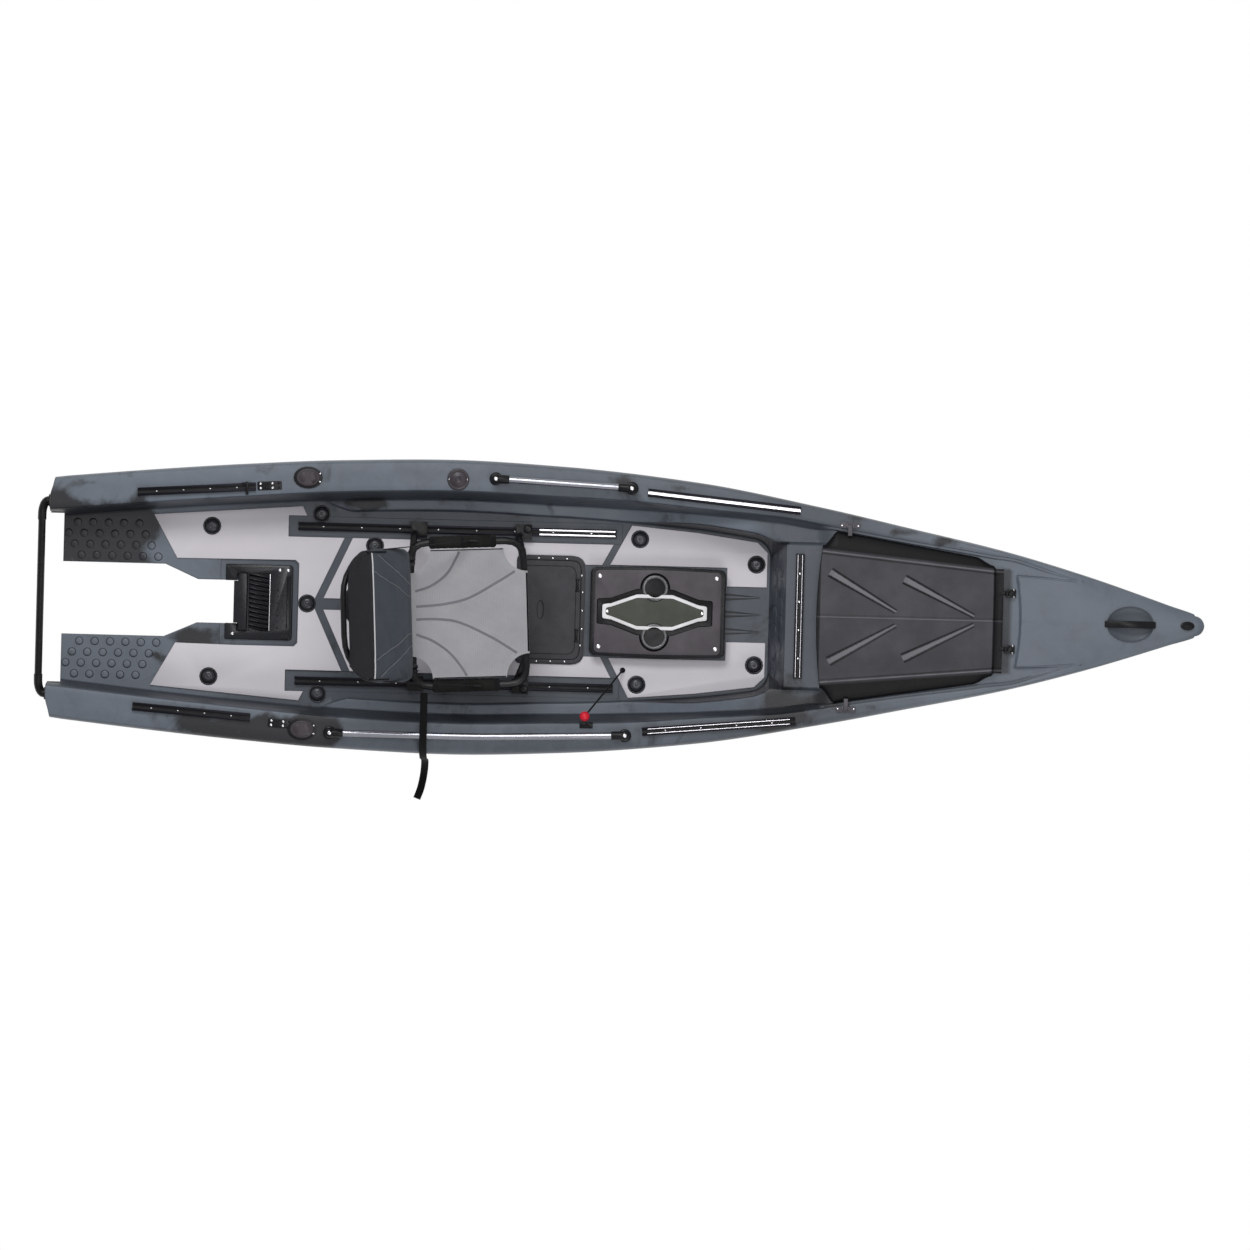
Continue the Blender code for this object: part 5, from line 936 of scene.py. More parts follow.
# Dark swirls of the moulding: place, reach along and across, strength
CAMO = [(-1.831, 0.387, 0.04, 0.022, 0.75), (-1.779, 0.395, 0.03, 0.016, 0.6),
        (-1.704, 0.409, 0.018, 0.012, 0.5), (-1.905, 0.326, 0.06, 0.045, 1.4),
        (-1.75, 0.275, 0.26, 0.03, 1.0), (-1.80, 0.20, 0.13, 0.11, 1.5), (-1.68, 0.22, 0.12, 0.08, 1.2),
        (-1.60, 0.24, 0.06, 0.05, 0.9), (-1.62, 0.13, 0.05, 0.03, 0.8), (-1.23, 0.44, 0.06, 0.02, 0.45),
        (-1.30, -0.43, 0.16, 0.05, 1.3), (-1.10, -0.43, 0.16, 0.06, 1.6), (-0.97, -0.44, 0.06, 0.05, 0.9),
        (-1.42, -0.40, 0.05, 0.03, 0.7), (-1.42, -0.115, 0.09, 0.035, 1.0), (-1.56, -0.184, 0.02, 0.012, 1.0),
        (-1.53, -0.20, 0.03, 0.008, 0.8), (-0.86, 0.345, 0.08, 0.018, 0.9), (-0.20, 0.462, 0.09, 0.012, 0.55),
        (-0.85, 0.47, 0.04, 0.01, 0.45), (0.55, -0.29, 0.06, 0.07, 1.3), (0.60, -0.34, 0.06, 0.03, 1.2),
        (0.50, -0.37, 0.06, 0.02, 0.9), (0.70, -0.28, 0.07, 0.03, 1.3), (0.78, 0.335, 0.05, 0.02, 0.8),
        (0.95, 0.29, 0.08, 0.015, 0.8), (1.08, 0.262, 0.05, 0.012, 0.6), (0.86, -0.30, 0.03, 0.015, 0.7),
        (0.99, -0.27, 0.05, 0.012, 0.6), (-0.02, 0.44, 0.05, 0.012, 0.4), (0.22, 0.42, 0.10, 0.012, 0.5),
        (-0.35, 0.31, 0.05, 0.01, 0.4), (-1.38, 0.10, 0.03, 0.02, 0.3)]


# How light the moulding is along the boat
TONES = [(-1.93, 0.75), (-1.2, 0.8), (-0.8, 0.65), (-0.2, 0.5), (0.4, 0.3), (0.62, 0.0), (0.9, 0.4),
         (1.15, 0.68), (1.97, 0.78)]


def paint_hull(hull):
    """Three values on the mesh: where it is swirled dark, how light it is (with painted light on the ledges
    and painted shade on the bare floor between the pads), and where painted shade darkens it.
    """
    mesh = hull.data
    camo, tone, shade = (mesh.attributes.new(name, "FLOAT", "POINT") for name in ("camo", "tone", "shade"))
    lines = {}
    for i, vertex in enumerate(mesh.vertices):
        x, y, z = vertex.co
        total = 0.0
        for u, v, ru, rv, strength in CAMO:
            away = ((x - u) / ru) ** 2 + ((y - v) / rv) ** 2
            if away < 9:
                total += strength * math.exp(-away)
        camo.data[i].value = min(total, 1.5) - 1.1 * ramp(x, 1.15, 1.35)
        # Painted shade: the bare floor between the pads is darkened in the tone value.
        floor = ramp(0.011 - abs(z - FLOOR_Z), 0, 0.006) * ramp(x, -1.45, -1.2) * ramp(0.6 - x, 0, 0.1)
        tone.data[i].value = smooth_value(TONES, x) * (1.0 if y > 0 else 0.93) - 0.6 * floor
        key = round(x, 3)
        if key not in lines:
            lines[key] = (cockpit_lines(x), shelf_drop(x))
        (edge, foot, ledge, inside), drop = lines[key]
        # Painted light: the ledge, shaded by the gunwale wall, is made lighter in the tone value.
        ledge_painted_light = ramp(abs(y) - ledge, 0, 0.004) * ramp(foot - abs(y), 0, 0.004) * ramp(0.5 - x, 0, 0.1)
        if z > FLOOR_Z + 0.005:
            tone.data[i].value += ledge_painted_light * (0.75 if y > 0 else 0.4)
        value = 0.0
        if x < V_OUTER[-1][0] and z > 0.12:
            steep = min(1, drop / 0.03)
            value = ramp(edge + 0.004 - abs(y), 0, 0.006) * ramp(abs(y) - foot + 0.004, 0, 0.006) * steep
            value *= mix(0.62, 0.32, ramp(x, -0.4, 0.0)) if y > 0 else 0.8
            if 0.0 < x < BULKHEAD_TOP_X + 0.01:
                lower = ramp(ledge + 0.003 - abs(y), 0, 0.005) * ramp(abs(y) - inside + 0.004, 0, 0.005)
                value = max(value, lower * ramp(x, 0.0, 0.15))
        if 0.34 < x < 0.48 and abs(y) < 0.08 and FLOOR_Z - 0.008 < z < FLOOR_Z - 0.0012:
            value = 1.0
        band = ramp(x - HINGE_BAND_X[0], 0, 0.003) * ramp(HINGE_BAND_X[1] - x, 0, 0.003)
        band *= ramp(0.178 - abs(y), 0, 0.004)
        value = max(value, 0.9 * band * (1 if z > 0.3 else 0))
        bowl = math.hypot((x - HANDLE_BOWL[0]) / HANDLE_BOWL[1], y / HANDLE_BOWL[2])
        value = max(value, 0.42 * ramp(1.04 - bowl, 0, 0.08))
        shade.data[i].value = value
    return hull


hull = paint_hull(make_hull())
placed(hull, "hull", "hull", "hull")


# Pieces that start from their CAD solid get rounded edges and their own looks

BODY_OF = {node: body for body, nodes in frame["record"]["behaviour"]["bodies"].items() for node in nodes}
SLOT_OF = {row["node"]: row["material_slot"] for row in frame["record"]["subparts"]}


def from_cad(node, name, look=None, bevel=0.0, segments=2, angle=35, smooth=34):
    """A new piece with the CAD solid's shape, its sharp edges rounded."""
    source = frame["nodes"][node]
    shape = Shape()
    shape.mesh.from_mesh(source.data)
    shape.mesh.transform(source.matrix_world)
    bmesh.ops.remove_doubles(shape.mesh, verts=shape.mesh.verts, dist=0.000002)
    bmesh.ops.dissolve_limit(shape.mesh, angle_limit=math.radians(1.0), verts=shape.mesh.verts,
                             edges=shape.mesh.edges)
    made = shape.made(name, look or SLOT_OF[node], smooth)
    if bevel:
        with_modifier(made, "BEVEL", width=bevel, segments=segments, limit_method="ANGLE",
                      angle_limit=math.radians(angle), use_clamp_overlap=True, harden_normals=False)
        made.data.shade_smooth()
        made.data.set_sharp_from_angle(angle=math.radians(smooth))
    return placed(made, BODY_OF[node], SLOT_OF[node], node)


def second_look(made, look, test):
    """The faces whose middle passes the test take another look."""
    made.data.materials.append(LOOKS[look])
    for face in made.data.polygons:
        if test(face):
            face.material_index = 1
    return made


def screw_head(shape, at, radius, high):
    """A button head with a dimple in its middle."""
    return shape.turned([(radius, 0), (radius, high * 0.45), (radius * 0.8, high * 0.85),
                         (radius * 0.5, high), (radius * 0.42, high * 0.5), (0, high * 0.5)], at, 16)


def add_screws(name, spots, radius, high, body, slot):
    """Button heads at the spots, as one bright piece."""
    heads = Shape()
    for at in spots:
        screw_head(heads, at, radius, high)
    placed(heads.made(name, "bright"), body, slot)


# Hull details: tread, grooves and embossing

def make_tread():
    """Domed studs on the two stern decks."""
    bumps = Shape()
    dome = [(0.0145, 0), (0.0138, 0.0006), (0.0128, 0.0013), (0.0108, 0.0024), (0.0095, 0.0029),
            (0.006, 0.0031), (0.0, 0.0032)]
    rows = [(-1.834, 0.256, 5), (-1.864, 0.219, 6), (-1.843, 0.182, 6), (-1.871, 0.145, 7)]
    for x, y, count in rows:
        for k in range(count):
            for side in (1, -1):
                if x + 0.052 * k - 0.0138 > FLOOR_END_X:
                    bumps.turned(dome, (x + 0.052 * k, side * y, FLOOR_Z - 0.0001), 20)
    made = paint_hull(bumps.made("hull_tread", "hull", 50))
    shade = made.data.attributes["shade"]
    for i, vertex in enumerate(made.data.vertices):
        shade.data[i].value = 0.9 * ramp(FLOOR_Z + 0.0026 - vertex.co.z, 0, 0.0012)
    return placed(made, "hull", "hull")


make_tread()


def make_bulkhead_pattern():
    """Rows of hexagons that stand proud of the bulkhead's slope."""
    pattern = Shape()
    rise = sheer_z(0.53) - DECK_DROP - FLOOR_Z
    lean = math.atan2(BULKHEAD_TOP_X - BULKHEAD_X, rise)
    for row in range(2):
        for k in range(-4, 5):
            t = 0.34 + 0.36 * row
            y = (k + 0.5 * (row % 2)) * 0.062
            if abs(y) > 0.2:
                continue
            base = Vector((mix(BULKHEAD_X, BULKHEAD_TOP_X, t), y, FLOOR_Z + rise * t))
            place = Matrix.Translation(base) @ Matrix.Rotation(-math.pi / 2 + lean, 4, "Y")
            outer = [(0.0325 * math.cos(math.pi / 3 * i), 0.0325 * math.sin(math.pi / 3 * i))
                     for i in range(6)]
            pattern.prism(outer, -0.002, 0.0026, place, edge=0.002)
    return placed(pattern.made("hull_bulkhead_pattern", "hull_plain"), "hull", "hull")


make_bulkhead_pattern()


# Scupper plugs: a flange with a rolled rim and a domed top, on a ribbed stem

PLUG_RING = (0.0212, 0.0262)
PLUG_TOP = 0.0149
PLUG_PROFILE = [(0.0, -0.039), (0.015, -0.039), (0.0178, -0.036), (0.0178, -0.028), (0.0165, -0.0265),
                (0.0178, -0.025), (0.0178, -0.016), (0.0165, -0.0145), (0.0178, -0.013), (0.0178, 0.0),
                (0.0288, 0.0), (0.0292, 0.0016), (0.0288, 0.0042), (0.0272, 0.0058), (0.0256, 0.0056),
                (0.0244, 0.0042), (0.0236, 0.0036), (0.0222, 0.0042), (0.0214, 0.0068), (0.0196, 0.0092),
                (0.0165, 0.0116), (0.0125, 0.0134), (0.008, 0.0144), (0.0066, 0.0137), (0.0052, 0.0144),
                (0.0, PLUG_TOP)]


def make_plugs():
    for k in range(1, 12):
        low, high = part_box(f"scupper_plug_{k:02d}")
        x, y = (low.x + high.x) / 2, (low.y + high.y) / 2
        plug = Shape().turned(PLUG_PROFILE, (x, y, high.z - PLUG_TOP), 48)
        plug = plug.made(f"scupper_plug_detail_{k:02d}", "plug", 60)

        # Painted shade: the groove round the flange is made black.
        def in_ring(face):
            return PLUG_RING[0] < math.hypot(face.center.x - x, face.center.y - y) < PLUG_RING[1]

        second_look(plug, "painted_shade_black", in_ring)
        placed(plug, "hull", SLOT_OF[f"scupper_plug_{k:02d}"], f"scupper_plug_{k:02d}")


make_plugs()


# Foam pads: cut from sheet, with softened edges

for part in ("aft", "mid", "fore"):
    for name in ("port", "starboard"):
        from_cad(f"floor_pad_{part}_{name}", f"pad_{part}_{name}", bevel=0.0016, segments=3)


# T-slot tracks

TRACK_HEIGHT = 0.011
TRACKS = ("seat_track_port", "seat_track_starboard", "fore_track_port", "fore_track_starboard",
          "aft_track_port", "aft_track_starboard", "cross_track")


def make_tracks():
    for node in TRACKS:
        low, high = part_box(node)
        track = from_cad(node, f"{node}_extrusion", "track_dark", bevel=0.0007, segments=2, smooth=30)
        across = node == "cross_track"
        slope = 0.0 if across or "seat" in node else centre_slope(node)

        def inside(face):
            top = low.z + TRACK_HEIGHT + slope * (face.center.x - low.x)
            return face.normal.z < 0.3 or face.center.z < top - 0.0016

        def point(at, aside, lift):
            """A point at that place along the track, off its middle and over its foot."""
            if across:
                return (low.x + high.x) / 2 + aside, at, low.z + lift
            return at, track_line(node, at) + aside, low.z + lift + slope * (at - low.x)

        # Painted shade: the track's side faces and slot floor take a black look; in the port fore track they
        # take a painted reflection instead.
        second_look(track, "track_painted_highlight" if node == "fore_track_port" else "painted_shade_black", inside)
        count = 8 if "seat" in node else 4
        start, end = (low.y, high.y) if across else (low.x, high.x)
        spots = [point(mix(start + 0.02, end - 0.02, (k + 0.5) / count), 0, 0.003) for k in range(count)]
        add_screws(f"{node}_bolts", spots, 0.0032, 0.0022, "hull", SLOT_OF[node])
        lines = {"cross_track": (low.y + 0.004, high.y - 0.004), "seat_track_port": (-0.275, high.x - 0.004),
                 "fore_track_starboard": (low.x + 0.02, high.x - 0.02)}
        if node in lines:
            # Painted highlights: thin bright strips along the slot's edges.
            painted_glints = Shape()
            half = 0.0026 if node == "seat_track_port" else 0.0009
            profile = [(-half, 0), (half, 0), (half, 0.0003), (half * 0.8, 0.0005), (-half * 0.8, 0.0005),
                       (-half, 0.0003)]
            for edge in (-0.0075, 0.0075):
                painted_glints.loft([[point(at, edge + a, TRACK_HEIGHT - 0.0002 + b) for a, b in profile]
                           for at in lines[node]])
            placed(painted_glints.made(f"{node}_lips", "track_painted_highlight", 60), "hull", SLOT_OF[node])


def track_line(node, x):
    """The middle of a track that runs along the boat."""
    side = -1 if node.endswith("starboard") else 1
    if node.startswith("seat"):
        return side * SEAT_TRACK_Y
    (x0, y0), (x1, y1) = TRACK_ENDS[node.split("_")[0]]
    return side * (y0 + (y1 - y0) * (x - x0) / (x1 - x0))


def centre_slope(node):
    """How steeply a gunwale track climbs with the sheer."""
    low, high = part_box(node)
    return max(0.0, (high.z - low.z - TRACK_HEIGHT) / (high.x - low.x))


TRACK_ENDS = {"fore": [(0.088, half_beam(0.088) - 0.057), (0.602, half_beam(0.602) - 0.027)],
              "aft": [(-1.629, half_beam(-1.629) - 0.073), (-1.232, half_beam(-1.232) - 0.079)]}
make_tracks()


# Side rails: bright tube between black sockets on round feet

def make_rails():
    for name, side, line in (("port", 1, [(-0.425, 0.058), (0.033, 0.050)]),
                             ("starboard", -1, [(-0.963, 0.052), (-0.47, 0.060), (0.030, 0.048)])):
        points = [Vector((x, side * (half_beam(x) - inset), sheer_z(x) + 0.042)) for x, inset in line]
        if len(points) == 3:
            points = bent_path(points, 0.12, 6)
        tube = Shape().tube(points, 0.0113, 24)
        placed(tube.made(f"side_rail_tube_{name}", "rail", 60), "hull", SLOT_OF[f"side_rail_{name}"])
        feet = Shape()
        for here, ahead in ((points[0], points[1]), (points[-1], points[-2])):
            base = sheer_z(here.x) + 0.0012
            top = here.z - base
            along = (ahead - here).normalized()
            feet.turned([(0.0218, 0), (0.0222, 0.0014), (0.0216, 0.0046), (0.0195, 0.0062), (0.0172, 0.0068),
                         (0.0164, 0.0125), (0.0163, top + 0.004), (0.0148, top + 0.0105),
                         (0.011, top + 0.0142), (0.0, top + 0.0155)], (here.x, here.y, base), 40)
            feet.tube([here, here + along * 0.006, here + along * 0.041, here + along * 0.0455],
                      [0.0146, 0.0148, 0.0148, 0.0132], 28)
        placed(feet.made(f"side_rail_feet_{name}", "black_plastic", 40), "hull", "black_plastic",
               f"side_rail_{name}")
        spots = [(here.x, here.y, here.z + 0.0150) for here in (points[0], points[-1])]
        add_screws(f"side_rail_screws_{name}", spots, 0.0062, 0.0022, "hull", "black_plastic")


make_rails()


# Rod holders, cable cover and bow fittings

def make_rod_holders():
    levels = [(1.0, 0.0), (1.0, 0.0026), (0.98, 0.0038), (0.9, 0.0046), (0.86, 0.0046), (0.84, 0.0038),
              (0.8, 0.0038), (0.78, 0.0046), (0.3, 0.0049)]
    for name in ("port", "starboard"):
        from_cad(f"rod_holder_{name}", f"rod_holder_body_{name}", bevel=0.0009, segments=3)
        low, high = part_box(f"rod_holder_cap_{name}")
        x, y = (low.x + high.x) / 2, (low.y + high.y) / 2
        long, wide = (high.x - low.x) / 2, (high.y - low.y) / 2
        cap = Shape().loft([[(*p, low.z + z) for p in oval(x, y, long * grow, wide * grow, 48)]
                            for grow, z in levels])
        placed(cap.made(f"rod_cap_detail_{name}", "cap_plastic", 50), f"rod_cap_{name}", "black_plastic",
               f"rod_holder_cap_{name}")
        spots = [(x + 0.040, y + dy, low.z - 0.0004) for dy in (0.0135, -0.0135)]
        add_screws(f"rod_holder_screws_{name}", spots, 0.0030, 0.0016, "hull", "black_plastic")


make_rod_holders()


def make_cable_cover():
    low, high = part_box("cable_cover")
    x, y, z = (low.x + high.x) / 2, (low.y + high.y) / 2, low.z
    profile = [(0.0365, 0), (0.037, 0.001), (0.0366, 0.0028), (0.0345, 0.0044), (0.0318, 0.0052),
               (0.0302, 0.0046), (0.0288, 0.0034), (0.0272, 0.0034), (0.0262, 0.0052), (0.0225, 0.0064),
               (0.017, 0.0076), (0.0132, 0.0094), (0.0112, 0.0096), (0.0098, 0.0078), (0.0, 0.0074)]
    cover = Shape().turned(profile, (x, y, z), 56)
    placed(cover.made("cable_cover_cap", "cap_plastic", 60), "hull", "black_plastic", "cable_cover")
    spots = [(x + end * 0.0305, y, z + 0.0040) for end in (1, -1)]
    add_screws("cable_cover_screws", spots, 0.0022, 0.0014, "hull", "black_plastic")


make_cable_cover()

for node, bevel in (("bow_handle", 0.0012), ("bow_eye", 0.0008), ("stern_bar", 0.0006),
                    ("hatch_latch_base_port", 0.0008), ("hatch_latch_base_starboard", 0.0008),
                    ("hatch_latch_lever_port", 0.0009), ("hatch_latch_lever_starboard", 0.0009),
                    ("bow_hatch_hinge_port", 0.0008), ("bow_hatch_hinge_starboard", 0.0008),
                    ("motor_board", 0.0012), ("motor_mount_tray", 0.0007), ("seat_frame", 0.0005),
                    ("backrest_frame", 0.0005), ("seat_knob_port", 0.0008), ("seat_knob_starboard", 0.0008),
                    ("round_hatch_lid", 0.0008), ("paddle_keeper_hook", 0.0008),
                    ("tackle_hatch_frame", 0.0012)):
    from_cad(node, f"{node}_detail", "latch" if "latch" in node else None, bevel, 3 if bevel > 0.001 else 2)


from_cad("console_base", "console_base_body", "black_plastic", 0.0035, 3)


def make_fixings():
    """Screws on the hinges, latches and motor tray, and the small fittings on the gunwales."""
    hinges, latches = [], []
    for name, side in SIDES:
        low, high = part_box(f"bow_hatch_hinge_{name}")
        hinges += [(high.x - 0.007, (low.y + high.y) / 2 + dy, low.z + 0.0036) for dy in (-0.012, 0.012)]
        low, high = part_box(f"hatch_latch_base_{name}")
        latches += [(x, side * (half_beam(0.77) - 0.040), low.z + 0.0038)
                    for x in (low.x + 0.007, high.x - 0.007)]
    add_screws("bow_hatch_hinge_screws", hinges, 0.0034, 0.0022, "hull", "black_plastic")
    add_screws("hatch_latch_screws", latches, 0.0026, 0.0018, "hull", "black_plastic")
    low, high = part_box("motor_mount_tray")
    spots = [(x, y, high.z - 0.0006) for x, y in ((-1.147, 0.110), (-1.119, 0.110), (-1.303, -0.108))]
    add_screws("motor_mount_screws", spots, 0.005, 0.0022, "hull", "mount")
    fittings, heads = Shape(), Shape()
    plate = round_corners([(-0.041, -0.0145), (0.041, -0.0145), (0.041, 0.0145), (-0.041, 0.0145)], 0.004, 3)
    for side, x, y in ((1, -1.186, 0.393), (-1, -1.130, -0.406)):
        turn = Matrix.Translation((x, y, sheer_z(x) - 0.0006))
        turn = turn @ Matrix.Rotation(side * math.radians(3.5), 4, "Z")
        fittings.prism(plate, 0, 0.0045, turn, edge=0.001)
        for k in range(4):
            for row in (1, -1):
                at = turn @ Vector((-0.030 + 0.02 * k, row * 0.0075, 0.0043))
                screw_head(heads if k % 2 == 0 else fittings, at, 0.0042, 0.0022)
    x = -1.262
    clip = Matrix.Translation((x, track_line("aft_track_port", x), sheer_z(x) + 0.0105))
    clip = clip @ Matrix.Rotation(0.05, 4, "Z")
    fittings.box((-0.0045, -0.026, 0), (0.0045, 0.018, 0.006), 0.0015, clip)
    fittings.box((-0.016, 0.008, 0), (0.016, 0.016, 0.005), 0.0015, clip)
    placed(fittings.made("gunwale_fittings", "black_plastic", 45), "hull", "black_plastic")
    placed(heads.made("gunwale_fitting_bolts", "bright", 45), "hull", "black_plastic")


make_fixings()


# Console: a base with screwed corners, and its lid with a light bezel round an olive panel

LOOP_X = 0.12
LOOP_Y = 0.082


def lozenge(grow):
    """The console lid's outline: a lozenge with a square tab at each end."""
    half_length, tab, half_width, shoulder = 0.177, (0.03, 0.024), 0.06, 0.06
    tab_x, tab_y = half_length - tab[0], tab[1] + grow
    quarter = [(half_length + grow, tab_y), (tab_x, tab_y + 0.004), (shoulder, half_width + grow)]
    top = [(LOOP_X + x, y) for x, y in quarter] + [(LOOP_X - x, y) for x, y in quarter[::-1]]
    outline = round_corners(top + [(x, -y) for x, y in top[::-1]], [0.008, 0.02, 0.03, 0.03, 0.02, 0.008] * 2,
                            4)
    return counter_clockwise(outline)


def loop_bores(radius, z, reach, sides):
    """Cutters for the places of the lid's two finger loops."""
    bores = Shape()
    for end in (1, -1):
        bores.turned([(radius, -reach), (radius, reach)], (LOOP_X, end * LOOP_Y, z), sides)
    return bores


def make_console_lid():
    low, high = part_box("console_lid")
    foot, top = low.z, high.z
    outer, inner = lozenge(-0.0002), lozenge(-0.0125)
    levels = ((outer, foot + 0.0004), (outer, top - 0.0022), (offset_outline(outer, -0.0007), top - 0.0008),
              (offset_outline(outer, -0.0022), top), (offset_outline(inner, 0.0012), top),
              (inner, top - 0.0011), (inner, top - 0.0035), (inner, foot + 0.0004))
    rings = [[(x, y, z) for x, y in points] for points, z in levels]
    bezel = Shape().loft(rings + rings[:1], False).joined().made("console_lid_bezel", "bezel", 40)
    carve(bezel, loop_bores(0.032, top, 0.05, 40), angle=40)
    placed(bezel, "console_lid", SLOT_OF["console_lid"], "console_lid")
    panel = Shape().prism(offset_outline(inner, -0.0004), foot + 0.0006, top - 0.0022, edge=0.0012)
    panel = panel.made("console_lid_panel", "olive_panel", 40)
    carve(panel, loop_bores(0.046, top, 0.05, 40), angle=40)
    placed(panel, "console_lid", SLOT_OF["console_lid"])
    profile = [(0.0325, 0), (0.0445, 0), (0.0448, 0.0016), (0.0448, 0.0066), (0.0434, 0.0084),
               (0.041, 0.0092), (0.0362, 0.0092), (0.0338, 0.0084), (0.0325, 0.0066), (0.0325, 0)]
    loops = Shape()
    for end in (1, -1):
        loops.turned(profile, (LOOP_X, end * LOOP_Y, foot + 0.0012), 56, caps=False)
    placed(loops.joined().made("console_lid_loops", "loop_plastic", 40), "console_lid",
           SLOT_OF["console_lid"])
    spots = [(x, 0.0, top - 0.0008) for x in (-0.040, 0.280)]
    add_screws("console_lid_screws", spots, 0.0042, 0.0008, "console_lid", SLOT_OF["console_lid"])


def make_console_base():
    low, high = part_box("console_base")
    middle = 0.13
    rim = [(low.x - 0.0005, high.y - 0.0072), (middle, high.y + 0.0005), (high.x + 0.0005, high.y - 0.0072)]
    rim = round_corners(rim + mirrored(rim), [0.024, 0.2, 0.024] * 2, 6)
    kept = Shape().prism(rim, low.z - 0.02, high.z + 0.02)
    carve(bpy.data.objects["console_base_body"], kept, "INTERSECT", 34)
    side = [(low.x + 0.0155, high.y - 0.0165), (middle, high.y - 0.012), (high.x - 0.0155, high.y - 0.0165)]
    outline = round_corners(side + mirrored(side), [0.016, 0.2, 0.016] * 2, 5)
    panel = Shape().prism(outline, high.z - 0.004, high.z + 0.0007, edge=0.0006)
    panel = panel.made("console_base_top", "console", 40)
    well = Shape().loft([[(x, y, z) for x, y in lozenge(0.0185)] for z in (high.z - 0.02, high.z + 0.02)])
    carve(panel, well, angle=40)
    carve(panel, loop_bores(0.0505, high.z, 0.03, 56), angle=40)
    placed(panel, "hull", SLOT_OF["console_base"])
    spots = [(x, y, high.z + 0.0004) for x in (-0.067, 0.327) for y in (0.119, -0.119)]
    add_screws("console_base_bolts", spots, 0.0065, 0.0018, "hull", SLOT_OF["console_base"])


make_console_lid()
make_console_base()


# Tackle hatch: the lid with a line of painted shade round its edge and two clasps, and the frame's screws

def make_tackle_lid():
    low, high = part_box("tackle_hatch_lid")
    from_cad("tackle_hatch_lid", "tackle_lid_plate", bevel=0.0014, segments=3)
    # Painted shade: a black tube round the lid's edge.
    line = Shape()
    x0, x1, y1 = low.x + 0.012, high.x - 0.016, high.y - 0.018
    edge = round_corners([(x0, -y1), (x1, -y1), (x1, y1), (x0, y1)], [0.01, 0.03, 0.03, 0.01], 5)
    line.tube([(x, y, high.z + 0.0002) for x, y in edge], 0.0012, 8, closed=True)
    placed(line.made("tackle_lid_line", "painted_shade_black", 60), "tackle_lid", SLOT_OF["tackle_hatch_lid"])
    clasps = Shape()
    for y in (0.085, -0.085):
        clasps.box((high.x - 0.0155, y - 0.022, high.z - 0.001),
                   (high.x - 0.0065, y + 0.022, high.z + 0.0026), 0.0012)
        for end in (1, -1):
            clasps.box((high.x - 0.018, y + end * 0.019 - 0.0035, high.z - 0.001),
                       (high.x - 0.004, y + end * 0.019 + 0.0035, high.z + 0.0036), 0.0012)
    placed(clasps.made("tackle_lid_clasps", "black_plastic", 50), "tackle_lid", SLOT_OF["tackle_hatch_lid"])
    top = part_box("tackle_hatch_frame")[1].z
    spots = [(-0.318, 0.174), (-0.275, 0.1742), (-0.228, 0.1742), (-0.180, 0.1735), (-0.1285, 0.118),
             (-0.1243, 0.062), (-0.1243, 0.0)]
    spots += [(x, -y) for x, y in spots if y]
    add_screws("tackle_frame_screws", [(x, y, top - 0.0004) for x, y in spots], 0.0028, 0.0012, "hull",
               SLOT_OF["tackle_hatch_frame"])


make_tackle_lid()


# Bow hatch cover: a vaulted skin with two ribs, a centre crease and four chevron grooves

COVER_X = (0.673, 1.256)
COVER_RIB = (0.221, 0.166)
COVER_STEPS = 190
COVER_PIVOT_X = 1.302
COVER_LEAF_Y = 0.094
CHEVRONS = [(0.712, 0.147, 0.926, 0.025), (0.962, 0.130, 1.188, 0.0165)]


def cover_share(x):
    return (x - COVER_X[0]) / (COVER_X[1] - COVER_X[0])


def cover_rib(x):
    """How far the cover's ribs stand off its middle."""
    return mix(*COVER_RIB, cover_share(x))


def cover_skirt(x):
    """Half the cover's width: its skirts draw in at both ends, as rounded corners."""
    full = half_beam(x) - mix(0.071, 0.040, cover_share(x))
    aft = 1 - ease(x, COVER_X[0] - 0.004, COVER_X[0] + 0.056)
    fore = ease(x, COVER_X[1] - 0.062, COVER_X[1] + 0.004)
    return full - max(0.0, full - cover_rib(x) - 0.019) * (aft + fore)


def chevron_places(x, y):
    """For each groove: where along it the point lies, as a share, and how far off its line."""
    places = []
    for foot_x, foot_y, tip_x, tip_y in CHEVRONS:
        along = Vector((tip_x - foot_x, tip_y - foot_y))
        away = Vector((x - foot_x, abs(y) - foot_y))
        places.append((away.dot(along) / along.length_squared,
                       abs(away.x * along.y - away.y * along.x) / along.length))
    return places


def cover_height(x, y):
    """The height of the cover's outer face above the deck edge at x."""
    skirt, rib = cover_skirt(x), cover_rib(x)
    rise = mix(0.078, 0.05, cover_share(x))
    stations = [(0.0, rise * 1.0), (0.012, rise * 0.985), (rib * 0.55, rise * 0.9),
                (rib - 0.008, rise * 0.62), (rib + 0.001, rise * 0.645), (rib + 0.009, rise * 0.56),
                (skirt - 0.006, rise * 0.2), (skirt, 0.0)]
    z = smooth_value(stations, min(abs(y), skirt))
    crease = 0.0016 * math.exp(-(y / 0.003) ** 2) + 0.0026 * math.exp(-((abs(y) - rib) / 0.0032) ** 2)
    groove = 0.0
    for s, d in chevron_places(x, y):
        ends = ramp(s, -0.03, 0.03) * ramp(1.0 - s, -0.02, 0.05)
        groove = max(groove, ramp(mix(0.0135, 0.005, s) - d, 0, 0.004) * ends * mix(0.005, 0.0018, s))
    return z + crease - groove


def cover_deck(x):
    return sheer_z(x) - DECK_DROP + 0.003


COVER_BAND_Z = cover_deck(COVER_X[1]) + 0.009


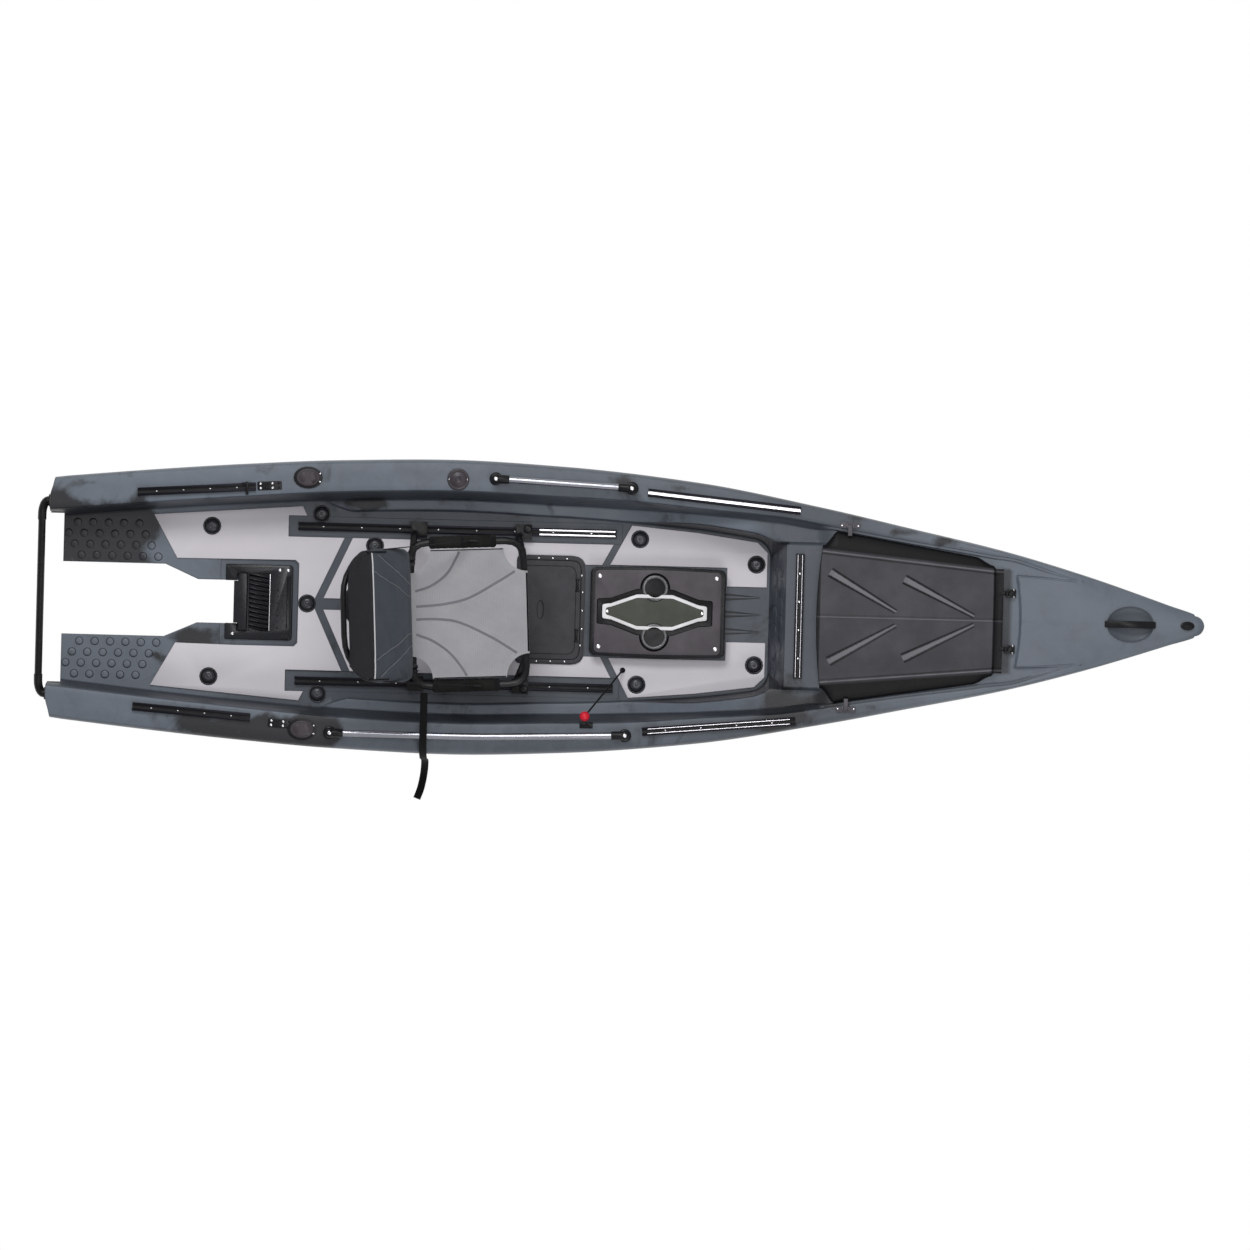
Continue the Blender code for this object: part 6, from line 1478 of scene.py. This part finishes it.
def cover_rows():
    """The cover's outer face in rows across it, from its aft foot to the fore edge of its hinge band."""
    rows = []
    for i in range(COVER_STEPS + 1):
        x = mix(*COVER_X, i / COVER_STEPS)
        skirt = cover_skirt(x)
        ys = [skirt * (1 - 2 * k / 150) for k in range(151)]
        arch = 0.007 * (1 - ramp(i / COVER_STEPS, 0, 0.12))
        rows.append([(x + arch * (min(abs(y) / COVER_RIB[0], 1.2) ** 2 * 2 - 1), y,
                      cover_deck(x) + cover_height(x, y)) for y in ys])
    first, last = rows[0], rows[-1]
    widest = last[0][1]
    ahead = COVER_X[1]
    for x, part in ((ahead + 0.004, 0.55), (ahead + 0.0075, 0.92), (ahead + 0.012, 1.0), (1.286, 1.0),
                    (1.2895, 0.9)):
        half = mix(widest, 0.175, min(part * 1.05, 1))
        lift = 0.0 if x < 1.288 else 0.0016
        rows.append([(x, y / widest * half, mix(z, COVER_BAND_Z, part) - lift) for _, y, z in last])
    deck = cover_deck(COVER_X[0])
    foot = [(x - 0.0026, y, deck + 0.0004) for x, y, z in first]
    return [foot, [(x - 0.0018, y, mix(deck, z, 0.75)) for x, y, z in first]] + rows


def paint_cover(cover):
    """A value on the mesh: positive for painted highlights on groove floors and raised lines, negative for
    painted shade down the sides, beside the lines and at the aft foot, and on the hinge band.
    """
    light = cover.data.attributes.new("floor", "FLOAT", "POINT")
    for i, vertex in enumerate(cover.data.vertices):
        x, y, z = vertex.co
        value = 0.0
        # Painted highlight on each groove's floor, painted shade along its edges.
        for s, d in chevron_places(x, y):
            wide = mix(0.014, 0.005, s)
            if -0.03 < s < 1.02 and d < wide + 0.005:
                beside = -0.95 * ramp(wide + 0.005 - d, 0, 0.003)
                value = ramp(wide * 0.72 - d, 0, 0.002) if d < wide * 0.72 else beside
        rib = cover_rib(x)
        # Painted highlights on the ribs and the centre crease.
        lines = max(1.0 * math.exp(-((abs(y) - rib) / 0.0026) ** 2), 0.7 * math.exp(-(y / 0.0028) ** 2))
        value = lines if lines > 0.15 else value
        # Painted shade just inside each rib and along one side of the centre crease.
        value -= 0.8 * math.exp(-((abs(y) - rib + 0.007) / 0.003) ** 2)
        value -= 0.5 * math.exp(-((y - 0.006) / 0.003) ** 2)
        # Painted shadow at the cover's aft foot.
        value -= 0.9 * ramp(COVER_X[0] + 0.004 - x, 0, 0.004)
        # Painted shade down the sides; the hinge band at the fore end is darkened as well.
        value -= 1.2 * ramp(abs(y) - rib - 0.004, 0, 0.012) + 0.8 * ramp(x, 1.252, 1.262)
        light.data[i].value = value


def make_bow_cover():
    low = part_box("bow_hatch_cover")[0]
    rows = cover_rows()
    skin = Shape()
    count = len(rows[0])
    outer = [[skin.mesh.verts.new(p) for p in row] for row in rows]
    inner = [[skin.mesh.verts.new((x, y * 0.985, max(z - 0.005, low.z + 0.0002))) for x, y, z in row]
             for row in rows]
    for a, b, c, d in zip(outer, outer[1:], inner, inner[1:]):
        for k in range(count - 1):
            skin.mesh.faces.new((a[k], a[k + 1], b[k + 1], b[k]))
            skin.mesh.faces.new((c[k + 1], c[k], d[k], d[k + 1]))
        skin.mesh.faces.new((a[0], b[0], d[0], c[0]))
        skin.mesh.faces.new((b[-1], a[-1], c[-1], d[-1]))
    for k in range(count - 1):
        skin.mesh.faces.new((outer[0][k + 1], outer[0][k], inner[0][k], inner[0][k + 1]))
        skin.mesh.faces.new((outer[-1][k], outer[-1][k + 1], inner[-1][k + 1], inner[-1][k]))
    cover = skin.made("bow_hatch_shell", "cover", 40)
    paint_cover(cover)
    placed(cover, "bow_hatch", SLOT_OF["bow_hatch_cover"], "bow_hatch_cover")
    barrels = Shape()
    barrel = [(0.0066, -0.007), (0.0069, -0.0064), (0.0069, 0.0064), (0.0066, 0.007)]
    pivot_z = cover_deck(COVER_PIVOT_X) - 0.003 + 0.014
    for y in (COVER_LEAF_Y, -COVER_LEAF_Y):
        turn = Matrix.Translation((COVER_PIVOT_X, y, pivot_z)) @ Matrix.Rotation(math.pi / 2, 4, "X")
        barrels.turned(barrel, (0, 0, 0), 24, turn)
        barrels.box((1.279, y - 0.0068, COVER_BAND_Z - 0.003), (1.299, y + 0.0068, COVER_BAND_Z + 0.0012),
                    0.0008)
    placed(barrels.made("bow_hatch_leaves", "black_plastic"), "bow_hatch", SLOT_OF["bow_hatch_cover"])


make_bow_cover()


# Paddle keeper: a red ball on a black bungee cord

def make_paddle_keeper():
    """A red ball on a bungee that runs down to a button on the floor."""
    centre = Vector((-0.1065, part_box("paddle_keeper_bungee")[0].y + 0.017, 0.35))
    turns = [math.pi * k / 24 for k in range(25)]
    ball = Shape().turned([(0.017 * math.sin(a), -0.017 * math.cos(a)) for a in turns], centre, 40)
    placed(ball.made("paddle_keeper_ball", "ball", 70), "hull", SLOT_OF["paddle_keeper_bungee"],
           "paddle_keeper_bungee")
    foot = Vector((0.017, -0.198, FLOOR_Z + 0.0058))
    profile = [(0.009, 0), (0.0093, 0.0012), (0.0085, 0.0036), (0.006, 0.005), (0.0042, 0.0088),
               (0.0, 0.0092)]
    button = Shape().turned(profile, foot, 24).made("paddle_keeper_button", "black_plastic", 60)
    placed(button, "hull", SLOT_OF["paddle_keeper_bungee"])
    end = foot + Vector((0, 0, 0.0075))
    route = [centre, centre.lerp(end, 0.3), centre.lerp(end, 0.72) - Vector((0, 0, 0.008)), end]
    line = spline_through(route, 0.004)
    cord = Shape().tube(line, 0.003, 12).made("paddle_keeper_cord", "webbing", 60)
    placed(cord, "hull", SLOT_OF["paddle_keeper_bungee"])


make_paddle_keeper()


# Seat: stretched mesh on the frame, foam sleeves on its sides

SEAT = Matrix.Translation((SEAT_X, -0.020, 0)) @ Matrix.Rotation(math.radians(3.0), 4, "Z")
SEAT_HALF = SEAT_TRACK_Y - 0.019
SLING_LONG = 0.2025
SLING_HALF = SEAT_HALF - 0.025
SEAT_FRAME_Z = 0.38
SLING_TOP = SEAT_FRAME_Z + 0.0158
SLING_SEAMS = [
    [(-0.1764, 0.0789), (-0.1244, 0.0958), (-0.0697, 0.1351), (-0.0361, 0.1878), (-0.026, 0.209)],
    [(-0.1745, 0.0273), (-0.0832, 0.0335), (0.0032, 0.0527), (0.1011, 0.1037), (0.160, 0.138)],
    [(-0.1757, -0.0156), (-0.1059, -0.0163), (-0.0312, -0.0291), (0.0748, -0.0812), (0.160, -0.136)],
    [(-0.177, -0.066), (-0.1187, -0.0911), (-0.0661, -0.1312), (-0.0297, -0.1772), (-0.010, -0.209)]]
SLEEVE_X = (-0.126, 0.0995)
SLEEVE_R = 0.0208


def sling_z(x, y):
    u, v = x / SLING_LONG, y / SLING_HALF
    return SLING_TOP - 0.0155 * max(0.0, 1 - (u / 0.86) ** 2) * (1 - v ** 4)


def sling_line(points):
    return [Vector((x, y, sling_z(x, y))) for x, y in points]


def make_sling():
    steps = 96
    shape = Shape()
    sheets = []
    for down in (0.0, 0.0022):
        rows = []
        for i in range(steps + 1):
            x = SLING_LONG * (2 * i / steps - 1)
            rows.append([shape.mesh.verts.new((x, y, sling_z(x, y) - down))
                         for y in (SLING_HALF * (2 * k / steps - 1) for k in range(steps + 1))])
        sheets.append(rows)
    top, under = sheets
    for i in range(steps):
        for k in range(steps):
            shape.mesh.faces.new((top[i][k], top[i + 1][k], top[i + 1][k + 1], top[i][k + 1]))
            shape.mesh.faces.new((under[i][k + 1], under[i + 1][k + 1], under[i + 1][k], under[i][k]))
        for k, flip in ((0, False), (steps, True)):
            face = (top[i][k], under[i][k], under[i + 1][k], top[i + 1][k])
            shape.mesh.faces.new(face[::-1] if flip else face)
            face = (top[k][i + 1], under[k][i + 1], under[k][i], top[k][i])
            shape.mesh.faces.new(face[::-1] if flip else face)
    sling = shape.made("seat_sling_mesh", "mesh", 50)
    corners = Shape()
    for sx in (1, -1):
        for sy in (1, -1):
            corners.turned([(0.078, 0.2), (0.078, 0.6)], (sx * SLING_LONG, sy * SLING_HALF, 0), 48)
    carve(sling, corners, angle=50)
    sling.data.transform(SEAT)
    placed(sling, "seat", "mesh", "seat_sling")
    strips = []
    for k, seam in enumerate(SLING_SEAMS):
        line = sling_line([(p.x, p.y) for p in spline_through([(x, y, 0) for x, y in seam], 0.006)])
        strips.append((f"seam_{k + 1}", line, 0.0085, 0.0011, "seam_thread"))
    for name, sx in (("fore", 1), ("aft", -1)):
        x = sx * (SLING_LONG - 0.0032)
        line = sling_line([(x, SLING_HALF * (0.61 - 1.22 * k / 40)) for k in range(41)])
        strips.append((f"hem_{name}", line, 0.006, 0.0008, "binding"))
    for name, sy in SIDES:
        y = sy * (SLING_HALF - 0.002)
        line = sling_line([(SLING_LONG * (0.60 - 1.2 * k / 40), y) for k in range(41)])
        strips.append((f"side_{name}", line, 0.004, 0.0007, "binding"))
    for name, line, width, thick, look in strips:
        half = width / 2
        profile = [(-half, 0), (-0.8 * half, 0.8 * thick), (0, thick), (0.8 * half, 0.8 * thick), (half, 0),
                   (0, -0.6 * thick)]
        rings = band_rings(line, lambda along: along.cross(Vector((0, 0, 1))), profile)
        made = Shape().loft(rings, place=SEAT).made(f"seat_sling_{name}", look, 60)
        placed(made, "seat", "mesh")


make_sling()


def make_sleeves():
    x0, x1 = SLEEVE_X
    steps = 120
    for name, side in SIDES:
        y = side * SEAT_HALF
        path, radii = [], []
        for k in range(steps + 1):
            t = k / steps
            path.append((mix(x0, x1, t), y, SEAT_FRAME_Z))
            pucker = 0.0005 * math.sin(t * 61) + 0.00035 * math.sin(t * 143 + 1)
            end = min(t, 1 - t) * (x1 - x0)
            radii.append(SLEEVE_R + pucker - 0.006 * max(0.0, 1 - end / 0.006) ** 2)
        sleeve = Shape().tube(path, radii, 40, place=SEAT).made(f"seat_sleeve_foam_{name}", "foam", 60)
        placed(sleeve, "seat", "foam", f"seat_sleeve_{name}")
        bands = Shape()
        for x in (x0 + 0.012, 0.5 * (x0 + x1), x1 - 0.012):
            bands.tube([(x + step, y, SEAT_FRAME_Z) for step in (-0.006, -0.005, 0.005, 0.006)],
                       [SLEEVE_R, 0.02165, 0.02165, SLEEVE_R], 40, place=SEAT)
        placed(bands.made(f"seat_sleeve_straps_{name}", "binding", 60), "seat", "foam")


make_sleeves()


# Backrest: a cushion puffed up by a cloth simulation between its seams

BACK_LEAN = Matrix.Rotation(math.radians(-27), 4, "Y")
BACK = SEAT @ Matrix.Translation((-0.186, 0, SEAT_FRAME_Z + 0.055)) @ BACK_LEAN
BACK_LOW, BACK_TOP, BACK_SPLIT = 0.062, 0.4435, 0.335
BACK_FRONT = [(0.06, 0.0), (0.12, 0.009), (0.2, 0.013), (0.28, 0.006), (0.36, -0.004), (0.445, -0.012)]
BACK_REAR = [(0.06, 0.0106), (0.2, 0.0106), (0.28, 0.0068), (0.36, 0.0008), (0.445, -0.0152)]
BACK_WIDTH = [(0.06, 0.211), (0.12, 0.2235), (0.30, 0.2235), (0.368, 0.2185), (0.40, 0.203), (0.445, 0.168)]
BACK_SEAMS = [[(0.150, 0.333), (0.122, 0.275), (0.092, 0.20), (0.068, 0.14), (0.058, 0.075)],
              [(0.205, 0.305), (0.167, 0.245), (0.132, 0.175), (0.108, 0.12), (0.100, 0.075)]]


def back_ring(h, count=76):
    """One ring of the cushion: a flattened round that closes towards its foot and its top."""
    half = smooth_value(BACK_WIDTH, h)
    rear = smooth_value(BACK_REAR, h)
    close = math.sqrt(max(0.0, 1 - (max(0.0, abs(h - 0.2535) - 0.172) / 0.0195) ** 2))
    front = rear + 0.031 + smooth_value(BACK_FRONT, h)
    middle, deep = (rear + front) / 2, (front - rear) / 2 * max(close, 0.12)
    wide = half * (1 - 0.02 * (1 - close))
    ring = []
    for k in range(count):
        c, s = math.cos(math.tau * k / count), math.sin(math.tau * k / count)
        ring.append((middle + deep * math.copysign(abs(c) ** 0.55, c),
                     wide * math.copysign(abs(s) ** 0.28, s), h))
    return ring


def seam_distance(y, h):
    best = abs(h - BACK_SPLIT)
    for line in BACK_SEAMS:
        for (y0, h0), (y1, h1) in zip(line, line[1:]):
            a, b, p = Vector((y0, h0)), Vector((y1, h1)), Vector((abs(y), h))
            t = min(max((p - a).dot(b - a) / (b - a).length_squared, 0), 1)
            best = min(best, (p - a - (b - a) * t).length)
    return best


def puff(made, pinned, pressure, cap):
    """A short cloth simulation: the cushion swells between its pinned seams, no point by more than cap."""
    start = [vertex.co.copy() for vertex in made.data.vertices]
    group = made.vertex_groups.new(name="pinned")
    group.add(pinned, 1.0, "REPLACE")
    step = made.modifiers.new("cloth", "CLOTH")
    step.settings.quality = 6
    step.settings.mass = 0.25
    step.settings.tension_stiffness = 25
    step.settings.compression_stiffness = 25
    step.settings.shear_stiffness = 12
    step.settings.bending_stiffness = 1.5
    step.settings.use_pressure = True
    step.settings.uniform_pressure_force = pressure
    step.settings.vertex_group_mass = "pinned"
    step.settings.effector_weights.gravity = 0
    scene = bpy.context.scene
    for frame_number in range(1, 21):
        scene.frame_set(frame_number)
    evaluated = made.evaluated_get(bpy.context.evaluated_depsgraph_get())
    places = [vertex.co.copy() for vertex in evaluated.data.vertices]
    made.modifiers.clear()
    scene.frame_set(1)
    for vertex, old, new in zip(made.data.vertices, start, places):
        away = new - old
        if away.length > cap:
            away = away.normalized() * cap
        vertex.co = old + away
    made.vertex_groups.clear()
    return made


def make_backrest():
    rows = 84
    heights = [mix(BACK_LOW, BACK_TOP, 0.5 - 0.5 * math.cos(math.pi * k / rows)) for k in range(rows + 1)]
    shape = Shape().loft([back_ring(h) for h in heights])
    pad = shape.made("backrest_cushion", "backrest", 75)
    pinned = []
    for i, vertex in enumerate(pad.data.vertices):
        x, y, h = vertex.co
        rear = smooth_value(BACK_REAR, h)
        front_face = x > rear + 0.016
        if (front_face and seam_distance(y, h) < 0.0035) or x < rear + 0.004:
            pinned.append(i)
            if front_face:
                vertex.co.x -= 0.0045
    puff(pad, pinned, 3.0, 0.007)
    pad.data.materials.append(LOOKS["upper_fabric"])
    pad.data.materials.append(LOOKS["binding"])
    for face in pad.data.polygons:
        x, y, h = face.center
        rear = smooth_value(BACK_REAR, h)
        if h > BACK_SPLIT or x < rear + 0.012:
            face.material_index = 1
        elif h < 0.078:
            face.material_index = 2
    with_modifier(pad, "SUBSURF", levels=1, render_levels=1)
    pad.data.shade_smooth()
    tree = BVHTree.FromPolygons([v.co.copy() for v in pad.data.vertices],
                                [tuple(p.vertices) for p in pad.data.polygons])

    def on_front(points):
        line = []
        for y, h in points:
            hit = tree.ray_cast(Vector((0.2, y, h)), Vector((-1, 0, 0)))[0]
            if hit:
                line.append(hit + Vector((0.0006, 0, 0)))
        return line

    split = on_front([(0.212 - 0.424 * k / 90, BACK_SPLIT) for k in range(91)])
    trim = [Shape().tube(split, 0.0024, 10, place=BACK).made("backrest_piping", "piping", 70)]
    for k, line in enumerate(BACK_SEAMS):
        path = [(p.x, p.y) for p in spline_through([(y, h, 0) for y, h in line], 0.005)]
        threads = Shape()
        for side in (1, -1):
            threads.tube(on_front([(side * y, h) for y, h in path]), 0.0011, 8, place=BACK)
        trim.append(threads.made(f"backrest_seam_{k + 1}", "seam_thread", 70))
    patch = Shape()
    for side in (1, -1):
        corner = on_front([(side * 0.214, 0.36 - 0.10 * t) for t in (0, 0.25, 0.5, 0.75, 1)])
        if len(corner) > 2:
            patch.tube(corner, 0.0042, 10, place=BACK)
    trim.append(patch.made("backrest_side_patches", "black_plastic", 70))
    pad.data.transform(BACK)
    placed(pad, "backrest", "backrest", "backrest_pad")
    for one in trim:
        placed(one, "backrest", "backrest")


def make_side_straps():
    """The webbing from the backrest's sides down to the seat frame, each with a buckle at its foot."""
    shape = [(-1, 0), (-0.8, 1), (0, 1.1), (0.8, 1), (1, 0), (0.8, -1), (0, -1.1), (-0.8, -1)]
    profile = [(0.010 * u, 0.0012 * w) for u, w in shape]
    for name, side in SIDES:
        a = BACK @ Vector((0.014, side * 0.2195, 0.30))
        b = SEAT @ Vector((0.02, side * (SEAT_HALF + 0.002), SEAT_FRAME_Z + 0.0235))
        middle = (a + b) / 2 + Vector((0, 0, -0.012))
        line = spline_through([a, (a * 0.6 + middle * 0.4) + Vector((0, 0, -0.004)), middle, b], 0.006)
        rings = band_rings(line, lambda along: along.cross(Vector((0, 1, 0))), profile)
        strap = Shape().loft(rings).made(f"backrest_strap_{name}", "webbing", 70)
        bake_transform(strap)
        place = Matrix.Translation(b + Vector((0.004, 0, -0.004)))
        buckle = Shape().box((-0.016, -0.004, -0.012), (0.016, 0.004, 0.012), 0.003, place)
        placed(buckle.made(f"backrest_buckle_{name}", "black_plastic", 50), "seat", "webbing")


make_backrest()
make_side_straps()


def make_mount_details():
    """A bright bar beside the louvres, and the row of bumps on the plate behind it."""
    bumps = Shape()
    for k in range(9):
        y = mix(-0.085, 0.085, k / 8)
        bumps.turned([(0.0032, 0), (0.003, 0.0008), (0.0018, 0.0014), (0, 0.0016)], (-1.152, y, 0.1388), 14)
    bar = Shape().box((-1.181, -0.096, 0.1386), (-1.1785, 0.096, 0.1402), 0.0006)
    placed(bar.made("motor_mount_bar", "bright"), "hull", "mount")
    placed(bumps.made("motor_mount_bumps", "mount", 60), "hull", "mount")


make_mount_details()


# CAD nodes that no piece replaces take their slot's finish

for row in frame["record"]["subparts"]:
    for slot in frame["nodes"][row["node"]].material_slots:
        slot.material = LOOKS[row["material_slot"]]


# Floor, backdrop and light

def link(tree, *pairs):
    for output, socket in pairs:
        tree.links.new(output, socket)


def seen_directly(tree):
    """The light path node, and a socket that is one on camera rays and in reflections."""
    paths = tree.nodes.new("ShaderNodeLightPath")
    either = tree.nodes.new("ShaderNodeMath")
    either.operation = "MAXIMUM"
    link(tree, (paths.outputs["Is Camera Ray"], either.inputs[0]),
         (paths.outputs["Is Glossy Ray"], either.inputs[1]))
    return paths, either.outputs[0]


def stage_look():
    """White to the camera and in reflections, but it still takes the object's soft shadow."""
    material = bpy.data.materials.new("studio_floor")
    material.use_nodes = True
    tree = material.node_tree
    shader = tree.nodes["Principled BSDF"]
    shader.inputs["Base Color"].default_value = (0.9, 0.9, 0.9, 1)
    shader.inputs["Roughness"].default_value = 0.9
    shader.inputs["Specular IOR Level"].default_value = 0.0
    glow = tree.nodes.new("ShaderNodeEmission")
    glow.inputs["Strength"].default_value = 1.0
    blend = tree.nodes.new("ShaderNodeMixShader")
    surface = tree.nodes["Material Output"].inputs["Surface"]
    link(tree, (seen_directly(tree)[1], blend.inputs["Fac"]), (shader.outputs[0], blend.inputs[1]),
         (glow.outputs[0], blend.inputs[2]), (blend.outputs[0], surface))
    return material


def make_stage():
    mesh = bpy.data.meshes.new("floor")
    reach = 60
    mesh.from_pydata([(-reach, -reach, 0), (reach, -reach, 0), (reach, reach, 0), (-reach, reach, 0)], [],
                     [(0, 1, 2, 3)])
    mesh.materials.append(stage_look())
    floor = bpy.data.objects.new("floor", mesh)
    bpy.context.scene.collection.objects.link(floor)
    floor.location.z = -0.0006
    world = bpy.data.worlds.new("studio")
    bpy.context.scene.world = world
    world.use_nodes = True
    tree = world.node_tree
    background = tree.nodes["Background"]
    background.inputs["Color"].default_value = (1, 1, 1, 1)
    paths, seen = seen_directly(tree)
    also = tree.nodes.new("ShaderNodeMath")
    also.operation = "MAXIMUM"
    strength = tree.nodes.new("ShaderNodeMapRange")
    strength.inputs["To Min"].default_value = 0.36
    strength.inputs["To Max"].default_value = 1.0
    link(tree, (seen, also.inputs[0]), (paths.outputs["Is Transmission Ray"], also.inputs[1]),
         (also.outputs[0], strength.inputs["Value"]), (strength.outputs[0], background.inputs["Strength"]))


def lamp(name, place, size, length, power):
    data = bpy.data.lights.new(name, "AREA")
    data.shape = "RECTANGLE"
    data.size = size
    data.size_y = length
    data.energy = power
    made = bpy.data.objects.new(name, data)
    bpy.context.scene.collection.objects.link(made)
    made.location = place
    made.rotation_euler = (Vector((0, 0, 0.2)) - Vector(place)).to_track_quat("-Z", "Y").to_euler()


make_stage()
lamp("key_light", (-1.5, 4.0, 5.5), 3.0, 2.0, 230)
lamp("fill_light", (1.5, -4.5, 5.0), 3.0, 2.0, 90)
lamp("top_light", (0.5, 0.5, 7.0), 5.0, 1.2, 130)
